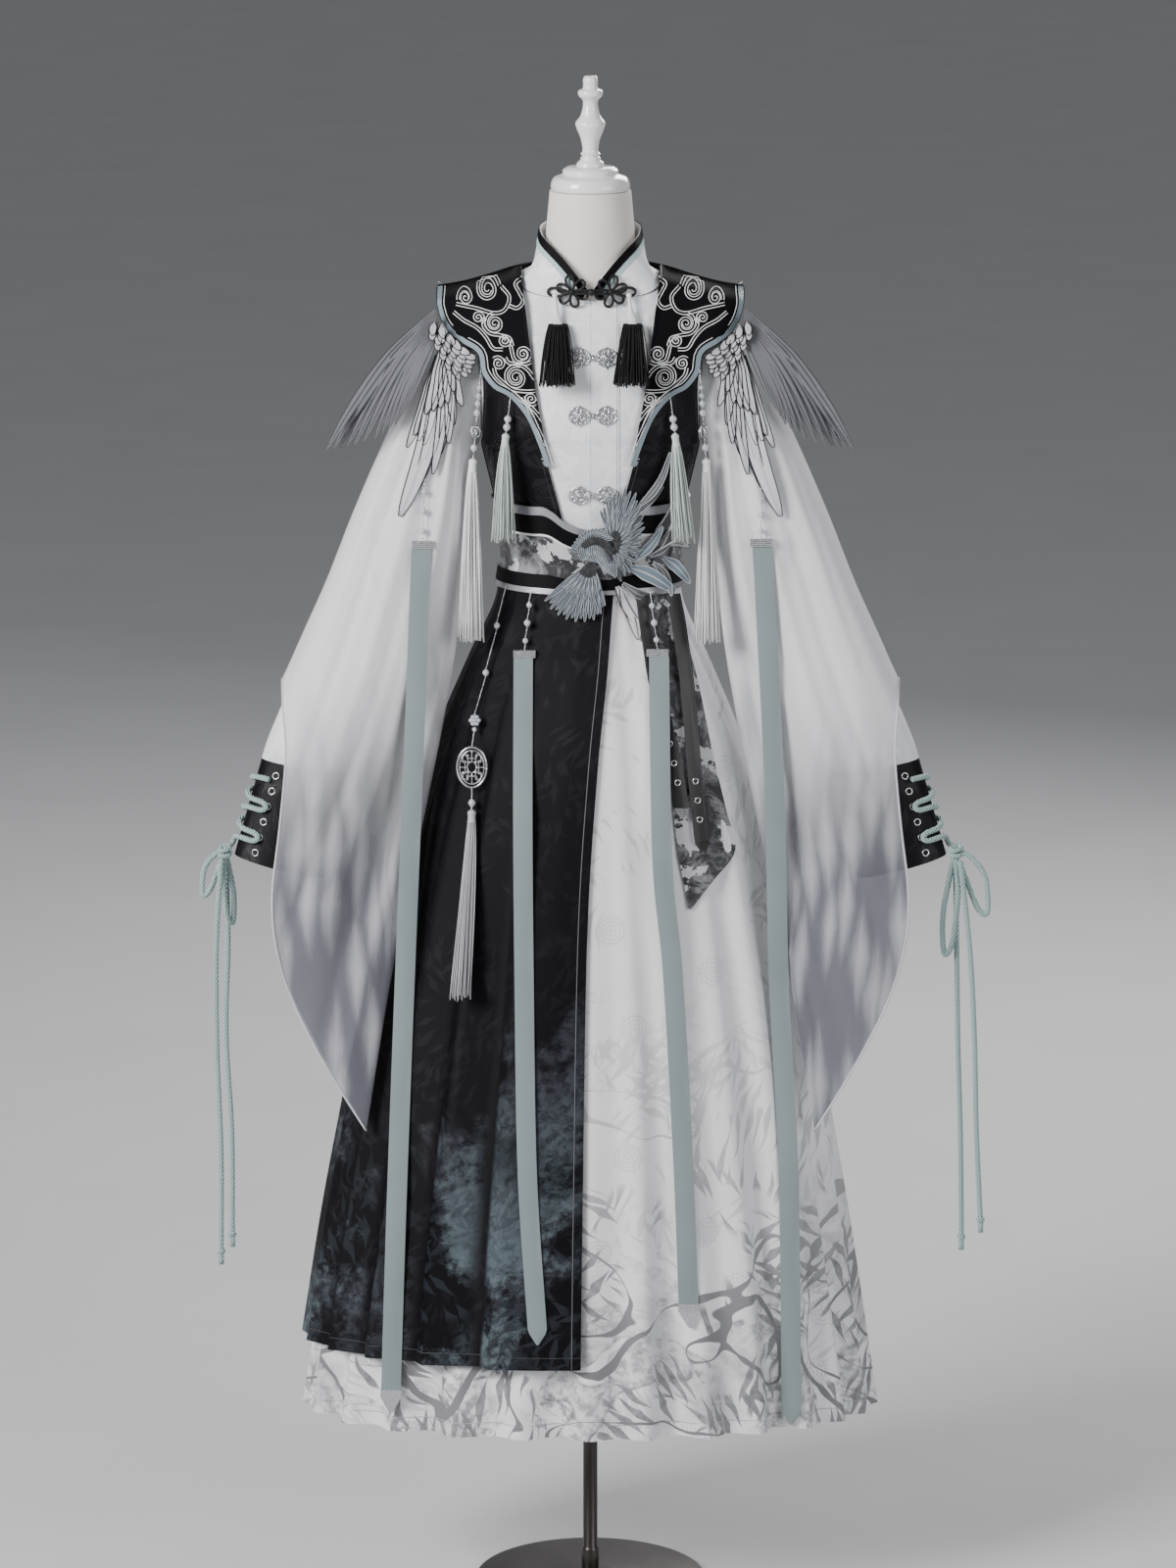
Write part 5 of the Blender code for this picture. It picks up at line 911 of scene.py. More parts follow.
def ink_white():
    """White satin with grey ink leaves, winding streams and washes that deepen towards the hem."""
    made = Finish("white_print", (0.80, 0.80, 0.83), 0.42, Sheen_Weight=0.25, Sheen_Roughness=0.45)
    cloth = made.cloth_place()
    down = made.product(made.part(cloth, 1), -1.0)
    low = made.step(down, 0.42, 0.98)
    hem = made.step(down, 0.68, 1.04)
    mottle = made.noise(cloth, 60.0, 6.0, 0.7)
    faint = made.sprays(cloth, (0.014, 0.090), 0.38, 6.5, 9.0, 0.58, 0.62)
    dark = made.sprays(cloth, (0.016, 0.105), 0.39, 4.6, 21.0, 0.56, 0.59)
    stream, rim = made.winding(cloth, 3.4, 0.036, 7.0, 0.9)
    twig, _ = made.winding(cloth, 4.6, 0.0095, 12.0, 1.2)
    rock, edge = made.winding(cloth, 5.2, 0.040, 31.0, 1.4)
    wash = made.step(made.noise(cloth, 7.5, 3.0, 0.55, 0.8), 0.47, 0.64)
    rounds = made.medallions(cloth, 0.125, 0.17, 6.0)
    stream_ink = made.multiply_add(made.step(mottle, 0.42, 0.60), 0.50, made.multiply_add(rim, 0.45, 0.12))
    streams = made.product(stream, stream_ink, hem)
    rock_ink = made.multiply_add(made.step(mottle, 0.44, 0.58), 0.62, made.multiply_add(edge, 0.30, 0.06))
    rocks = made.product(rock, made.step(made.noise(cloth, 5.0, 2.0), 0.50, 0.58), rock_ink, hem)
    leaves = made.product(made.most(made.product(faint, 0.30), made.product(dark, low, 0.86)),
                          made.multiply_add(mottle, 0.9, 0.45))
    twigs = made.product(twig, low, 0.85)
    washes = made.product(wash, hem, made.multiply_add(mottle, 0.9, -0.05))
    ink = made.most(leaves, streams, rocks, twigs, washes, made.product(rounds, 0.20))
    cloudy = made.noise(cloth, 10.0, 3.0)
    white = made.blend(cloudy, (0.78, 0.78, 0.80), (0.88, 0.88, 0.90))
    made.colour(made.blend(ink, white, (0.060, 0.060, 0.070)))
    figure = made.sprays(cloth, (0.017, 0.058), 0.34, 9.0, 4.0)
    made.rough(made.multiply_add(made.most(figure, rounds), -0.16, 0.46))
    threads = made.weave(made.part(cloth, 0), made.part(cloth, 1), 0.0009)
    made.bump(made.multiply_add(figure, 0.25, threads), 0.00022, 0.6)
    return made.made


def ink_black():
    """Plum-black satin on which blue-grey ink clouds and leaves thicken towards the hem, and fade out in the
    pleats' recesses as painted shade.
    """
    made = Finish("black_print", (0.003, 0.0025, 0.004), 0.36, Specular_IOR_Level=0.10)
    cloth = made.cloth_place()
    down = made.product(made.part(cloth, 1), -1.0)
    # Painted shade: the print fades to bare black where each pleat folds under the next one, so the recesses
    # read darker
    pleat_lit_share = made.step(made.named("pleat_lit_share"), 0.02, 0.45)
    low = made.product(made.step(down, 0.36, 0.72), pleat_lit_share)
    hem = made.product(made.step(down, 0.60, 0.92), pleat_lit_share)
    cloud = made.noise(cloth, 9.0, 6.0, 0.66, 0.5)
    patch = made.noise(cloth, 3.4, 3.0, 0.55, 0.6)
    grit = made.noise(cloth, 70.0, 5.0, 0.75)
    heaped = made.math("ADD", cloud, made.multiply_add(patch, 0.8, -0.42))
    clouds = made.product(made.step(heaped, 0.46, 0.60), low)
    speckled = made.math("ADD", patch, made.multiply_add(grit, 0.35, -0.2))
    bright = made.product(made.step(speckled, 0.50, 0.62), hem)
    leaves = made.product(made.sprays(cloth, (0.020, 0.080), 0.36, 6.0, 15.0, 0.49, 0.53), hem)
    marbled = made.product(clouds, made.step(grit, 0.30, 0.62))
    first = made.blend(marbled, (0.003, 0.0025, 0.004), (0.050, 0.056, 0.068))
    second = made.blend(made.product(bright, made.multiply_add(grit, 0.9, 0.25)), first,
                        (0.105, 0.140, 0.155))
    third = made.blend(made.product(leaves, 0.75), second, (0.020, 0.024, 0.030))
    figure = made.sprays(cloth, (0.015, 0.050), 0.34, 9.0, 4.0, 0.53, 0.57)
    made.colour(made.blend(made.product(figure, 0.25), third, (0.020, 0.017, 0.023)))
    made.rough(made.multiply_add(figure, -0.10, 0.40))
    threads = made.weave(made.part(cloth, 0), made.part(cloth, 1), 0.0009)
    made.bump(made.multiply_add(figure, 0.7, threads), 0.0002, 0.6)
    return made.made


def chiffon():
    """Sheer cloth that is white above and turns to grey, overlapping feather shapes below."""
    made = Finish("feather_chiffon", (0.75, 0.75, 0.78), 0.60, Sheen_Weight=0.2, Alpha=0.50)
    place = made.place()
    height = made.part(place, 2)
    ragged = made.noise(made.scaled(place, (14.0, 3.0, 3.0)), 1.0, 2.0)
    grey = made.step(made.multiply_add(ragged, 0.30, height), 1.42, 1.08)
    flat = made.node("ShaderNodeCombineXYZ", {0: made.part(place, 0), 1: height, 2: 0.0}).outputs[0]
    sway = made.multiply_add(made.noise(flat, 4.0, 1.0), 0.05, made.part(place, 0))
    bent = made.node("ShaderNodeCombineXYZ", {0: sway, 1: height, 2: 0.0}).outputs[0]
    feathers = made.cells(made.scaled(bent, (1 / 0.024, 1 / 0.135, 1.0)), 0.95, "MINKOWSKI", 1.2)
    streaks = made.noise(made.scaled(bent, (70.0, 6.0, 1.0)), 1.0, 3.0)
    barbs = made.step(made.multiply_add(streaks, 0.50, feathers), 0.28, 0.96)
    dark = made.blend(barbs, (0.50, 0.50, 0.54), (0.150, 0.150, 0.185))
    strokes = made.noise(made.scaled(bent, (26.0, 7.0, 1.0)), 1.0, 4.0, 0.6)
    brush = made.product(made.step(strokes, 0.58, 0.72), 0.30)
    white = made.blend(brush, (0.93, 0.93, 0.95), (0.50, 0.50, 0.55))
    made.colour(made.blend(grey, white, dark))
    threads = made.weave(made.part(place, 0), height, 0.0012)
    made.bump(made.math("ADD", threads, made.noise(flat, 40.0, 3.0)), 0.0002, 0.5)
    return made.made


def velvet():
    made = Finish("velvet", (0.003, 0.003, 0.004), 0.90,
                  Sheen_Weight=0.05, Sheen_Roughness=0.35, Specular_IOR_Level=0.12)
    place = made.place()
    pile = made.noise(place, 900.0, 2.0)
    nap = made.noise(place, 25.0, 3.0)
    made.colour(made.blend(nap, (0.0015, 0.0015, 0.002), (0.004, 0.004, 0.005)))
    made.bump(pile, 0.0003, 0.5)
    return made.made


def mark_pleat_shade():
    """Stores how far out each column of the overskirt lies in its pleat; the print fades out where this is
    low, as painted shade in the folded-under recesses.
    """
    made, grid, _ = made_cloth["black_overskirt"]
    knots = np.array([0.35, 0.6] + [1.0, 0.0] * len(PLEAT_FOLDS) + [0.6])
    fine = line_weights(len(knots), FINENESS["black_overskirt"][1], False) @ knots
    pleat_lit_share = np.tile(fine, 2 * grid.shape[0]).astype(np.float32)
    # The attribute carries the pleats' painted shade: 1 on the pleats' fronts, 0 in their recesses
    made.data.attributes.new("pleat_lit_share", "FLOAT", "POINT").data.foreach_set("value", pleat_lit_share)


def ink_brocade():
    """Grey brocade with ink hills and pale clouds."""
    made = Finish("brocade_print", (0.25, 0.25, 0.27), 0.5, Sheen_Weight=0.15)
    cloth = made.cloth_place()
    hills = made.noise(cloth, 26.0, 8.0, 0.74, 0.6)
    pale = made.step(made.noise(cloth, 19.0, 6.0, 0.62, 0.3), 0.552, 0.562)
    first = made.blend(made.step(hills, 0.44, 0.64), (0.007, 0.007, 0.009), (0.24, 0.24, 0.26))
    made.colour(made.blend(made.product(pale, 0.9), first, (0.58, 0.58, 0.60)))
    threads = made.weave(made.part(cloth, 0), made.part(cloth, 1), 0.0011)
    made.bump(made.multiply_add(hills, 1.2, threads), 0.0003, 0.6)
    return made.made


def ribbed(name, colour, dark, pitch, roughness=0.6, **sockets):
    """A ribbon with fine ribs across it."""
    made = Finish(name, colour, roughness, **sockets)
    cloth = made.cloth_place()
    ribs = made.waves(made.part(cloth, 1), pitch)
    shade = made.noise(cloth, 18.0, 4.0)
    made.colour(made.blend(shade, dark, colour))
    made.bump(made.multiply_add(ribs, 0.5, made.noise(cloth, 400.0, 2.0)), 0.0002, 0.7)
    return made.made


def threads(name, colour, dark, roughness=0.45, fine=900.0, **sockets):
    """Silk strands, cords and embroidery: fine lines with a slight change of shade."""
    made = Finish(name, colour, roughness, Sheen_Weight=0.05, **sockets)
    place = made.place()
    shade = made.noise(place, 60.0, 4.0)
    made.colour(made.blend(shade, dark, colour))
    made.bump(made.noise(place, fine, 3.0, 0.6), 0.0004, 0.8)
    return made.made


def braid():
    """A round braided cord; its slant shows as a repeated twist along it, with painted shade in the grooves
    between its strands and painted light on their crowns.
    """
    made = Finish("braided_cord", (0.36, 0.51, 0.50), 0.7, Sheen_Weight=0.3)
    place = made.place()
    x, height = made.part(place, 0), made.part(place, 2)
    plait = made.most(*(made.waves(made.multiply_add(x, way, height), 0.0055) for way in (1.6, -1.6)))
    # Painted shade and light: the colour is dark where the plait's bump is low and light where it is high
    made.colour(made.blend(made.step(plait, -0.3, 0.9), (0.20, 0.30, 0.30), (0.42, 0.58, 0.56)))
    made.bump(plait, 0.0009, 1.0)
    return made.made


def metal(name, colour, roughness):
    made = Finish(name, colour, roughness, Metallic=1.0)
    wear = made.noise(made.place(), 260.0, 4.0)
    made.colour(made.blend(wear, tuple(0.55 * part for part in colour), colour))
    made.rough(made.multiply_add(wear, 0.22, roughness - 0.08))
    made.bump(wear, 0.0002, 0.5)
    return made.made


def pearl():
    colour = (0.46, 0.45, 0.52)
    made = Finish("pearl_gloss", colour, 0.18, Coat_Weight=0.7, Coat_Roughness=0.08, Subsurface_Weight=0.15)
    shade = made.noise(made.place(), 120.0, 2.0)
    made.colour(made.blend(shade, tuple(0.82 * part for part in colour), (0.62, 0.61, 0.66)))
    return made.made


def painted(name, colour, roughness, coat, grain, metallic=0.0):
    """Lacquer, leather or the form's cloth: one colour with a slight grain."""
    made = Finish(name, colour, roughness, Metallic=metallic, Coat_Weight=coat, Coat_Roughness=0.12)
    place = made.place()
    shade = made.noise(place, grain, 5.0)
    dark, light = tuple(0.88 * part for part in colour), tuple(min(1.0, 1.06 * part) for part in colour)
    made.colour(made.blend(shade, dark, light))
    made.rough(made.multiply_add(shade, 0.12, roughness - 0.06))
    made.bump(made.noise(place, 12.0 * grain, 3.0), 0.0002, 0.35)
    return made.made


def plume(name, colour, mark, alpha, rim_from, rim_to, barb_share):
    """A feather: slanting barbs, shaft and rim in the mark's colour. u runs across it and v along it."""
    made = Finish(name, colour, 0.55, Sheen_Weight=0.3, Alpha=alpha)
    cloth = made.cloth_place()
    across, along = made.part(cloth, 0), made.part(cloth, 1)
    off = made.math("ABSOLUTE", across)
    slant = made.multiply_add(off, -2.2, along)
    barbs = made.waves(slant, 0.34)
    rim = made.step(off, rim_from, rim_to)
    shaft = made.step(off, 0.16, 0.08)
    lines = made.product(made.step(barbs, 0.2, 0.9), barb_share)
    made.colour(made.blend(made.most(rim, shaft, lines), colour, mark))
    made.bump(made.multiply_add(rim, 1.5, barbs), 0.0004, 0.8)
    return made.made


WHITE_SATIN = satin("white_jacquard", (0.86, 0.87, 0.89), (0.77, 0.78, 0.81), 0.42, 0.5, 0.25, 0.5)
BLACK_SATIN = satin("black_jacquard", (0.005, 0.0035, 0.006), (0.0025, 0.002, 0.003), 0.38, 0.30, 0.0, 0.14)
WHITE_PRINT = ink_white()
BLACK_PRINT = ink_black()
BLACK_VELVET = velvet()
CHIFFON = chiffon()
BROCADE = ink_brocade()
RIBBON = ribbed("teal_ribbon", (0.205, 0.255, 0.262), (0.175, 0.222, 0.228), 0.0012)
BINDING = ribbed("grey_blue_binding", (0.21, 0.265, 0.300), (0.165, 0.215, 0.245), 0.0010, 0.45)
PALE_BAND = ribbed("pale_blue_band", (0.46, 0.57, 0.60), (0.38, 0.50, 0.53), 0.0010, 0.5)
SILVER_TRIM = ribbed("silver_braid", (0.42, 0.42, 0.45), (0.24, 0.24, 0.27), 0.0016, 0.35, Metallic=0.5)
BLACK_BIAS = ribbed("black_binding", (0.003, 0.003, 0.004), (0.002, 0.002, 0.0025), 0.0010, 0.55,
                    Specular_IOR_Level=0.1)
CORD = braid()
SILVER = metal("silver_castings", (0.86, 0.86, 0.88), 0.24)
PEARL = pearl()
SILVER_THREAD = threads("silver_thread", (0.90, 0.90, 0.90), (0.72, 0.73, 0.74), 0.40)
TASSEL_WHITE = threads("white_silk", (0.88, 0.88, 0.88), (0.74, 0.74, 0.75))
TASSEL_GREEN = threads("pale_green_silk", (0.60, 0.66, 0.62), (0.46, 0.53, 0.49))
TASSEL_BLACK = threads("black_silk", (0.008, 0.008, 0.009), (0.004, 0.004, 0.005), 0.6,
                       Specular_IOR_Level=0.25)
TASSEL_GREY = threads("grey_silk", (0.50, 0.50, 0.53), (0.36, 0.36, 0.39))
LEATHER = painted("black_hide", (0.006, 0.006, 0.007), 0.45, 0.0, 90.0)
FROG = threads("black_cord", (0.007, 0.007, 0.008), (0.004, 0.004, 0.005), 0.5, 500.0, Specular_IOR_Level=0.3)
IVORY = painted("form_fabric", (0.80, 0.75, 0.71), 0.70, 0.0, 40.0)
GLOSS_WHITE = painted("white_paint", (0.86, 0.86, 0.85), 0.22, 0.5, 8.0)
DARK_METAL = painted("bronzed_steel", (0.060, 0.052, 0.050), 0.36, 0.2, 25.0, 0.8)
OUTLINE_THREAD = threads("dark_outline_thread", (0.010, 0.010, 0.012), (0.006, 0.006, 0.008), 0.7,
                         Specular_IOR_Level=0.1)
PETAL_THREAD = threads("pale_petal_thread", (0.52, 0.56, 0.60), (0.36, 0.40, 0.44), 0.5)
EDGE_LINE = threads("grey_edge_thread", (0.16, 0.16, 0.18), (0.11, 0.11, 0.12), 0.6)
HEM_ROLL = ribbed("pale_rolled_hem", (0.60, 0.60, 0.64), (0.48, 0.48, 0.52), 0.0010, 0.5)
SEAM_WHITE = threads("white_stitching", (0.46, 0.47, 0.50), (0.36, 0.37, 0.40), 0.5)
SEAM_BLACK = threads("black_stitching", (0.05, 0.05, 0.055), (0.02, 0.02, 0.024), 0.5)
WING_OUTER = plume("sheer_plume", (0.25, 0.25, 0.28), (0.05, 0.05, 0.06), 0.84, 0.66, 0.86, 0.22)
WING_INNER = plume("pale_plume", (0.82, 0.82, 0.85), (0.60, 0.60, 0.64), 0.96, 0.80, 1.10, 0.12)
PETAL = plume("embroidered_plume", (0.036, 0.054, 0.074), (0.44, 0.49, 0.54), 1.0, 0.72, 0.98, 0.28)
PETAL_DARK = plume("dark_plume", (0.004, 0.004, 0.006), (0.03, 0.036, 0.044), 1.0, 0.80, 0.98, 0.20)
LEAF_BLUE = plume("blue_leaf", (0.15, 0.205, 0.25), (0.52, 0.57, 0.60), 1.0, 0.84, 0.94, 0.10)
LEAF_DARK = plume("dark_leaf", (0.035, 0.037, 0.042), (0.58, 0.59, 0.60), 0.92, 0.82, 0.92, 0.06)
LEAF_WHITE = plume("white_leaf", (0.80, 0.80, 0.82), (0.16, 0.16, 0.18), 0.90, 0.86, 0.96, 0.0)
LEAF_GREY = plume("sheer_leaf", (0.13, 0.13, 0.145), (0.48, 0.49, 0.51), 0.88, 0.80, 0.92, 0.20)


# Cloth: each coarse grid from the measured tables is refined, creased and given its wall

# Name: how many times finer down and across
FINENESS = {
    "shirt": (4, 5), "vest": (4, 5), "stand_collar": (4, 3), "cloud_collar": (5, 6),
    "cloud_collar_back": (6, 4), "belt": (8, 5), "white_skirt": (20, 6), "black_overskirt": (20, 5),
    "arm_sleeve": (12, 6), "cuff": (10, 4), "overlay_sleeve": (11, 5),
}
STRAIGHT_ACROSS = ("black_overskirt",)
SLOTS = {
    "shirt": "white_satin", "arm_sleeve": "white_satin", "stand_collar": "white_satin",
    "white_skirt": "white_satin", "vest": "black_satin", "cuff": "black_satin",
    "black_overskirt": "black_satin", "cloud_collar": "black_velvet", "cloud_collar_back": "black_velvet",
    "belt": "ink_brocade", "overlay_sleeve": "chiffon",
}
made_cloth = {}


def kind_of(name):
    """The piece's name without its side or its front and back."""
    for known in sorted(FINENESS, key=len, reverse=True):
        if name.startswith(known):
            return known
    return name


def curve_weights(count, finer, around):
    """Rows of weights that carry a smooth line through the knots; each knot is kept."""
    steps = count * finer if around else (count - 1) * finer + 1
    weights = np.zeros((steps, count))
    for step in range(steps):
        index, t = divmod(step, finer)
        t /= finer
        spline = (-0.5 * t + t * t - 0.5 * t ** 3, 1.0 - 2.5 * t * t + 1.5 * t ** 3,
                  0.5 * t + 2.0 * t * t - 1.5 * t ** 3, -0.5 * t * t + 0.5 * t ** 3)
        for offset, share in zip((-1, 0, 1, 2), spline):
            place = index + offset
            if around:
                weights[step, place % count] += share
            elif place < 0:
                weights[step, 0] += 2.0 * share
                weights[step, 1] -= share
            elif place >= count:
                weights[step, -1] += share * (1 + place - count + 1)
                weights[step, -2] -= share * (place - count + 1)
            else:
                weights[step, place] += share
    return weights


def line_weights(count, finer, around):
    """Rows of weights that carry straight lines from knot to knot."""
    steps = count * finer if around else (count - 1) * finer + 1
    weights = np.zeros((steps, count))
    for step in range(steps):
        index, part = divmod(step, finer)
        weights[step, index % count] += 1.0 - part / finer
        if part:
            weights[step, (index + 1) % count] += part / finer
    return weights


def refined(grid, down, across, around, straight):
    """The grid made finer along smooth curves, or along straight lines across where it is straight."""
    grid = np.asarray(grid, float)
    rows = curve_weights(grid.shape[0], down, False)
    columns = (line_weights if straight else curve_weights)(grid.shape[1], across, around)
    return np.einsum("ri,cj,ijk->rck", rows, columns, grid)


def grid_normals(grid, around):
    if around:
        along = np.roll(grid, -1, axis=1) - np.roll(grid, 1, axis=1)
    else:
        along = np.gradient(grid, axis=1)
    normal = np.cross(along, np.gradient(grid, axis=0))
    return normal / np.maximum(np.linalg.norm(normal, axis=2, keepdims=True), 1e-9)


def cloth_metres(grid):
    """Places on the cut cloth: metres across from the middle and metres down, as minus."""
    across = np.linalg.norm(np.diff(grid, axis=1), axis=2)
    u = np.concatenate([np.zeros((grid.shape[0], 1)), np.cumsum(across, axis=1)], axis=1)
    u -= u[:, -1:] * 0.5
    down = np.linalg.norm(np.diff(grid, axis=0), axis=2).mean(axis=1)
    v = np.concatenate([[0.0], np.cumsum(down)])
    return np.stack([u, np.repeat(-v[:, None], grid.shape[1], axis=1)], axis=2)


def make_mesh(name, points, faces, finish, uv=None, sharp=None):
    """A mesh object whose faces are turned outwards; uv has one pair for each point."""
    mesh = bpy.data.meshes.new(name)
    mesh.from_pydata([tuple(point) for point in np.asarray(points, float).tolist()], [], faces)
    shape = bmesh.new()
    shape.from_mesh(mesh)
    bmesh.ops.recalc_face_normals(shape, faces=shape.faces)
    shape.to_mesh(mesh)
    shape.free()
    mesh.shade_smooth()
    if sharp is not None:
        mesh.set_sharp_from_angle(angle=math.radians(sharp))
    if uv is not None:
        corners = np.zeros(len(mesh.loops), np.int32)
        mesh.loops.foreach_get("vertex_index", corners)
        layer = mesh.uv_layers.new(name="cloth")
        layer.data.foreach_set("uv", np.asarray(uv, np.float32)[corners].ravel())
    mesh.materials.append(finish)
    made = bpy.data.objects.new(name, mesh)
    bpy.context.scene.collection.objects.link(made)
    return made


def shell_faces(rows, columns, start, around):
    """Faces of two like grids, one after the other, joined along their edges."""
    count = rows * columns
    faces = grid_faces(rows, columns, start, around)
    faces += [face[::-1] for face in grid_faces(rows, columns, start + count, around)]
    edges = []
    for row in (0, rows - 1):
        for column in range(columns if around else columns - 1):
            edges.append((row * columns + column, row * columns + (column + 1) % columns))
    if not around:
        for column in (0, columns - 1):
            for row in range(rows - 1):
                edges.append((row * columns + column, (row + 1) * columns + column))
    return faces + [(start + a, start + b, start + b + count, start + a + count) for a, b in edges]


def wall_mesh(name, outer, inner, finish, around, sharp=50.0):
    """A closed shell between two like grids, with its places on the cut cloth as uv."""
    faces = shell_faces(*outer.shape[:2], 0, around)
    uv = cloth_metres(outer).reshape(-1, 2)
    points = np.concatenate([outer.reshape(-1, 3), inner.reshape(-1, 3)])
    return make_mesh(name, points, faces, finish, np.concatenate([uv, uv]), sharp)


# Creases, listed one by one. Each: start across and down, end across and down (shares of the piece), half
# width in metres, rise in metres (a fold inwards is negative)
CREASES = {
    "shirt_front_left": (
        (0.85, 0.20, 0.35, 0.42, 0.012, 0.0010), (0.95, 0.55, 0.50, 0.70, 0.010, 0.0008),
        (0.70, 0.80, 0.15, 0.72, 0.009, 0.0007), (0.30, 0.10, 0.25, 0.40, 0.014, -0.0007),
    ),
    "shirt_front_right": (
        (0.90, 0.15, 0.30, 0.36, 0.012, 0.0009), (0.80, 0.62, 0.35, 0.76, 0.011, 0.0008),
        (0.55, 0.85, 0.10, 0.80, 0.009, 0.0007), (0.20, 0.25, 0.30, 0.52, 0.014, -0.0007),
        (0.245, 0.58, 0.215, 0.96, 0.0040, 0.0014), (0.285, 0.62, 0.262, 0.96, 0.0035, -0.0009),
        (0.330, 0.55, 0.310, 0.96, 0.0040, 0.0012),
    ),
    "vest_front_left": ((0.92, 0.30, 0.55, 0.55, 0.012, 0.0009), (0.85, 0.74, 0.30, 0.86, 0.010, 0.0008)),
    "vest_front_right": ((0.95, 0.36, 0.45, 0.50, 0.012, 0.0009), (0.75, 0.80, 0.25, 0.90, 0.011, 0.0008)),
    "vest_back": (
        (0.10, 0.60, 0.42, 0.72, 0.014, 0.0010), (0.90, 0.55, 0.60, 0.74, 0.014, 0.0010),
        (0.50, 0.35, 0.50, 0.95, 0.010, -0.0008), (0.22, 0.86, 0.46, 0.90, 0.010, 0.0008),
    ),
    "belt": ((0.08, 0.50, 0.16, 0.45, 0.012, 0.0007), (0.55, 0.40, 0.63, 0.58, 0.012, 0.0007)),
    "cuff_left": ((0.20, 0.30, 0.45, 0.45, 0.010, 0.0010), (0.60, 0.60, 0.85, 0.72, 0.010, 0.0008)),
    "cuff_right": ((0.15, 0.40, 0.40, 0.30, 0.010, 0.0010), (0.55, 0.72, 0.80, 0.60, 0.010, 0.0008)),
    "white_skirt_front": (
        (0.72, 0.04, 0.70, 0.55, 0.012, -0.0060), (0.63, 0.03, 0.60, 0.40, 0.010, -0.0045),
        (0.82, 0.05, 0.86, 0.62, 0.014, -0.0060), (0.56, 0.05, 0.55, 0.75, 0.016, -0.0050),
        (0.91, 0.06, 0.93, 0.50, 0.012, -0.0050), (0.78, 0.35, 0.77, 0.95, 0.020, 0.0050),
        (0.66, 0.45, 0.66, 0.98, 0.022, 0.0040), (0.30, 0.50, 0.28, 1.00, 0.022, 0.0030),
        (0.12, 0.40, 0.10, 1.00, 0.020, -0.0040),
    ),
    "white_skirt_back": (
        (0.12, 0.04, 0.10, 0.60, 0.014, -0.0050), (0.26, 0.03, 0.25, 0.45, 0.012, -0.0050),
        (0.41, 0.05, 0.42, 0.70, 0.016, -0.0055), (0.55, 0.04, 0.56, 0.50, 0.012, -0.0045),
        (0.69, 0.05, 0.72, 0.64, 0.014, -0.0050), (0.86, 0.04, 0.88, 0.55, 0.013, -0.0050),
        (0.34, 0.45, 0.33, 0.98, 0.022, 0.0045), (0.62, 0.50, 0.63, 1.00, 0.020, 0.0045),
    ),
}
# Sleeves fold alike on both sides
ARM_CREASES = ((0.05, 0.10, 0.12, 0.55, 0.011, 0.0030), (0.16, 0.22, 0.22, 0.80, 0.012, -0.0028),
               (0.30, 0.12, 0.33, 0.70, 0.012, 0.0028), (0.42, 0.30, 0.40, 0.92, 0.010, -0.0025),
               (0.58, 0.15, 0.62, 0.75, 0.012, 0.0028), (0.72, 0.25, 0.70, 0.90, 0.011, -0.0026),
               (0.86, 0.12, 0.90, 0.80, 0.012, 0.0028), (0.10, 0.72, 0.10, 1.00, 0.006, 0.0024),
               (0.20, 0.74, 0.20, 1.00, 0.005, 0.0022), (0.28, 0.70, 0.28, 1.00, 0.006, 0.0024),
               (0.37, 0.76, 0.37, 1.00, 0.005, 0.0022), (0.46, 0.72, 0.46, 1.00, 0.006, 0.0022),
               (0.64, 0.72, 0.64, 1.00, 0.006, 0.0022), (0.78, 0.74, 0.78, 1.00, 0.006, 0.0022))
OVERLAY_CREASES = ((0.07, 0.06, 0.10, 0.75, 0.010, 0.0040), (0.12, 0.10, 0.17, 0.95, 0.009, -0.0040),
                   (0.18, 0.05, 0.24, 0.90, 0.010, 0.0045), (0.24, 0.12, 0.29, 1.00, 0.009, -0.0045),
                   (0.30, 0.06, 0.35, 0.95, 0.010, 0.0045), (0.36, 0.15, 0.40, 1.00, 0.009, -0.0040),
                   (0.42, 0.08, 0.45, 1.00, 0.010, 0.0045), (0.56, 0.10, 0.58, 0.95, 0.011, 0.0040),
                   (0.64, 0.12, 0.67, 1.00, 0.010, -0.0040), (0.72, 0.06, 0.76, 0.90, 0.011, 0.0040),
                   (0.82, 0.10, 0.84, 0.95, 0.010, -0.0035), (0.92, 0.08, 0.93, 0.90, 0.010, 0.0035))
# How far the right sleeve's creases are shifted across
SLEEVE_CREASES = {"arm_sleeve": (ARM_CREASES, 0.045), "overlay_sleeve": (OVERLAY_CREASES, 0.028)}
# Shares of a piece's height over which its creases fade out, from its top and from its foot
EDGE_CALM = {"white_skirt": (0.02, 0.0), "black_overskirt": (0.02, 0.0), "overlay_sleeve": (0.05, 0.02),
             "arm_sleeve": (0.06, 0.03)}


def creases_of(name):
    if name in CREASES:
        return CREASES[name]
    creases, shift = SLEEVE_CREASES.get(kind_of(name), ((), 0.0))
    if name.endswith("left"):
        shift = 0.0
    return [(u0 + shift, v0, u1 + shift, v1, *rest) for u0, v0, u1, v1, *rest in creases]


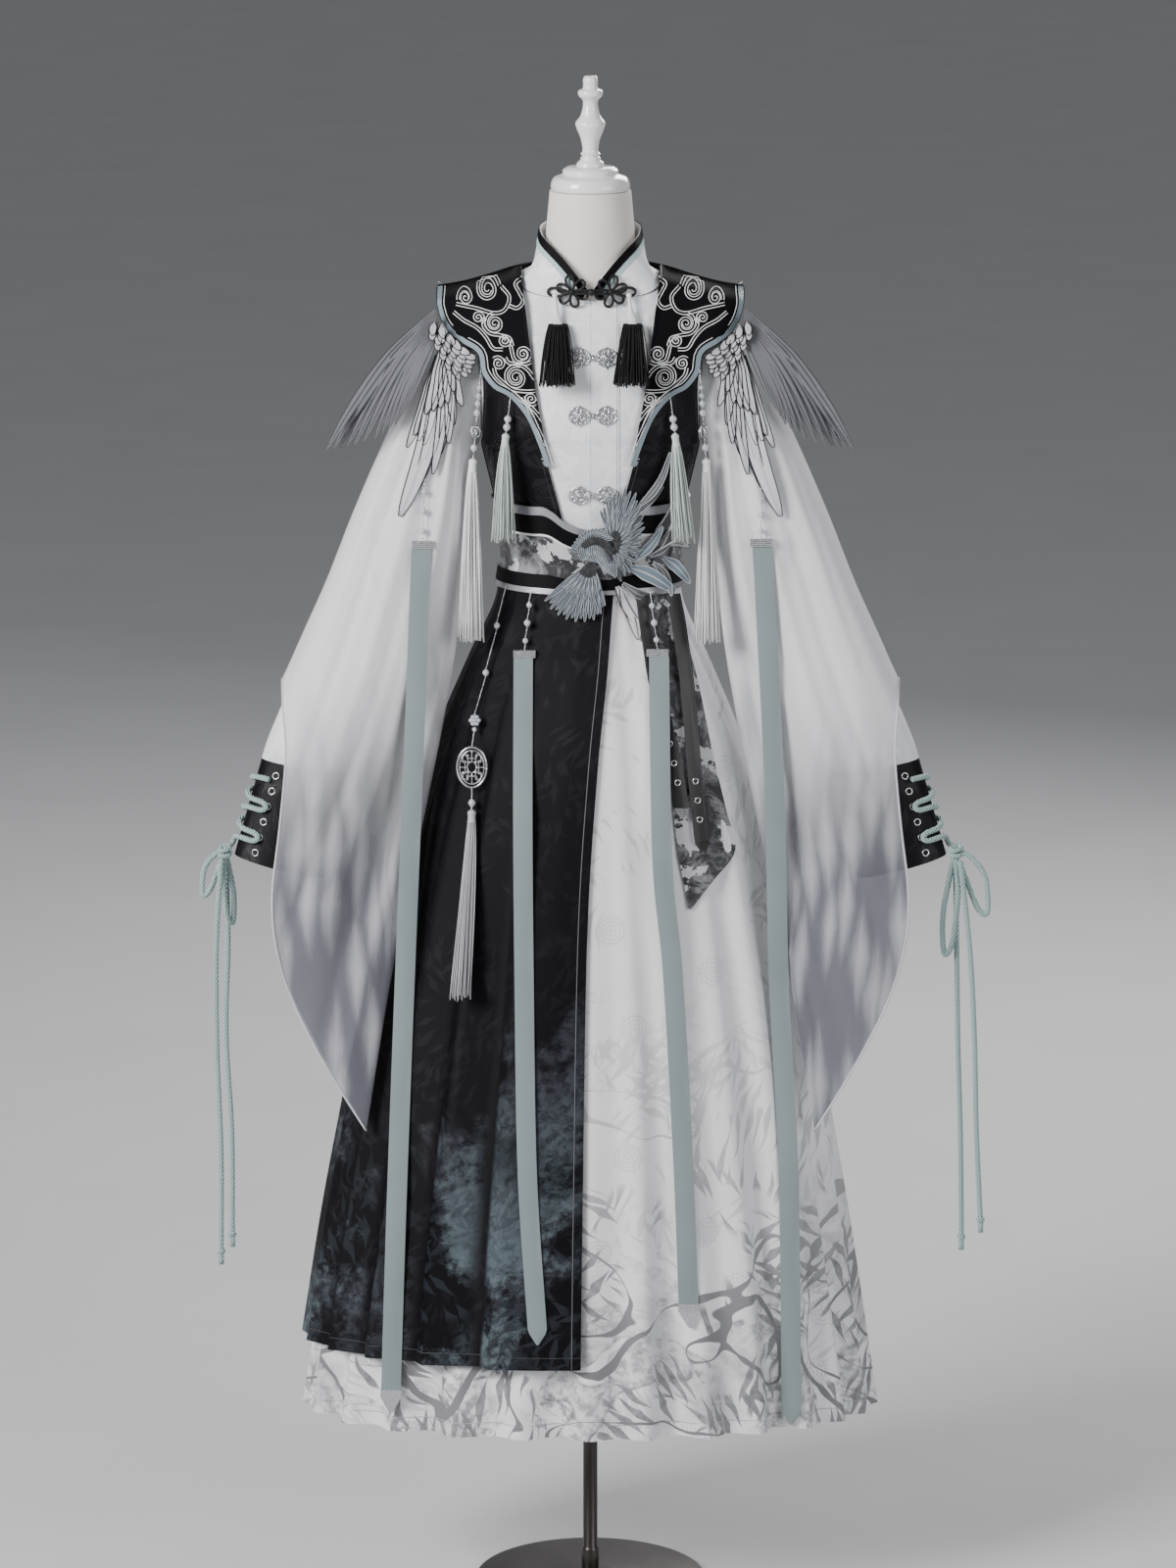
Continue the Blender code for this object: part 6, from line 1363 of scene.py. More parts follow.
def rise_of(name, grid, around):
    """How far the creases lift each point along the cloth's normal."""
    rows, columns = grid.shape[:2]
    u = np.linspace(0.0, 1.0, columns, endpoint=not around)[None, :].repeat(rows, 0)
    v = np.linspace(0.0, 1.0, rows)[:, None].repeat(columns, 1)
    wide = np.linalg.norm(np.diff(grid, axis=1), axis=2).sum(axis=1)[:, None]
    tall = np.linalg.norm(np.diff(grid, axis=0), axis=2).sum(axis=0).mean()
    total = np.zeros((rows, columns))
    for u0, v0, u1, v1, half_width, rise in creases_of(name):
        du, dv = u1 - u0, v1 - v0
        if abs(dv) > 0.3:
            along = np.clip((v - v0) / max(dv, 1e-6), 0.0, 1.0)
        else:
            span = (du * wide.mean()) ** 2 + (dv * tall) ** 2
            along = np.clip(((u - u0) * du * wide.mean() ** 2 + (v - v0) * dv * tall ** 2) / span, 0.0, 1.0)
        off_u = (u - (u0 + du * along)) * wide
        off_v = (v - (v0 + dv * along)) * tall
        near = np.exp(-(off_u ** 2 + off_v ** 2) / half_width ** 2)
        if v1 < 0.97:
            fade = np.sin(np.pi * np.clip(0.12 + 0.88 * along, 0.0, 1.0)) ** 0.6
        else:
            fade = np.minimum(1.0, 0.25 + along)
        total += rise * near * fade
    top, low = EDGE_CALM.get(kind_of(name), (0.06, 0.06))
    calm = np.clip(v / top, 0.0, 1.0) if top else np.ones_like(v)
    if low:
        calm = calm * np.clip((1.0 - v) / low, 0.0, 1.0)
    if not around:
        calm = calm * np.clip(np.minimum(u, 1.0 - u) / 0.03, 0.0, 1.0)
    return total * calm


def dress(made, *nodes, slot=None):
    """Puts a made piece on the body, in the place of the nodes that it stands for."""
    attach(made, "root")
    if nodes:
        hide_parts(*nodes)
    return made


def wall(name, outer, inner, finish, around=False):
    """Refines and creases a piece's two layers and puts it in its CAD node's place."""
    kind = kind_of(name)
    down, across = FINENESS[kind]
    straight = kind in STRAIGHT_ACROSS
    outer = refined(outer, down, across, around, straight)
    inner = refined(inner, down, across, around, straight)
    rise = rise_of(name, outer, around)[..., None]
    normal = grid_normals(outer, around)
    if np.sum(normal * (outer - inner)) < 0.0:
        normal = -normal
    outer, inner = outer + rise * normal, inner + rise * normal
    made = wall_mesh(name + "_cloth", outer, inner, finish, around)
    made_cloth[name] = (made, outer, normal)
    dress(made, name, slot=SLOTS[kind])


# Tools for trims

def tree_of_meshes(meshes):
    points, faces = [], []
    for mesh in meshes:
        start = len(points)
        points += [vertex.co.copy() for vertex in mesh.vertices]
        faces += [tuple(corner + start for corner in face.vertices) for face in mesh.polygons]
    return BVHTree.FromPolygons(points, faces)


def tree_of(*names):
    return tree_of_meshes([made_cloth[name][0].data for name in names])


def node_tree_of(name):
    return tree_of_meshes([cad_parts[name].data])


def front_y(tree, x, height, missing=None):
    """The y of the foremost surface at one place."""
    hit = tree.ray_cast(Vector((x, -1.0, height)), Vector((0.0, 1.0, 0.0)))
    return missing if hit[0] is None else hit[0].y


def clear_y(tree, x, height, half, wish, gap):
    """The wished y, or as far forward as the cloth behind asks for."""
    for share in (-1.0, -0.5, 0.0, 0.5, 1.0):
        found = front_y(tree, x + share * half, height)
        if found is not None:
            wish = min(wish, found - gap)
    return wish


def node_line(node):
    """Heights, from the lowest up, with the middle x, middle y and half width of a node at each."""
    points = np.array([vertex.co[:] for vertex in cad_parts[node].data.vertices])
    levels = {}
    for x, y, height in points:
        levels.setdefault(round(height, 4), []).append((x, y))
    rows = []
    for height in sorted(levels):
        own = np.array(levels[height])
        rows.append((height, own[:, 0].mean(), own[:, 1].mean(), 0.5 * np.ptp(own[:, 0])))
    return np.array(rows)


def closed_rings(rings, sides, start=0):
    """Faces of stacked rings whose first and last are closed."""
    last = start + (rings - 1) * sides
    first_end = tuple(start + side for side in range(sides))
    last_end = tuple(last + side for side in reversed(range(sides)))
    return [*grid_faces(rings, sides, start, True), first_end, last_end]


def tube_parts(path, radii, sides, start):
    path = np.asarray(path, float)
    radii = np.broadcast_to(np.asarray(radii, float), (len(path),))
    ahead = np.gradient(path, axis=0)
    ahead /= np.maximum(np.linalg.norm(ahead, axis=1, keepdims=True), 1e-12)
    across = np.cross(ahead[0], (0.0, 1.0, 0.0) if abs(ahead[0][1]) < 0.9 else (1.0, 0.0, 0.0))
    points = []
    turns = math.tau * (np.arange(sides) + 0.5) / sides
    for place, forward, radius in zip(path, ahead, radii):
        across = across - forward * np.dot(across, forward)
        across /= np.linalg.norm(across)
        upright = np.cross(forward, across)
        points.append(place + radius * (np.cos(turns)[:, None] * across + np.sin(turns)[:, None] * upright))
    return np.concatenate(points), closed_rings(len(path), sides, start)


def tubes(name, paths, radii, sides, finish, sharp=None):
    """One mesh of several tubes; radii is one value, or one for each path."""
    points, faces = [], []
    start = 0
    for order, path in enumerate(paths):
        own = radii[order] if isinstance(radii, list) else radii
        more, more_faces = tube_parts(path, own, sides, start)
        points.append(more)
        faces += more_faces
        start += len(more)
    return make_mesh(name, np.concatenate(points), faces, finish, None, sharp)


def beads(name, places, finish, rings, sides):
    """Balls at (x, y, z, radius); a fifth value squashes their height."""
    points, faces = [], []
    for place in places:
        x, y, height, radius = place[:4]
        squash = place[4] if len(place) > 4 else 1.0
        start = len(points)
        points.append((x, y, height + radius * squash))
        for ring in range(1, rings):
            polar = math.pi * ring / rings
            level = radius * math.sin(polar)
            for side in range(sides):
                turn = math.tau * side / sides
                points.append((x + level * math.cos(turn), y + level * math.sin(turn),
                               height + radius * squash * math.cos(polar)))
        points.append((x, y, height - radius * squash))
        end = len(points) - 1
        for side in range(sides):
            faces.append((start, start + 1 + side, start + 1 + (side + 1) % sides))
            faces.append((end, end - 1 - side, end - 1 - (side + 1) % sides))
        faces += grid_faces(rings - 1, sides, start + 1, True)
    return make_mesh(name, points, faces, finish)


def sampled(grid, row_shares, column_shares):
    """Points of a fine grid at shares of its height and width."""
    rows, columns = grid.shape[:2]
    down = np.clip(np.asarray(row_shares) * (rows - 1), 0, rows - 1.001)
    across = np.clip(np.asarray(column_shares) * (columns - 1), 0, columns - 1.001)
    row, column = down.astype(int), across.astype(int)
    part_down, part_across = (down - row)[:, None, None], (across - column)[None, :, None]
    top = grid[row][:, column] * (1 - part_across) + grid[row][:, column + 1] * part_across
    low = grid[row + 1][:, column] * (1 - part_across) + grid[row + 1][:, column + 1] * part_across
    return top * (1 - part_down) + low * part_down


def lying_strip(name, line, normals, inwards, near, far, finish, lift, thick, columns):
    """A strip along an edge line, from near to far metres inside it, lifted off the cloth."""
    side = np.cross(normals, np.gradient(line, axis=0))
    side /= np.maximum(np.linalg.norm(side, axis=1, keepdims=True), 1e-9)
    side *= np.sign(np.sum(side * (inwards - line), axis=1).sum())
    wide = np.linspace(near, far, columns)
    outer = np.stack([line + side * w + normals * (lift + thick) for w in wide], axis=1)
    inner = np.stack([line + side * w + normals * lift for w in wide], axis=1)
    return wall_mesh(name, outer, inner, finish, False, 40.0)


def row_band(name, piece, low, high, finish, lift, thick, rows=3):
    """A band all round a piece, between two shares of its height."""
    _, grid, normal = made_cloth[piece]
    grid, normal = (np.concatenate([values, values[:, :1]], axis=1) for values in (grid, normal))
    shares = np.linspace(low, high, rows)
    columns = np.linspace(0.0, 1.0, grid.shape[1])
    base, out = sampled(grid, shares, columns), sampled(normal, shares, columns)
    dress(wall_mesh(name, base + out * (lift + thick), base + out * lift, finish, False, 40.0))


def smooth_line(values, times):
    values = np.asarray(values, float)
    for _ in range(times):
        middle = 0.25 * values[:-2] + 0.5 * values[1:-1] + 0.25 * values[2:]
        values = np.concatenate([values[:1], middle, values[-1:]])
    return values


def smooth_route(route, count):
    """Points spaced along a smooth curve through the route's own points."""
    route = np.asarray(route, float)
    padded = np.concatenate([[2.0 * route[0] - route[1]], route, [2.0 * route[-1] - route[-2]]])
    dense = []
    for index in range(1, len(padded) - 2):
        before, start, end, after = padded[index - 1:index + 3]
        for step in range(12):
            t = step / 12.0
            dense.append(0.5 * (2.0 * start + (end - before) * t
                                + (2.0 * before - 5.0 * start + 4.0 * end - after) * t ** 2
                                + (3.0 * start - 3.0 * end + after - before) * t ** 3))
    dense.append(route[-1])
    dense = np.array(dense)
    lengths = np.concatenate([[0.0], np.cumsum(np.linalg.norm(np.diff(dense, axis=0), axis=1))])
    wanted = np.linspace(0.0, lengths[-1], count)
    return np.stack([np.interp(wanted, lengths, dense[:, axis]) for axis in range(route.shape[1])], axis=1)


# The dress form and its stand

def turned_piece(name, profile, sides, finish, slot, sharp):
    """A closed body turned round the z axis; profile is (radius, height) from one end to the other."""
    points = []
    for radius, height in profile:
        for side in range(sides):
            turn = math.tau * side / sides
            points.append((radius * math.cos(turn), radius * math.sin(turn), height))
    made = make_mesh(name + "_turned", points, closed_rings(len(profile), sides), finish, None, sharp)
    dress(made, name, slot=slot)


def smooth_profile(profile, base, count):
    rows = smooth_route([(radius, base + height) for radius, height in profile], count)
    rows[:, 0] = np.maximum(rows[:, 0], 0.002)
    return rows


def add_form():
    base = ((BASE_RADIUS - 0.001, 0.0), (BASE_RADIUS, 0.001), (BASE_RADIUS, 0.0045),
            (BASE_RADIUS - 0.0015, 0.0066), (BASE_RADIUS - 0.005, 0.0076), (0.100, 0.0096),
            (0.060, 0.0115), (0.034, 0.0132), (0.026, BASE_HEIGHT))
    turned_piece("form_base", base, 96, DARK_METAL, "dark_metal", 60.0)
    foot = BASE_HEIGHT + SEAM
    pole = ((0.0108, foot), (0.0112, foot + 0.001), (0.0112, 0.0445), (0.0100, 0.0465), (POLE_RADIUS, 0.0475),
            (POLE_RADIUS, 0.30), (POLE_RADIUS, 0.62), (POLE_RADIUS, FORM_BOTTOM - SEAM))
    turned_piece("form_pole", pole, 40, DARK_METAL, "dark_metal", 40.0)
    heights = [*np.arange(FORM_BOTTOM, 1.66, 0.010), *np.arange(1.66, NECK_TOP, 0.0045), NECK_TOP]
    sides = 72
    points = []
    for height in heights:
        for side in range(sides):
            angle = math.tau * side / sides
            ease = BACK_EASE + CHEST_EASE * abs(math.sin(angle)) if 1.45 < height < 1.70 else 0.0
            points.append(body_point(angle, height, -ease))
    cover = make_mesh("form_torso_cover", points, closed_rings(len(heights), sides), IVORY, None, 50.0)
    dress(cover, "form_torso", slot="form_cloth")
    cap_foot = NECK_TOP + SEAM
    cap = smooth_profile(CAP_PROFILE, cap_foot, 30)
    turned_piece("form_neck_cap", cap, 64, GLOSS_WHITE, "white_lacquer", 60.0)
    finial_foot = cap_foot + CAP_PROFILE[-1][1] + SEAM
    finial = smooth_profile(FINIAL_PROFILE, finial_foot, 76)
    turned_piece("form_finial", finial, 48, GLOSS_WHITE, "white_lacquer", 70.0)


# Collars: bindings and scroll embroidery

# Spirals of the shoulder collar's embroidery: middle x and height, reach, turns, start in degrees, way
SCROLLS = (
    (-0.1270, 1.6980, 0.0155, 1.9, 20, 1), (-0.1545, 1.6880, 0.0095, 1.6, 200, -1),
    (-0.1180, 1.6585, 0.0120, 1.7, 100, 1), (-0.1060, 1.6390, 0.0072, 1.5, 30, -1),
    (-0.0830, 1.6240, 0.0098, 1.7, 250, 1), (-0.1135, 1.6110, 0.0078, 1.6, 140, -1),
    (-0.0915, 1.5950, 0.0150, 1.9, 70, 1), (-0.1385, 1.6650, 0.0070, 1.4, 300, 1),
    (-0.0730, 1.5700, 0.0082, 1.6, 0, -1),
)
# Double lines that join them: points of x and height
STEMS = (
    (
        (-0.0830, 1.7130), (-0.0925, 1.7060), (-0.0875, 1.6960), (-0.0830, 1.6860), (-0.0900, 1.6780),
        (-0.1000, 1.6800),
    ),
    (
        (-0.1100, 1.7020), (-0.1000, 1.6900), (-0.1060, 1.6750), (-0.1200, 1.6710), (-0.1420, 1.6760),
        (-0.1660, 1.6800),
    ),
    (
        (-0.1300, 1.6650), (-0.1320, 1.6560), (-0.1240, 1.6470), (-0.1120, 1.6450), (-0.1000, 1.6420),
        (-0.0960, 1.6330),
    ),
    (
        (-0.1690, 1.6700), (-0.1560, 1.6610), (-0.1400, 1.6530), (-0.1290, 1.6420), (-0.1200, 1.6290),
        (-0.1080, 1.6280),
    ),
    ((-0.0980, 1.6330), (-0.0960, 1.6230), (-0.0920, 1.6150), (-0.0800, 1.6120), (-0.0720, 1.6150)),
    (
        (-0.1190, 1.6050), (-0.1160, 1.5960), (-0.1060, 1.5870), (-0.0940, 1.5800), (-0.0800, 1.5790),
        (-0.0680, 1.5800),
    ),
    (
        (-0.1050, 1.6180), (-0.1000, 1.6120), (-0.0880, 1.6110), (-0.0770, 1.6050), (-0.0700, 1.5960),
        (-0.0650, 1.5900),
    ),
    ((-0.0960, 1.5770), (-0.0850, 1.5680), (-0.0720, 1.5590), (-0.0620, 1.5480), (-0.0570, 1.5380)),
    ((-0.0830, 1.5720), (-0.0700, 1.5460), (-0.0580, 1.5200), (-0.0480, 1.4980)),
)
STITCH = 0.00062
PAIR_GAP = 0.0017


def spiral(x, height, reach, turns, start, way):
    """A flat spiral drawn inwards from its reach."""
    steps = int(26 * turns)
    line = []
    for step in range(steps + 1):
        share = step / steps
        turn = math.radians(start) + way * math.tau * turns * share
        size = reach * (1.0 - 0.80 * share ** 0.85)
        line.append((x + size * math.cos(turn), height + size * math.sin(turn)))
    return np.array(line)


def pair_of(line, gap):
    """The two lines at this distance either side of a flat line."""
    ahead = np.gradient(line, axis=0)
    ahead /= np.maximum(np.linalg.norm(ahead, axis=1, keepdims=True), 1e-9)
    aside = np.stack([-ahead[:, 1], ahead[:, 0]], axis=1)
    return line + aside * gap, line - aside * gap


def laid(tree, line, lift):
    """Flat points set on the front of what lies behind them; points with nothing behind are left out."""
    out = []
    for x, height in line:
        y = front_y(tree, x, height)
        if y is not None:
            out.append((x, y - lift, height))
    return np.array(out)


def add_embroidery():
    for side, label in SIDES:
        tree = tree_of(f"cloud_collar_{label}")
        lines = [pair_of(spiral(*row), PAIR_GAP) for row in SCROLLS]
        lines += [pair_of(smooth_route(route, 12 * len(route)), PAIR_GAP) for route in STEMS]
        paths = []
        for pair in lines:
            for line in pair:
                line[:, 0] *= -side
                path = laid(tree, line, STITCH * 0.3)
                if len(path) > 4:
                    paths.append(path)
        dress(tubes(f"scroll_stitches_{label}", paths, STITCH, 5, SILVER_THREAD))


def edge_of(piece, edge):
    """The points on one edge of a piece, the next ones inside it, and the normals at the edge."""
    _, grid, normal = made_cloth[piece]
    own, inside = {"top": (np.s_[0, :], np.s_[1, :]), "foot": (np.s_[-1, :], np.s_[-2, :]),
                   "start": (np.s_[:, 0], np.s_[:, 1]), "end": (np.s_[:, -1], np.s_[:, -2])}[edge]
    return grid[own], grid[inside], normal[own]


def edge_strip(name, piece, edge, near, far, finish, lift, thick, columns):
    """A strip along one edge of a piece: top, foot, start or end."""
    line, inwards, out = edge_of(piece, edge)
    dress(lying_strip(name, line, out, inwards, near, far, finish, lift, thick, columns))


def add_bindings():
    binding = (0.0016, 0.0078, BINDING, 0.0002, 0.0008, 4)
    fine_line = (0.0105, 0.0113, SILVER_THREAD, 0.0001, 0.0006, 2)
    for label in ("left", "right"):
        piece = f"cloud_collar_{label}"
        for edge in ("end", "foot"):
            edge_strip(f"{piece}_binding_{edge}", piece, edge, *binding)
            edge_strip(f"{piece}_line_{edge}", piece, edge, *fine_line)
        edge_strip(f"{piece}_edge_seam", piece, "start", 0.0006, 0.0030, BLACK_BIAS, 0.0001, 0.0005, 2)
    edge_strip("cloud_collar_back_binding", "cloud_collar_back", "foot", *binding)
    edge_strip("cloud_collar_back_line", "cloud_collar_back", "foot", *fine_line)
    edge_strip("stand_collar_binding", "stand_collar", "foot", -0.0006, 0.0085, BLACK_BIAS, 0.0001, 0.0010, 4)
    edge_strip("stand_collar_band", "stand_collar", "foot", 0.0088, 0.0150, PALE_BAND, 0.0001, 0.0005, 3)
    for edge in ("start", "end"):
        edge_strip(f"stand_collar_{edge}_binding", "stand_collar", edge, -0.0004, 0.0075, BLACK_BIAS,
                   0.0001, 0.0010, 4)


# Belt, hems and seams

def add_belt_bands():
    row_band("belt_top_trim", "belt", 0.0, 0.075, SILVER_TRIM, 0.0002, 0.0009)
    row_band("belt_upper_band", "belt", 0.078, 0.27, BLACK_BIAS, 0.0001, 0.0006, rows=5)
    row_band("belt_thread", "belt", 0.715, 0.735, SILVER_THREAD, 0.0002, 0.0007)
    row_band("belt_lower_band", "belt", 0.738, 0.915, BLACK_BIAS, 0.0001, 0.0006, rows=5)
    row_band("belt_foot_trim", "belt", 0.918, 1.0, SILVER_TRIM, 0.0002, 0.0009)


def seam_tube(name, piece, edge, inset, radius, finish, lift, step=2):
    """A line of stitches this far inside one edge of a piece."""
    line, inwards, out = edge_of(piece, edge)
    inwards = inwards - line
    inwards /= np.maximum(np.linalg.norm(inwards, axis=1, keepdims=True), 1e-9)
    line = line + inwards * inset + out * lift
    dress(tubes(name, [line[::step]], radius, 6, finish))


def ring_tube(name, piece, row, radius, sides, finish):
    """A tube once round a sleeve, along one row of its cloth."""
    ring = made_cloth[piece][1][row]
    dress(tubes(name, [np.concatenate([ring, ring[:1]])], radius, sides, finish))


def add_seams():
    for label in ("left", "right"):
        ring_tube(f"overlay_hem_{label}", f"overlay_sleeve_{label}", -1, 0.0014, 7, HEM_ROLL)
        ring_tube(f"arm_head_seam_{label}", f"arm_sleeve_{label}", 3, 0.0007, 5, SEAM_WHITE)
    seam_tube("overskirt_edge_stitch", "black_overskirt", "start", 0.0115, 0.0006, EDGE_LINE, 0.0002)
    seam_tube("overskirt_hem_stitch", "black_overskirt", "foot", 0.016, 0.0005, SEAM_BLACK, 0.0002)
    for piece in ("white_skirt_front", "white_skirt_back"):
        seam_tube(f"{piece}_hem_stitch", piece, "foot", 0.018, 0.0005, SEAM_WHITE, 0.0001)
    edge_strip("shirt_placket", "shirt_front_right", "start", 0.0004, 0.0350, WHITE_SATIN, 0.0001, 0.0006, 8)
    seam_tube("shirt_placket_stitch", "shirt_front_right", "start", 0.0325, 0.0004, SEAM_WHITE, 0.0008, 1)
    for piece in ("vest_front_left", "vest_front_right"):
        for edge in ("start", "end"):
            seam_tube(f"{piece}_{edge}_stitch", piece, edge, 0.006, 0.0004, SEAM_BLACK, 0.0001, 1)


# Tassels, chains and ribbons. Their lines are read from the CAD pieces that they stand for.

# How far a chain's wire wavers about its line, and the length of one wave
CHAIN_WOBBLE, CHAIN_PITCH = 0.0005, 0.0024


def line_at(rows, height):
    return read(rows, height, 1), read(rows, height, 2)


def on_line(rows, height, radius, squash=1.0):
    x, y = line_at(rows, height)
    return (x, y, height, radius, squash)


def chain_path(rows, high, low):
    """Linked wire along a line, drawn as a twisting tube."""
    path = []
    for height in np.arange(high, low, -0.0006):
        x, y = line_at(rows, height)
        turn = math.tau * (high - height) / CHAIN_PITCH
        path.append((x + CHAIN_WOBBLE * math.cos(turn), y + CHAIN_WOBBLE * math.sin(turn), height))
    return np.array(path)


def filigree_bead(rows, height, radius, paths, balls):
    """An openwork bead: wires from pole to pole and a ring of small balls."""
    x, y = line_at(rows, height)
    for wire in range(7):
        path = []
        for step in range(9):
            polar = math.pi * (0.06 + 0.88 * step / 8)
            turn = math.tau * wire / 7 + 0.6 * step / 8
            level = radius * math.sin(polar)
            path.append((x + level * math.cos(turn), y + level * math.sin(turn),
                         height + 1.15 * radius * math.cos(polar)))
        paths.append(np.array(path))
    for ball in range(7):
        turn = math.tau * (ball + 0.5) / 7
        balls.append((x + radius * math.cos(turn), y + radius * math.sin(turn), height, 0.0011))


# The pearls' heights and radii on one chain
OUTER_PEARLS = ((1.5800, 0.0030), (1.5700, 0.0034), (1.5600, 0.0040), (1.5485, 0.0044), (1.5050, 0.0046))
INNER_PEARLS = ((1.5440, 0.0046), (1.5340, 0.0046))
PENDANT_PEARLS = ((1.0640, 0.0046),)
# Node, slot, silk; height of the chain's top, of the head's foot, of the end; head radius, end radius,
# strands; pearls; filigree bead's height or 0
TASSEL_SHAPES = (
    ("chest_tassel_outer_left", "tassel_white", TASSEL_WHITE,
     1.6030, 1.4790, 1.2600, 0.0056, 0.0180, 54, OUTER_PEARLS, 1.5250),
    ("chest_tassel_outer_right", "tassel_white", TASSEL_WHITE,
     1.6030, 1.4790, 1.2600, 0.0056, 0.0180, 54, OUTER_PEARLS, 1.5250),
    ("chest_tassel_inner_left", "tassel_pale_green", TASSEL_GREEN,
     1.5710, 1.5140, 1.3880, 0.0050, 0.0175, 50, INNER_PEARLS, 0.0),
    ("chest_tassel_inner_right", "tassel_pale_green", TASSEL_GREEN,
     1.5710, 1.5140, 1.3880, 0.0050, 0.0165, 50, INNER_PEARLS, 0.0),
    ("pendant_tassel", "pearl", TASSEL_GREY,
     1.0824, 1.0430, 0.8236, 0.0056, 0.0150, 50, PENDANT_PEARLS, 0.0),
)


def strand_paths(rows, top, end, head, wide, count, flat, uneven, seed):
    """Strands that leave a head at its foot and spread to the end circle, each a little uneven."""
    chance = np.random.default_rng(seed)
    paths = []
    for strand in range(count):
        share = math.sqrt((strand + 0.5) / count)
        turn = 2.39996 * strand
        low = end + uneven * chance.random()
        sway = chance.normal(0.0, 0.0007, 2)
        path = []
        for step in range(9):
            t = step / 8
            height = top + (low - top) * t
            x, y = line_at(rows, height)
            size = (head * 0.85 + (wide - head * 0.85) * t ** 0.75) * share
            bend = math.sin(math.pi * min(1.0, 1.15 * t))
            path.append((x + size * math.cos(turn) + sway[0] * bend,
                         y + flat * size * math.sin(turn) + sway[1] * bend, height))
        paths.append(np.array(path))
    return paths


def tassel_head(rows, foot, head):
    """A bound cap: its rings' heights and radii as one turned tube."""
    heights = np.linspace(foot + 0.0125, foot - 0.004, 12)
    radii = head * np.array([0.35, 0.75, 0.95, 1.0, 0.86, 0.90, 0.84, 0.90, 0.84, 0.92, 0.98, 0.90])
    return np.array([(*line_at(rows, height), height) for height in heights]), radii


def add_tassels():
    for order, shape in enumerate(TASSEL_SHAPES):
        node, slot, silk, top, foot, end, head, wide, count, pearls, openwork = shape
        rows = node_line(node)
        strands = strand_paths(rows, foot + 0.001, end, head, wide - 0.001, count, 0.8, 0.010, 11 + order)
        dress(tubes(f"{node}_strands", strands, 0.00085, 4, silk), node, slot=slot)
        cap, radii = tassel_head(rows, foot, head)
        dress(tubes(f"{node}_head", [cap], [radii], 18, silk, 60.0))
        wires, balls = [chain_path(rows, top, foot + 0.0115)], []
        if openwork:
            filigree_bead(rows, openwork, 0.0064, wires, balls)
        dress(tubes(f"{node}_chain", wires, 0.00055, 6, SILVER))
        balls_on = [on_line(rows, height, radius) for height, radius in pearls]
        dress(beads(f"{node}_pearls", balls_on, PEARL, 10, 18))
        caps = [on_line(rows, height + way * radius * 0.92, radius * 0.50, 0.45)
                for height, radius in pearls for way in (-1, 1)]
        dress(beads(f"{node}_caps", caps + [(*ball, 1.0) for ball in balls], SILVER, 6, 12))


def add_collar_tassels():
    """Black brush tassels whose threads are white at the top."""
    top, foot = 1.6930, 1.6180
    for order, node in enumerate(("collar_tassel_left", "collar_tassel_right")):
        rows = node_line(node)
        strands = strand_paths(rows, 1.6600, 1.5880, 0.0135, 0.0225, 150, 0.62, 0.008, 31 + order)
        dress(tubes(f"{node}_brush", strands, 0.00080, 4, TASSEL_BLACK), node, slot="tassel_black")
        threads_up = []
        for strand in range(12):
            share = (strand - 5.5) / 5.5
            path = []
            for step in range(9):
                t = step / 8
                height = top + (foot - top) * t
                x, y = line_at(rows, height)
                bulge = 0.0050 * math.sin(math.pi * t) * (1.0 - share ** 2) ** 0.5 * 0.3
                path.append((x + share * (0.0012 + 0.0150 * t ** 1.6), y - 0.0006 - bulge, height))
            threads_up.append(np.array(path))
        dress(tubes(f"{node}_threads", threads_up, 0.00060, 4, TASSEL_WHITE))
        knot = [on_line(rows, 1.6935, 0.0034), on_line(rows, 1.6890, 0.0028)]
        dress(beads(f"{node}_knot", knot, TASSEL_WHITE, 8, 12))


# Ribbons: node, height of the clamp's top, whether it has a silver end, and the slow waves down it as
# reach, length and start
RIBBONS = (
    ("sleeve_ribbon_left", 1.3890, True, 0.0016, 0.31, 0.2),
    ("skirt_ribbon_left", 1.2538, False, 0.0014, 0.36, 1.4),
    ("skirt_ribbon_right", 1.2563, True, 0.0015, 0.29, 2.3),
    ("sleeve_ribbon_right", 1.3922, False, 0.0016, 0.33, 3.1),
)
CLAMP_HALF, CLAMP_HEIGHT, CLAMP_DEPTH = 0.0135, 0.0095, 0.0028
RIBBON_GAP, RIBBON_SHIFT_MOST = 0.0012, 0.012


def clamp_mesh(name, centre, half, finish):
    """A box with shallow ridges round it."""
    x, y, z = centre
    wide, deep, tall = half
    points = []
    for level, share in enumerate(np.linspace(-1.0, 1.0, 9)):
        ridge = 0.12 if level % 2 else 0.0
        for way_x, way_y in ((-1, -1), (1, -1), (1, 1), (-1, 1)):
            points.append((x + way_x * wide * (1.0 + 0.25 * ridge), y + way_y * deep * (1.0 + ridge),
                           z + share * tall))
    faces = grid_faces(9, 4, 0, True) + [(0, 1, 2, 3), (35, 34, 33, 32)]
    return make_mesh(name, points, faces, finish, None, 30.0)


def capped_pearls(name, pearls):
    """Pearls on a chain, each with a small silver cap above and below."""
    dress(beads(f"{name}_pearls", pearls, PEARL, 10, 18))
    caps = [(x, y, height + way * 0.92 * radius, 0.5 * radius, 0.45)
            for x, y, height, radius, _ in pearls for way in (-1, 1)]
    dress(beads(f"{name}_caps", caps, SILVER, 6, 12))


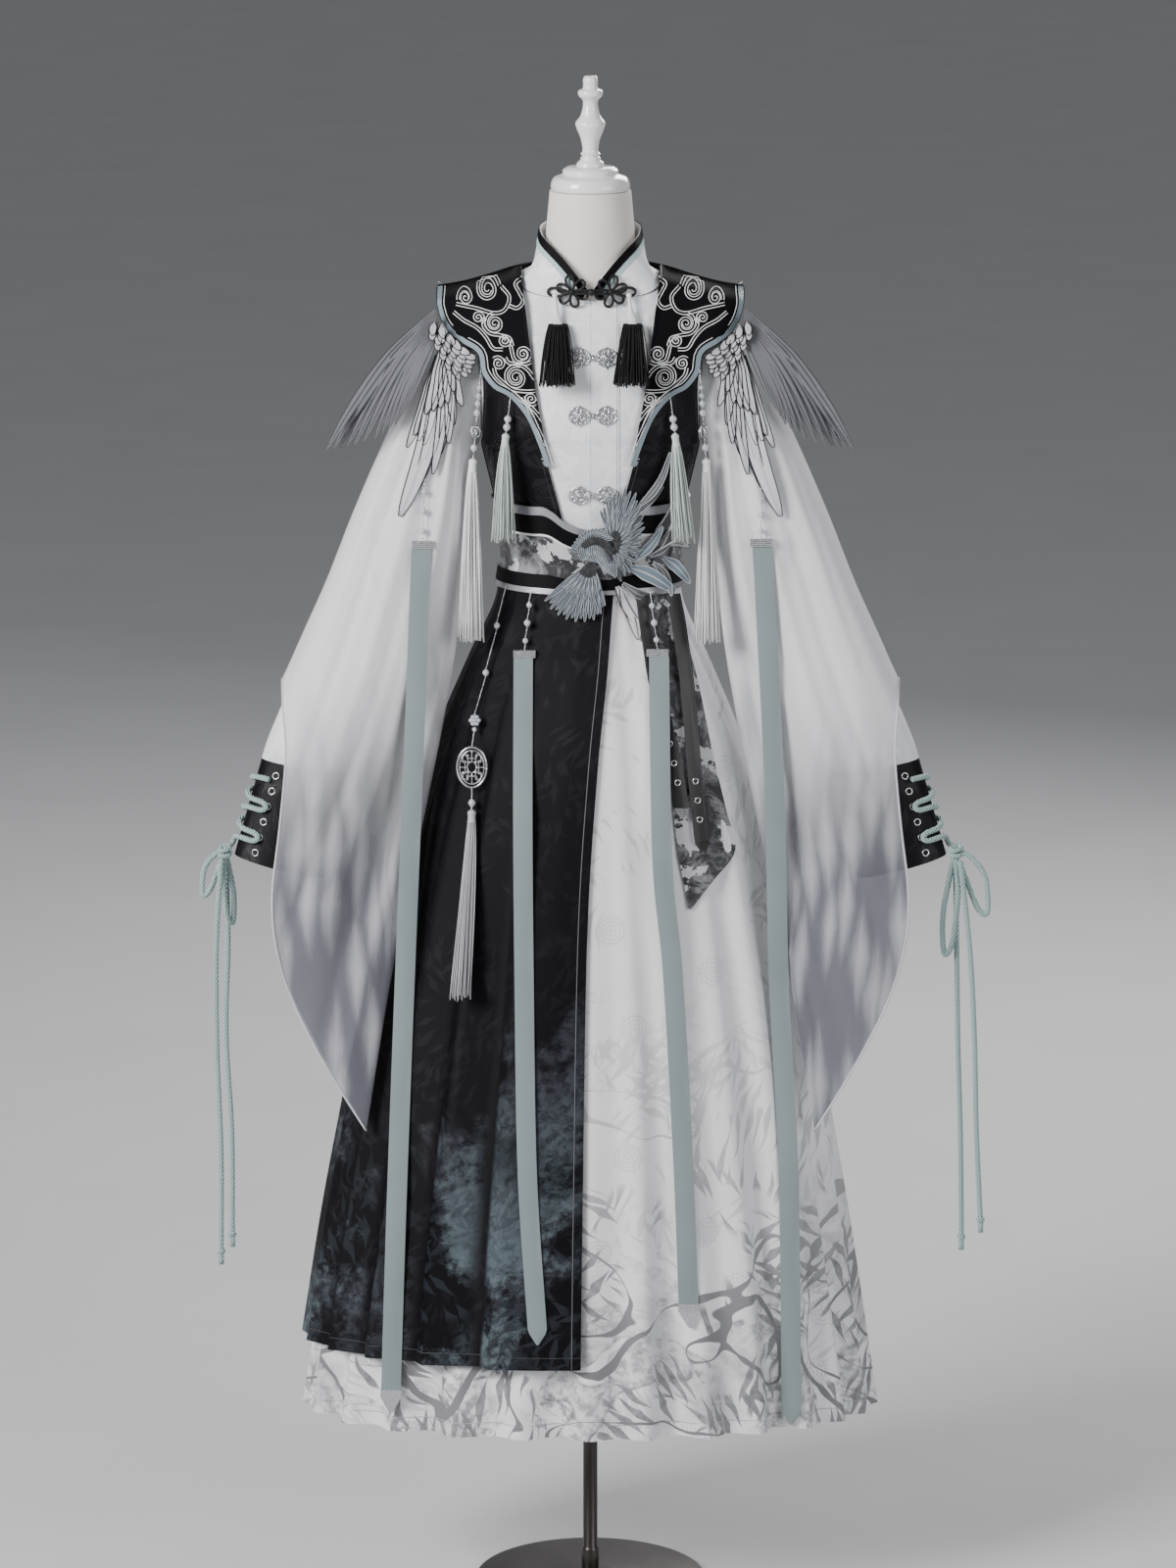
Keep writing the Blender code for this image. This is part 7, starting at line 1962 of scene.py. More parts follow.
def ribbon_shift(tree, lines):
    """How far forward each level of a ribbon moves to stay before the cloth behind it."""
    shift = np.array([clear_y(tree, x, height, half, y, RIBBON_GAP) - y for height, x, y, half in lines])
    shift = np.maximum(shift, -RIBBON_SHIFT_MOST)
    widened = np.min([np.roll(shift, step) for step in range(-3, 4)], axis=0)
    return smooth_line(widened[:, None], 8)[:, 0]


def add_ribbon_end(node, coarse):
    """The silver end over the foot of a ribbon."""
    top, low = coarse[-2, 0] + 0.012, coarse[-1, 0] - 0.0015
    upwards = coarse[::-1]
    outer, inner = [], []
    for share in (0.0, 0.30, 0.31, 0.70, 1.0):
        height = top + (low - top) * share
        x, y, half = (read(upwards, height, column) for column in (1, 2, 3))
        half += 0.0006
        outer.append([(x + half * s, y - 0.0044, height) for s in (-1.0, -0.5, 0.0, 0.5, 1.0)])
        inner.append([(x + half * s, y + 0.0016, height) for s in (-1.0, -0.5, 0.0, 0.5, 1.0)])
    dress(wall_mesh(f"{node}_end", np.array(outer), np.array(inner), SILVER, False, 30.0))


def add_ribbon_chain(node, clamp):
    chain = node_line(f"{node}_chain")
    top = chain[-1, 0]
    middle = clamp - 0.5 * CLAMP_HEIGHT
    half = (CLAMP_HALF, CLAMP_DEPTH, 0.5 * CLAMP_HEIGHT)
    clamp_box = clamp_mesh(f"{node}_clamp", (*line_at(chain, middle), middle), half, SILVER)
    dress(clamp_box, f"{node}_chain", slot="silver_metal")
    dress(tubes(f"{node}_wire", [chain_path(chain, top, clamp - 0.001)], 0.00055, 6, SILVER))
    sizes = ((0.25, 0.0036), (0.55, 0.0042), (0.85, 0.0036))
    capped_pearls(node, [on_line(chain, top - share * (top - clamp), size) for share, size in sizes])


def add_ribbons():
    skirts = tree_of("white_skirt_front", "black_overskirt")
    sleeves = tree_of("white_skirt_front", "black_overskirt", "overlay_sleeve_left", "overlay_sleeve_right")
    for node, clamp, silver_end, reach, length, start in RIBBONS:
        rows = node_line(node)
        coarse = rows[np.argsort(-rows[:, 0])]
        top = coarse[0, 0]
        heights = np.linspace(top, coarse[-1, 0], 130)
        bend = smooth_route(coarse[:-1, :3], 100)
        middle = np.interp(heights, bend[::-1, 0], bend[::-1, 1])
        depth, half = (np.interp(heights, coarse[::-1, 0], coarse[::-1, axis]) for axis in (2, 3))
        lines = np.stack([heights, middle, depth, half], axis=1)
        shift = ribbon_shift(sleeves if node.startswith("sleeve") else skirts, lines)
        outer, inner = [], []
        for level, (height, x, y, half) in enumerate(lines):
            y += shift[level]
            down = top - height
            wave = reach * math.sin(math.tau * down / length + start) * min(1.0, down / 0.08)
            front, back = [], []
            for share in np.linspace(-1.0, 1.0, 9):
                cup = 0.0009 * share ** 2 - abs(reach) + wave * (0.6 + 0.4 * share)
                depth = y - 0.0004 + min(0.0, cup * min(1.0, down / 0.05))
                front.append((x + half * share, depth - 0.0005, height))
                back.append((x + half * share, depth + 0.0005, height))
            outer.append(front)
            inner.append(back)
        made = wall_mesh(f"{node}_cloth", np.array(outer), np.array(inner), RIBBON, False, 45.0)
        dress(made, node, slot="grey_teal_ribbon")
        made_cloth[node] = (made, np.array(outer), None)
        add_ribbon_chain(node, clamp)
        if silver_end:
            add_ribbon_end(node, coarse)


# Sash and straps, pendant, frog, clasps

def node_strip(node, heights, shares, finish, name, slot, thick):
    """A strip over a CAD strip, its depth felt on the CAD piece and smoothed; edges as the CAD's."""
    tree = node_tree_of(node)
    rows = []
    for height, left, right in heights:
        depths = [front_y(tree, left + 0.0006 + share * (right - left - 0.0012), height) for share in shares]
        middle = float(np.mean([y for y in depths if y is not None]))
        rows.append([(left + share * (right - left), middle if y is None else y, height)
                     for share, y in zip(shares, depths)])
    grid = refined(np.array(rows), 8, 4, False, False)
    inner = grid.copy()
    inner[..., 1] += thick
    made = wall_mesh(name, grid, inner, finish, False, 40.0)
    made_cloth[node] = (made, grid, None)
    dress(made, node, slot=slot)


SASH = ((1.3190, 0.078, 0.104), (1.290, 0.081, 0.112), (1.255, 0.085, 0.122), (1.220, 0.090, 0.132),
        (1.180, 0.093, 0.141), (1.140, 0.096, 0.149), (1.100, 0.099, 0.158), (1.050, 0.104, 0.170),
        (1.000, 0.1095, 0.1815), (0.965, 0.1165, 0.153), (0.9320, 0.1225, 0.1260))
STRAP_HALF = 0.009
EYELET_RADIUS = 0.0034
STRAPS = (
    (
        "strap_inner",
        (
            (1.3190, 0.0655), (1.290, 0.0690), (1.255, 0.0745), (1.220, 0.0800), (1.180, 0.0895),
            (1.140, 0.0985), (1.100, 0.1075), (1.062, 0.1130),
        ),
        (1.0495, 0.1150), SILVER, (1.140, 1.116, 1.092),
    ),
    (
        "strap_outer",
        (
            (1.3190, 0.1030), (1.290, 0.1090), (1.255, 0.1145), (1.220, 0.1195), (1.180, 0.1235),
            (1.140, 0.1270), (1.100, 0.1300), (1.060, 0.1345), (1.018, 0.1390),
        ),
        (1.0055, 0.1405), DARK_METAL, (1.092, 1.068, 1.044),
    ),
)


def add_sash():
    shares = np.linspace(0.0, 1.0, 5)
    node_strip("sash_panel", SASH, shares, BROCADE, "sash_panel_cloth", "ink_brocade", 0.0014)
    for node, line, tip, metal_kind, eyelets in STRAPS:
        heights = [(height, x - STRAP_HALF, x + STRAP_HALF) for height, x in line]
        heights.append((tip[0], tip[1] - 0.0030, tip[1] + 0.0030))
        node_strip(node, heights, (0.0, 0.34, 0.66, 1.0), LEATHER, f"{node}_leather", "black_leather", 0.0018)
        tree = tree_of(node)
        upwards = np.array(line[::-1])
        turn = np.linspace(0.0, math.tau, 25)
        rings, stitches = [], []
        for height in eyelets:
            x = read(upwards, height, 1)
            y = front_y(tree, x, height, -0.12)
            rings.append(np.stack([x + EYELET_RADIUS * np.cos(turn), np.full(25, y - 0.0004),
                                   height + EYELET_RADIUS * np.sin(turn)], axis=1))
        for way in (-1, 1):
            route = [(read(upwards, height, 1) + way * (STRAP_HALF - 0.0018), height)
                     for height in np.arange(1.318, line[-1][0], -0.006)]
            stitches.append(laid(tree, route, 0.0001))
        dress(tubes(f"{node}_eyelets", rings, 0.0008, 8, SILVER))
        dress(tubes(f"{node}_stitches", stitches, 0.00035, 5, SEAM_BLACK))
        low, high = tip[0] - 0.0005, line[-1][0] - 0.002
        outer, inner = [], []
        for share in (0.0, 0.25, 0.28, 0.7, 1.0):
            height = high + (low - high) * share
            x = float(np.interp(height, (tip[0], line[-1][0]), (tip[1], line[-1][1])))
            half = STRAP_HALF + 0.0004 - (STRAP_HALF - 0.0030) * max(0.0, share - 0.2) / 0.8
            y = front_y(tree, x, max(height, low + 0.002), -0.12)
            outer.append([(x + half * s, y - 0.0010, height) for s in (-1.0, 0.0, 1.0)])
            inner.append([(x + half * s, y + 0.0004, height) for s in (-1.0, 0.0, 1.0)])
        dress(wall_mesh(f"{node}_tip", np.array(outer), np.array(inner), metal_kind, False, 30.0))


def looped(centre, reach, width, turn, count):
    """A drop-shaped loop that leaves a centre towards turn and comes back."""
    out = []
    for step in range(count + 1):
        t = math.tau * step / count
        along = reach * 0.5 * (1.0 - math.cos(t))
        aside = width * 0.5 * math.sin(t) * (0.35 + 0.65 * along / reach)
        out.append((centre[0] + along * math.cos(turn) - aside * math.sin(turn),
                    centre[1] + along * math.sin(turn) + aside * math.cos(turn)))
    return np.array(out)


FROG_X, FROG_HEIGHT, FROG_REACH = 0.0015, 1.6985, 0.0240


def add_frog():
    tree = node_tree_of("knot_frog")
    cloth = tree_of("shirt_front_left", "shirt_front_right", "stand_collar")
    lines = []
    for way in (-1, 1):
        centre = (FROG_X + way * FROG_REACH, FROG_HEIGHT)
        for petal in range(6):
            turn = math.tau * petal / 6 + 0.30 * way
            lines.append(looped(centre, 0.0195, 0.0135, turn, 24))
        outwards = 0.0 if way > 0 else math.pi
        lines.append(looped((centre[0] + way * 0.004, 1.6975), 0.0260, 0.0140, outwards, 24))
        for rise in (1, -1):
            lines.append(np.array([(centre[0] - way * 0.004, FROG_HEIGHT + rise * 0.0022),
                                   (FROG_X + way * 0.004, FROG_HEIGHT + rise * 0.0016)]))
    paths = []
    for order, line in enumerate(lines):
        path = []
        for x, height in smooth_route(line, max(12, 2 * len(line))):
            y = front_y(tree, x, height)
            if y is None:
                y = min(front_y(cloth, x, height, -0.040), -0.040) - 0.0020
            path.append((x, y - 0.0006 - 0.0004 * (order % 3), height))
        path = np.array(path)
        path[:, 1] = smooth_line(path[:, 1:2], 4)[:, 0]
        paths.append(path)
    dress(tubes("frog_cords", paths, 0.0017, 8, FROG), "knot_frog", slot="black_frog_cord")
    balls = []
    for x, size in ((FROG_X - FROG_REACH, 0.0046), (FROG_X + FROG_REACH, 0.0046), (FROG_X, 0.0058)):
        y = front_y(tree, x, FROG_HEIGHT, front_y(tree, x, 1.7005, -0.075))
        balls.append((x, y - 0.0008, FROG_HEIGHT, size, 0.8))
    dress(beads("frog_knots", balls, FROG, 8, 14))


CLASP_X, CLASP_REACH = 0.0030, 0.0170
CLASP_HEIGHTS = (1.6200, 1.5500, 1.4480)


def add_clasps():
    """Openwork clasps: two rosettes of looped wire, joined by a ring."""
    for order, height in enumerate(CLASP_HEIGHTS):
        node = f"metal_clasp_{order + 1}"
        tree = node_tree_of(node)
        lines, balls = [], []
        for way in (-1, 1):
            centre = (CLASP_X + way * CLASP_REACH, height)
            for petal in range(6):
                turn = math.tau * (petal + 0.5) / 6
                lines.append(looped(centre, 0.0115 if petal not in (1, 4) else 0.0105, 0.0078, turn, 18))
            lines.append(spiral(centre[0], centre[1], 0.0048, 1.5, 90 if way > 0 else -90, way))
            turns = np.linspace(0.0, math.tau, 33)
            for reach in (0.0068, 0.0124):
                lines.append(np.stack([centre[0] + reach * np.cos(turns),
                                       height + 0.88 * reach * np.sin(turns)], axis=1))
            back = math.pi if way > 0 else 0.0
            lines.append(looped((centre[0] - way * 0.010, height), 0.0075, 0.0060, back, 16))
            for petal in range(6):
                turn = math.tau * (petal + 0.5) / 6
                balls.append((centre[0] + 0.0125 * math.cos(turn), height + 0.0125 * math.sin(turn), 0.0012))
            balls.append((*centre, 0.0020))
        turns = np.linspace(0.0, math.tau, 17)
        lines.append(np.stack([CLASP_X + 0.0042 * np.cos(turns), height + 0.0030 * np.sin(turns)], axis=1))
        shirt = tree_of("shirt_front_left", "shirt_front_right")
        behind = node_tree_of("flower_applique") if order == 2 else None

        def depth(x, z):
            y = front_y(tree, x, z)
            if y is None:
                y = front_y(shirt, x, z, -0.09) - 0.0016
            if behind is not None and front_y(behind, x, z) is not None:
                return None
            return y
        paths = []
        for line in lines:
            path = [(x, depth(x, z), z) for x, z in line]
            path = [(x, y - 0.0005, z) for x, y, z in path if y is not None]
            if len(path) > 4:
                path = np.array(path)
                path[:, 1] = smooth_line(path[:, 1:2], 3)[:, 0]
                paths.append(path)
        dress(tubes(f"{node}_wires", paths, 0.00092, 6, SILVER), node, slot="silver_metal")
        places = [(x, depth(x, z), z, size) for x, z, size in balls]
        places = [(x, y - 0.0007, z, size) for x, y, z, size in places if y is not None]
        dress(beads(f"{node}_grains", places, SILVER, 6, 10))


OVAL_CENTRE, OVAL_HALF = (-0.1476, 1.109), (0.020, 0.0272)
# The pendant's fretwork: lines of one quarter, as shares of the oval's half width and half height
FRETWORK = (
    ((0.28, 0.0), (0.77, 0.0)),
    ((0.42, 0.0), (0.42, 0.30), (0.62, 0.30)), ((0.42, 0.0), (0.42, -0.30), (0.62, -0.30)),
    ((0.24, 0.14), (0.24, 0.56), (0.50, 0.56)), ((0.24, -0.14), (0.24, -0.56), (0.50, -0.56)),
)


def add_pendant():
    rows = node_line("pendant_chain")
    oval = node_tree_of("pendant_oval")
    y = front_y(oval, OVAL_CENTRE[0] + 0.93 * OVAL_HALF[0], OVAL_CENTRE[1]) + 0.0013
    x0, z0 = OVAL_CENTRE

    def flat(points, deep=0.0):
        return np.array([(x0 + OVAL_HALF[0] * a, y + deep, z0 + OVAL_HALF[1] * b) for a, b in points])
    turns = np.linspace(0.0, math.tau, 61)
    rim = [flat([(0.92 * math.cos(t), 0.94 * math.sin(t)) for t in turns])]
    dress(tubes("pendant_oval_rim", rim, 0.0014, 10, SILVER), "pendant_oval", slot="silver_metal")
    thin = [flat([(0.76 * math.cos(t), 0.79 * math.sin(t)) for t in turns]),
            flat([(0.28 * math.cos(t), 0.26 * math.sin(t)) for t in turns[::2]])]
    for quarter in range(4):
        turn = math.tau * quarter / 4
        c, s = math.cos(turn), math.sin(turn)
        for key in FRETWORK:
            line = []
            for (ax, ay), (bx, by) in zip(key, key[1:]):
                for step in range(5):
                    t = step / 5
                    line.append((ax + (bx - ax) * t, ay + (by - ay) * t))
            line.append(key[-1])
            thin.append(flat([(c * a - s * b, s * a + c * b) for a, b in line], -0.0002))
    dress(tubes("pendant_fretwork", thin, 0.00085, 7, SILVER))
    top = rows[-1, 0]
    foot = OVAL_CENTRE[1] + OVAL_HALF[1]
    wire = tubes("pendant_wire", [chain_path(rows, top, foot - 0.0006)], 0.0006, 6, SILVER)
    dress(wire, "pendant_chain", slot="silver_metal")
    bead_height = 1.165
    drop = top - bead_height
    pearls = [on_line(rows, top - 0.30 * drop, 0.0040), on_line(rows, top - 0.65 * drop, 0.0042),
              on_line(rows, bead_height - 0.0115, 0.0030)]
    capped_pearls("pendant", pearls)
    x, depth = line_at(rows, bead_height)
    petals = []
    for petal in range(6):
        turn = math.tau * petal / 6
        petals.append((x + 0.0048 * math.cos(turn), depth - 0.0030,
                       bead_height + 0.0048 * math.sin(turn), 0.0030, 0.9))
    middle = [(x, depth - 0.0042, bead_height, 0.0024), (x, depth, bead_height, 0.0052)]
    dress(beads("pendant_flower", petals + middle, PEARL, 8, 14))


# Feathers and leaves: thin shells whose u runs across (-1 to 1) and whose v runs along, in barb widths

BARB = 0.008
PLUME_WALL = 0.0004


def plume_shape(root, tip, half, bend, depth, lift, cup, blunt, rows):
    """Outer points and uv of one feather between two flat places; depth(x, height) gives its y."""
    columns = 5
    root, tip = np.array(root, float), np.array(tip, float)
    ahead = tip - root
    length = np.linalg.norm(ahead)
    aside = np.array((-ahead[1], ahead[0])) / length
    grid = np.zeros((rows, columns, 3))
    uv = np.zeros((rows, columns, 2))
    last = None
    for row in range(rows):
        t = row / (rows - 1)
        middle = root + ahead * t + aside * bend * math.sin(math.pi * t)
        wide = half * max(0.05, min(1.0, 0.25 + t * 2.2)) * max(0.04, 1.0 - t ** (1.0 + 4.0 * blunt)) ** 0.5
        y = depth(*middle)
        last = y if y is not None else last
        for column, share in enumerate(np.linspace(-1.0, 1.0, columns)):
            x, height = middle + aside * wide * share
            grid[row, column] = (x, 0.0 if last is None else last, height)
            uv[row, column] = (share, t * length / BARB)
        if last is None:
            grid[row, :, 1] = np.nan
    ys = grid[:, 0, 1]
    known = ~np.isnan(ys)
    if not known.any():
        return None
    ys = np.interp(np.arange(rows), np.arange(rows)[known], ys[known])
    ys = smooth_line(ys[:, None], 3)[:, 0]
    share = np.linspace(-1.0, 1.0, columns)
    t = np.linspace(0.0, 1.0, rows)
    rise = lift * np.minimum(1.0, 0.25 + 2.0 * t)
    grid[..., 1] = ys[:, None] - rise[:, None] + cup * (share ** 2)[None, :]
    return grid, uv


def plumes(name, shapes, finish):
    """One mesh of several feathers; a shape that found nothing behind it is left out."""
    points, uvs, faces = [], [], []
    start = 0
    for grid, uv in filter(None, shapes):
        rows, columns = grid.shape[:2]
        back = grid.copy()
        back[..., 1] += PLUME_WALL
        points += [grid.reshape(-1, 3), back.reshape(-1, 3)]
        uvs += [uv.reshape(-1, 2), uv.reshape(-1, 2)]
        faces += shell_faces(rows, columns, start, False)
        start += 2 * rows * columns
    return make_mesh(name, np.concatenate(points), faces, finish, np.concatenate(uvs), 60.0)


def outlines(name, shapes, radius, finish):
    """Fine threads round the edge of each feather."""
    paths = []
    for grid, _ in filter(None, shapes):
        edge = np.concatenate([grid[:, 0], grid[-1, 1:-1], grid[::-1, -1]])
        edge[:, 1] -= 0.6 * radius
        paths.append(edge)
    return dress(tubes(name, paths, radius, 5, finish))


# The wing's outer feathers: x and height of the first and last root, and of the tips from the outermost down
OUTER_ROOTS = np.array([(0.1915, 1.6740), (0.1880, 1.6440)])
OUTER_TIPS = np.array([
    (0.3268, 1.5005), (0.3150, 1.4990), (0.3015, 1.5030), (0.2870, 1.5085), (0.2668, 1.5145),
    (0.2528, 1.5255), (0.2420, 1.5330), (0.2330, 1.5480), (0.2240, 1.5600),
])
# The inner feathers: root, tip, half width, bend
INNER_PLUMES = (
    ((0.1900, 1.6180), (0.2270, 1.5050), 0.0070, -0.0040),
    ((0.1890, 1.6180), (0.2180, 1.5200), 0.0066, -0.0040),
    ((0.1870, 1.6200), (0.2130, 1.5130), 0.0066, -0.0030),
    ((0.1880, 1.6150), (0.2060, 1.5080), 0.0062, -0.0030),
    ((0.1870, 1.6180), (0.2360, 1.4195), 0.0125, -0.0100),
    ((0.1820, 1.6140), (0.2190, 1.4450), 0.0095, -0.0070),
    ((0.1800, 1.6130), (0.1950, 1.4720), 0.0070, -0.0040),
    ((0.1770, 1.6120), (0.1860, 1.4960), 0.0066, -0.0030),
    ((0.1740, 1.6110), (0.1760, 1.5100), 0.0064, -0.0010),
    ((0.1710, 1.6110), (0.1690, 1.5330), 0.0060, 0.0020),
    ((0.1690, 1.6140), (0.1585, 1.5560), 0.0058, 0.0030),
    ((0.1860, 1.6260), (0.2040, 1.5460), 0.0064, -0.0030),
    ((0.1830, 1.6250), (0.1950, 1.5500), 0.0060, -0.0020),
    ((0.1800, 1.6240), (0.1860, 1.5540), 0.0058, -0.0010),
    ((0.1760, 1.6240), (0.1770, 1.5600), 0.0056, 0.0010),
    ((0.1730, 1.6250), (0.1690, 1.5740), 0.0052, 0.0020),
    ((0.1700, 1.6270), (0.1620, 1.5880), 0.0048, 0.0020),
)


def add_wings():
    for side, label in SIDES:
        tree = node_tree_of(f"feather_wing_{label}")

        def depth(x, height, tree=tree, side=side):
            return front_y(tree, side * x, height)

        def turned_side(shape, side=side):
            if shape is not None:
                shape[0][..., 0] *= side
            return shape
        outer = []
        for order in range(13):
            share = order / 12
            tip = np.array([np.interp(share * 8, range(9), OUTER_TIPS[:, axis]) for axis in range(2)])
            root = OUTER_ROOTS[0] + (OUTER_ROOTS[1] - OUTER_ROOTS[0]) * share
            shape = plume_shape(root, tip, 0.0085 - 0.0025 * share, 0.010 - 0.008 * share, depth,
                                0.0002 + 0.00025 * order, 0.0008, 0.3, 18)
            outer.append(turned_side(shape))
        made = plumes(f"wing_plumes_outer_{label}", outer, WING_OUTER)
        dress(made, f"feather_wing_{label}", slot="organza")
        inner = []
        for order, (root, tip, half, bend) in enumerate(INNER_PLUMES):
            lift = 0.0024 + 0.0002 * order
            inner.append(turned_side(plume_shape(root, tip, half, bend, depth, lift, 0.0002, 0.75, 18)))
        dress(plumes(f"wing_plumes_inner_{label}", inner, WING_INNER))
        outlines(f"wing_outlines_{label}", inner, 0.00060, OUTLINE_THREAD)
        scales = []
        for row in range(9):
            for column in range(4):
                x = 0.1925 - 0.0030 * row - 0.0080 * column + 0.0040 * (row % 2)
                height = 1.6600 - 0.0062 * row - 0.0040 * column
                if x < 0.1560:
                    continue
                turn = math.radians(-100 + 22 * column + 2 * row)
                tip = (x - 0.0165 * math.cos(turn), height + 0.0165 * math.sin(turn))
                lift = 0.0060 + 0.0002 * (8 - row)
                shape = plume_shape((x, height), tip, 0.0046, 0.0006, depth, lift, 0.0002, 0.8, 8)
                scales.append(turned_side(shape))
        dress(plumes(f"wing_scales_{label}", scales, WING_INNER))
        outlines(f"wing_scale_outlines_{label}", scales, 0.00055, OUTLINE_THREAD)


# Applique on the belt: two fans of feathers round dark middles, with leaves. Each fan: centre, tips, count

LOW_FAN = (
    (0.0020, 1.3650),
    (
        (-0.0566, 1.3138), (-0.0481, 1.3030), (-0.0372, 1.2955), (-0.0250, 1.2905), (-0.0104, 1.2900),
        (0.0000, 1.2905), (0.0100, 1.2960), (0.0180, 1.3100),
    ),
    17,
)
HIGH_FAN = (
    (0.0273, 1.3860),
    (
        (0.0120, 1.4300), (0.0272, 1.4514), (0.0405, 1.4599), (0.0550, 1.4538), (0.0636, 1.4322),
        (0.0671, 1.4104), (0.0650, 1.3900), (0.0590, 1.3700), (0.0500, 1.3520), (0.0380, 1.3400),
    ),
    25,
)
# Leaves: root, tip, half width, bend, kind
LEAVES = (
    ((0.0540, 1.4300), (0.0985, 1.5010), 0.0048, -0.0090, "sheer"),
    ((0.0480, 1.4230), (0.0901, 1.4580), 0.0034, -0.0040, "sheer"),
    ((0.0760, 1.3760), (0.1120, 1.4440), 0.0150, -0.0080, "dark"),
    ((0.0900, 1.3840), (0.1240, 1.3780), 0.0052, 0.0020, "white"),
    ((0.0560, 1.3660), (0.0900, 1.4060), 0.0060, -0.0030, "blue"),
    ((0.0700, 1.3700), (0.0980, 1.4000), 0.0036, -0.0030, "sheer"),
    ((0.0740, 1.3680), (0.1060, 1.3930), 0.0034, -0.0030, "sheer"),
    ((0.0480, 1.3570), (0.1050, 1.3240), 0.0098, 0.0040, "blue"),
    ((0.0900, 1.3660), (0.1240, 1.3330), 0.0074, 0.0030, "blue"),
    ((0.0800, 1.3600), (0.1010, 1.3200), 0.0050, 0.0040, "sheer"),
    ((0.0400, 1.3370), (0.0980, 1.3070), 0.0062, -0.0040, "sheer"),
    ((0.0330, 1.3330), (0.0600, 1.2660), 0.0120, 0.0060, "white"),
    ((0.0380, 1.3330), (0.0780, 1.2700), 0.0110, -0.0050, "white"),
)


LEAF_FINISHES = {"sheer": LEAF_GREY, "dark": LEAF_DARK, "white": LEAF_WHITE, "blue": LEAF_BLUE}
# Short feathers between the fans: route as x and height, count, first turn and change in degrees, reach back
# and ahead, half width, lift
PETAL_TUFTS = (
    (((-0.0170, 1.3800), (-0.0060, 1.3960), (0.0080, 1.4010), (0.0200, 1.3950)),
     15, 170, -12, 0.006, 0.008, 0.0026, 0.0056),
    (((-0.0130, 1.3780), (0.0000, 1.3830), (0.0110, 1.3790), (0.0180, 1.3700), (0.0240, 1.3600)),
     20, -70, -3, 0.006, 0.012, 0.0028, 0.0068),
    (((-0.0050, 1.3760), (0.0080, 1.3730), (0.0170, 1.3640), (0.0300, 1.3560)),
     14, -60, -2, 0.006, 0.010, 0.0028, 0.0076),
)
DARK_TUFTS = (
    (((-0.0060, 1.3850), (0.0060, 1.3920), (0.0170, 1.3880), (0.0250, 1.3800)),
     14, 160, -10, 0.006, 0.006, 0.0030, 0.0066),
)


def fan(centre, tips, count, depth, lift, inner, outer, half):
    tips = smooth_route(tips, count)
    shapes = []
    middle = np.array(centre)
    for order, tip in enumerate(tips):
        reach = outer * (1.0 - 0.05 * (order % 2))
        root = middle + (tip - middle) * inner
        bend = 0.0012 if order % 2 else -0.0012
        shapes.append(plume_shape(root, middle + (tip - middle) * reach, half, bend, depth,
                                  lift + 0.0004 * (order % 3), -0.0006, 0.8, 10))
    return shapes


def tufts(route, count, first, change, back, ahead, half, depth, lift):
    """Short feathers along a line, each turned a little more than the one before."""
    shapes = []
    for order, (x, height) in enumerate(smooth_route(route, count)):
        turn = math.radians(first + change * order)
        away = np.array((math.cos(turn), math.sin(turn)))
        shapes.append(plume_shape((x, height) - back * away, (x, height) + ahead * away, half, 0.0, depth,
                                  lift + 0.0002 * (order % 4), -0.0004, 0.8, 8))
    return shapes


def add_applique():
    tree = node_tree_of("flower_applique")
    cloth = tree_of("belt", "white_skirt_front", "black_overskirt")

    def depth(x, height):
        found = front_y(tree, x, height)
        if found is None and height < 1.3215:
            found = front_y(cloth, x, height, -0.10) - 0.0022
        return found
    leaves = {kind: [] for kind in LEAF_FINISHES}
    for order, (root, tip, half, bend, kind) in enumerate(LEAVES):
        lift = 0.0008 + 0.0003 * order
        leaves[kind].append(plume_shape(root, tip, half, bend, depth, lift, 0.0004, 0.3, 16))
    for kind, finish in LEAF_FINISHES.items():
        dress(plumes(f"applique_{kind}_leaves", leaves[kind], finish))
    petals, dark = [], []
    for (centre, tips, count), base, half in ((HIGH_FAN, 0.0026, 0.0026), (LOW_FAN, 0.0042, 0.0031)):
        petals += fan(centre, tips, count, depth, base, 0.16, 1.0, half)
        petals += fan(centre, tips, int(count * 0.9), depth, base + 0.0012, 0.12, 0.62, 0.75 * half)
        dark += fan(centre, tips, count, depth, base + 0.0020, 0.02, 0.26, 0.0022)
    for shapes, tuft_rows in ((petals, PETAL_TUFTS), (dark, DARK_TUFTS)):
        for route, count, first, change, back, ahead, half, lift in tuft_rows:
            shapes.extend(tufts(route, count, first, change, back, ahead, half, depth, lift))
    dress(plumes("applique_plumes", petals, PETAL), "flower_applique", slot="grey_blue_thread")
    dress(plumes("applique_middles", dark, PETAL_DARK))
    outlines("applique_outlines", petals, 0.00030, PETAL_THREAD)
    outlines("applique_leaf_outlines", leaves["sheer"] + leaves["dark"] + leaves["blue"], 0.00050,
             PETAL_THREAD)
    outlines("applique_white_outlines", leaves["white"], 0.00045, OUTLINE_THREAD)


# Lacing round the cuffs' outer edges, with a bow and two free tails at each

CORD_RADIUS = 0.0035
LACE_OUT = CORD_RADIUS + 0.0017
LACE_TOP, LACE_LOW = 0.12, 0.90
LACE_CROSSINGS = 5
LACE_TURN = 50.0
LACE_BEND = 0.0045
KNOT_LIFT = 0.004
LAST_LIFT = 0.002
KNOT = (0.4580, 0.9990)
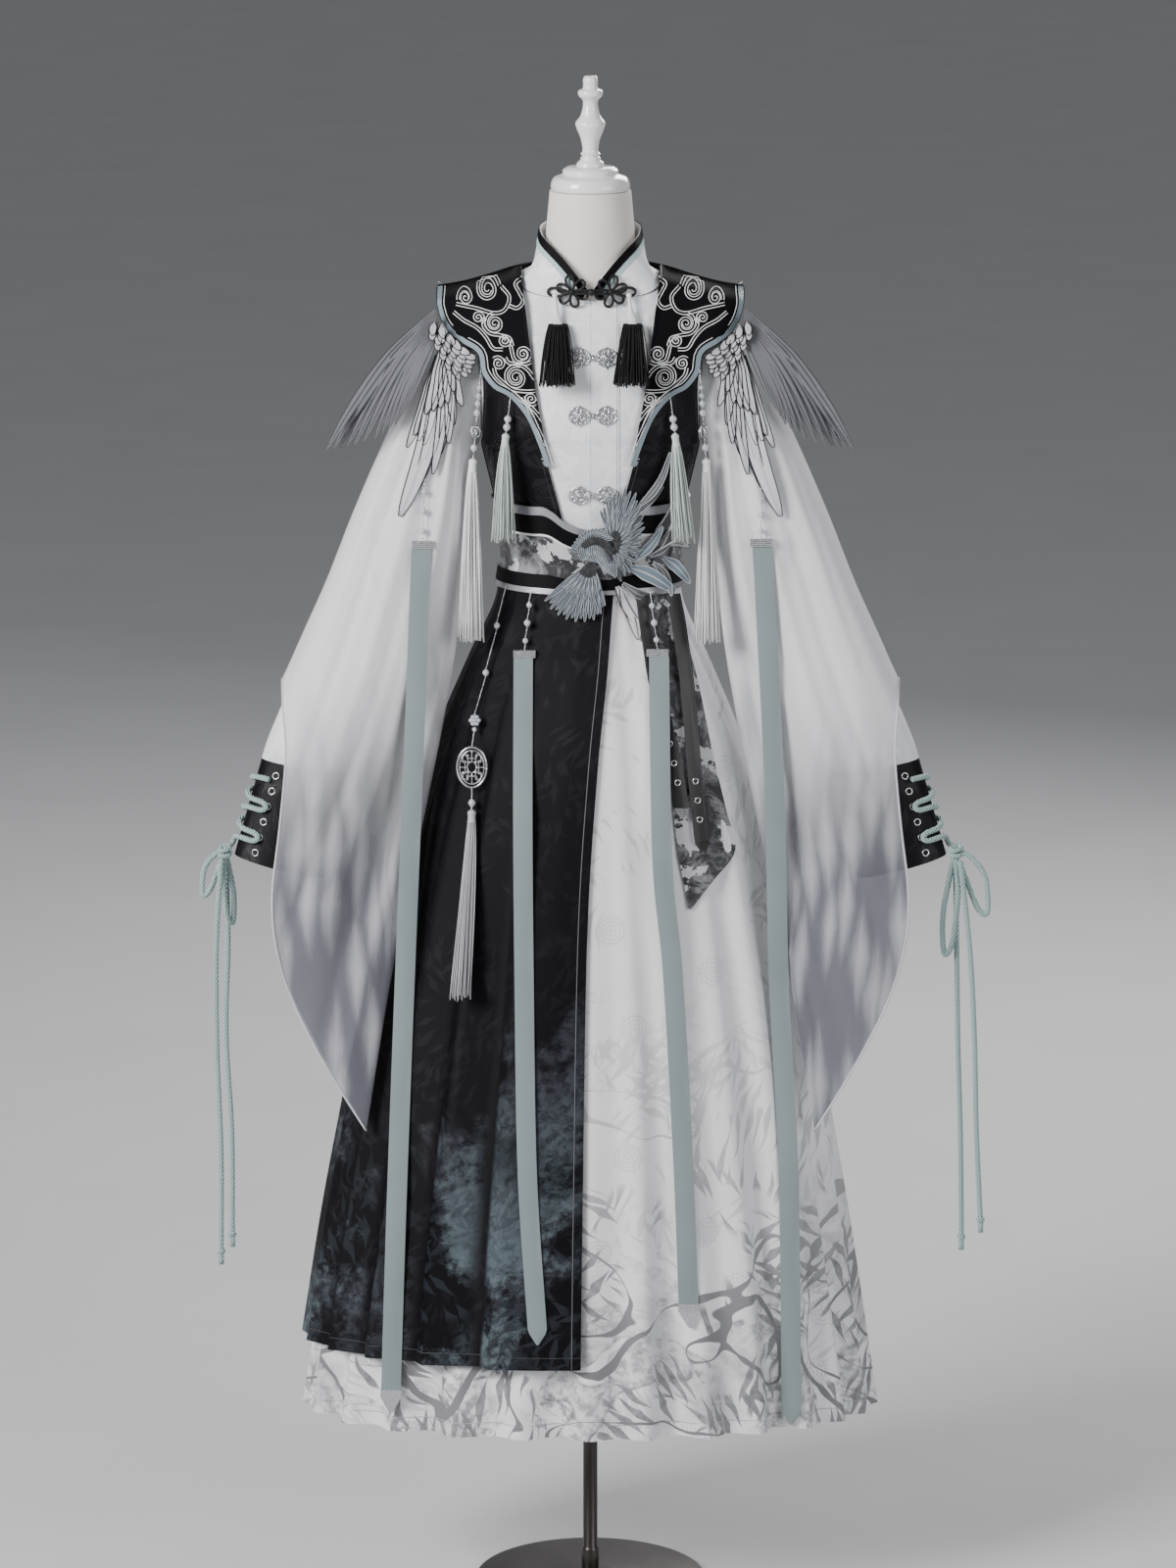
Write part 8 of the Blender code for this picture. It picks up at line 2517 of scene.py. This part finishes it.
# A bow's loops from its knot: x outwards, depth, height
BOW = ((0.0000, 0.0000, 0.0000), (-0.0060, 0.0000, -0.0300), (-0.0150, 0.0000, -0.0850),
       (-0.0130, 0.0000, -0.1350), (-0.0030, -0.0030, -0.1200), (0.0030, -0.0060, -0.0600),
       (0.0010, -0.0080, -0.0100), (0.0150, -0.0100, -0.0060), (0.0360, -0.0120, -0.0330),
       (0.0400, -0.0130, -0.0780), (0.0280, -0.0140, -0.0740), (0.0120, -0.0160, -0.0350),
       (0.0040, -0.0170, -0.0140))
BOW_SCALE = {-1: 0.70, 1: 1.0}
# Free tails: side, how far before the knot they hang, x and height of the route, length
TAILS = (
    ("lacing_tail_left_inner", -1, 0.0066,
     ((0.4580, 0.9960), (0.4560, 0.880), (0.4600, 0.760), (0.4545, 0.630), (0.4553, 0.4904)), 0.507),
    ("lacing_tail_left_outer", -1, -0.0233,
     ((0.4612, 0.9920), (0.4690, 0.880), (0.4700, 0.750), (0.4665, 0.610), (0.4681, 0.4760)), 0.517),
    ("lacing_tail_right_inner", 1, 0.0066,
     ((0.4580, 0.9960), (0.4610, 0.870), (0.4640, 0.750), (0.4690, 0.620), (0.4718, 0.4865)), 0.511),
    ("lacing_tail_right_outer", 1, -0.0233,
     ((0.4625, 0.9880), (0.4760, 0.870), (0.4830, 0.760), (0.4870, 0.640), (0.4940, 0.5179)), 0.473),
)


def cuff_point(side, share, turn, out):
    """A point outside the cuff: share from its top to its foot, turn in degrees from its outer edge."""
    place = share * (len(CUFF) - 1)
    section = [float(np.interp(place, range(len(CUFF)), CUFF[:, column])) for column in range(CUFF.shape[1])]
    outer_x, outer_z, inner_x, inner_z, half_depth = section
    angle = math.radians(turn)
    along = 0.5 * (1.0 - math.cos(angle))
    return np.array((
        side * (outer_x + (inner_x - outer_x) * along + out * math.cos(angle)),
        sleeve_plane(0.5 * (outer_z + inner_z)) - (half_depth + out) * math.sin(angle),
        outer_z + (inner_z - outer_z) * along,
    ))


def knot_of(side):
    return np.array((side * KNOT[0], cuff_point(side, 1.0, 0.0, 0.0)[1] - KNOT_LIFT, KNOT[1]))


def add_lacings():
    for side, label in SIDES:
        path, eyelets = [], []
        drop = (LACE_LOW - LACE_TOP) / LACE_CROSSINGS
        bend = LACE_BEND / (CUFF[0, 1] - CUFF[-1, 1])
        for crossing in range(LACE_CROSSINGS):
            start = LACE_TOP + drop * crossing
            way = 1.0 if crossing % 2 == 0 else -1.0
            for turn, share in ((LACE_TURN, bend), (0.52 * LACE_TURN, 0.3 * drop), (0.0, 0.5 * drop),
                                (-0.52 * LACE_TURN, 0.7 * drop), (-LACE_TURN, drop - bend)):
                path.append(cuff_point(side, start + share, way * turn, LACE_OUT))
            if crossing < LACE_CROSSINGS - 1:
                path.append(cuff_point(side, start + drop, -way * (LACE_TURN + 6.0), LACE_OUT))
        for eyelet in range(LACE_CROSSINGS + 1):
            share = LACE_TOP + drop * eyelet
            for way in (-1.0, 1.0):
                middle = cuff_point(side, share, way * (LACE_TURN + 5.0), 0.0004)
                aside = cuff_point(side, share, way * (LACE_TURN + 9.0), 0.0004) - middle
                aside /= np.linalg.norm(aside)
                down = cuff_point(side, share + 0.03, way * (LACE_TURN + 5.0), 0.0004) - middle
                down /= np.linalg.norm(down)
                turns = np.linspace(0.0, math.tau, 21)[:, None]
                eyelets.append(middle + 0.0040 * (np.cos(turns) * aside + np.sin(turns) * down))
        knot = knot_of(side)
        path = path[:-2]
        path.append(cuff_point(side, LACE_LOW, 0.0, LACE_OUT + LAST_LIFT))
        for across, deep, rise in BOW:
            scale = BOW_SCALE[side]
            path.append(knot + np.array((side * across * scale, deep, rise * scale)))
        path = smooth_route(path, 420)
        dress(tubes(f"lacing_cord_{label}", [path], CORD_RADIUS, 12, CORD), f"lacing_{label}",
              slot="seafoam_cord")
        dress(tubes(f"lacing_eyelets_{label}", eyelets, 0.0008, 7, SILVER))
        wraps = []
        for wrap, height in enumerate((-0.0045, 0.0020)):
            turns = np.linspace(0.0, math.tau, 33)
            middle = knot + np.array((0.0, -0.0060, height))
            wraps.append(middle + np.stack([0.0068 * np.cos(turns), 0.0085 * np.sin(turns),
                                            0.0020 * np.sin(turns + wrap)], axis=1))
        dress(tubes(f"bow_knot_{label}", wraps, 0.0030, 10, CORD))


def add_tails():
    for name, side, before, route, length in TAILS:
        knot = knot_of(side)
        path = smooth_route([(side * x, knot[1] + before, height) for x, height in route], 90)
        curve = bpy.data.curves.new(name + "_cord", "CURVE")
        curve.dimensions = "3D"
        curve.bevel_depth = CORD_RADIUS
        curve.bevel_resolution = 3
        curve.use_fill_caps = True
        spline = curve.splines.new("POLY")
        spline.points.add(len(path) - 1)
        for point, place in zip(spline.points, path):
            point.co = (*place, 1.0)
        spline.use_smooth = True
        curve.materials.append(CORD)
        made = bpy.data.objects.new(name + "_cord", curve)
        bpy.context.scene.collection.objects.link(made)
        x, y, height = path[-1]
        end = beads(name + "_knot", [(x, y, height + 0.0050, 0.0056, 0.8)], CORD, 10, 16)
        sheath = tubes(name + "_tip", [np.array([(x, y, height + 0.001), (x, y, height - 0.0120)])], 0.0037,
                       12, CORD)
        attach(made, "root")
        dress(end)
        dress(sheath)
        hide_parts(name)


# Putting everything together

def add_cloth():
    build_shirt()
    build_vest()
    build_collars()
    build_belt()
    build_white_skirt()
    build_overskirt()
    mark_pleat_shade()
    build_sleeves()


def add_trims():
    add_embroidery()
    add_bindings()
    add_belt_bands()
    add_seams()
    add_sash()
    add_frog()
    add_clasps()
    add_applique()
    add_wings()
    add_tassels()
    add_collar_tassels()
    add_pendant()
    add_ribbons()
    add_lacings()
    add_tails()


add_studio()
add_form()
add_cloth()
add_trims()
bpy.context.view_layer.update()
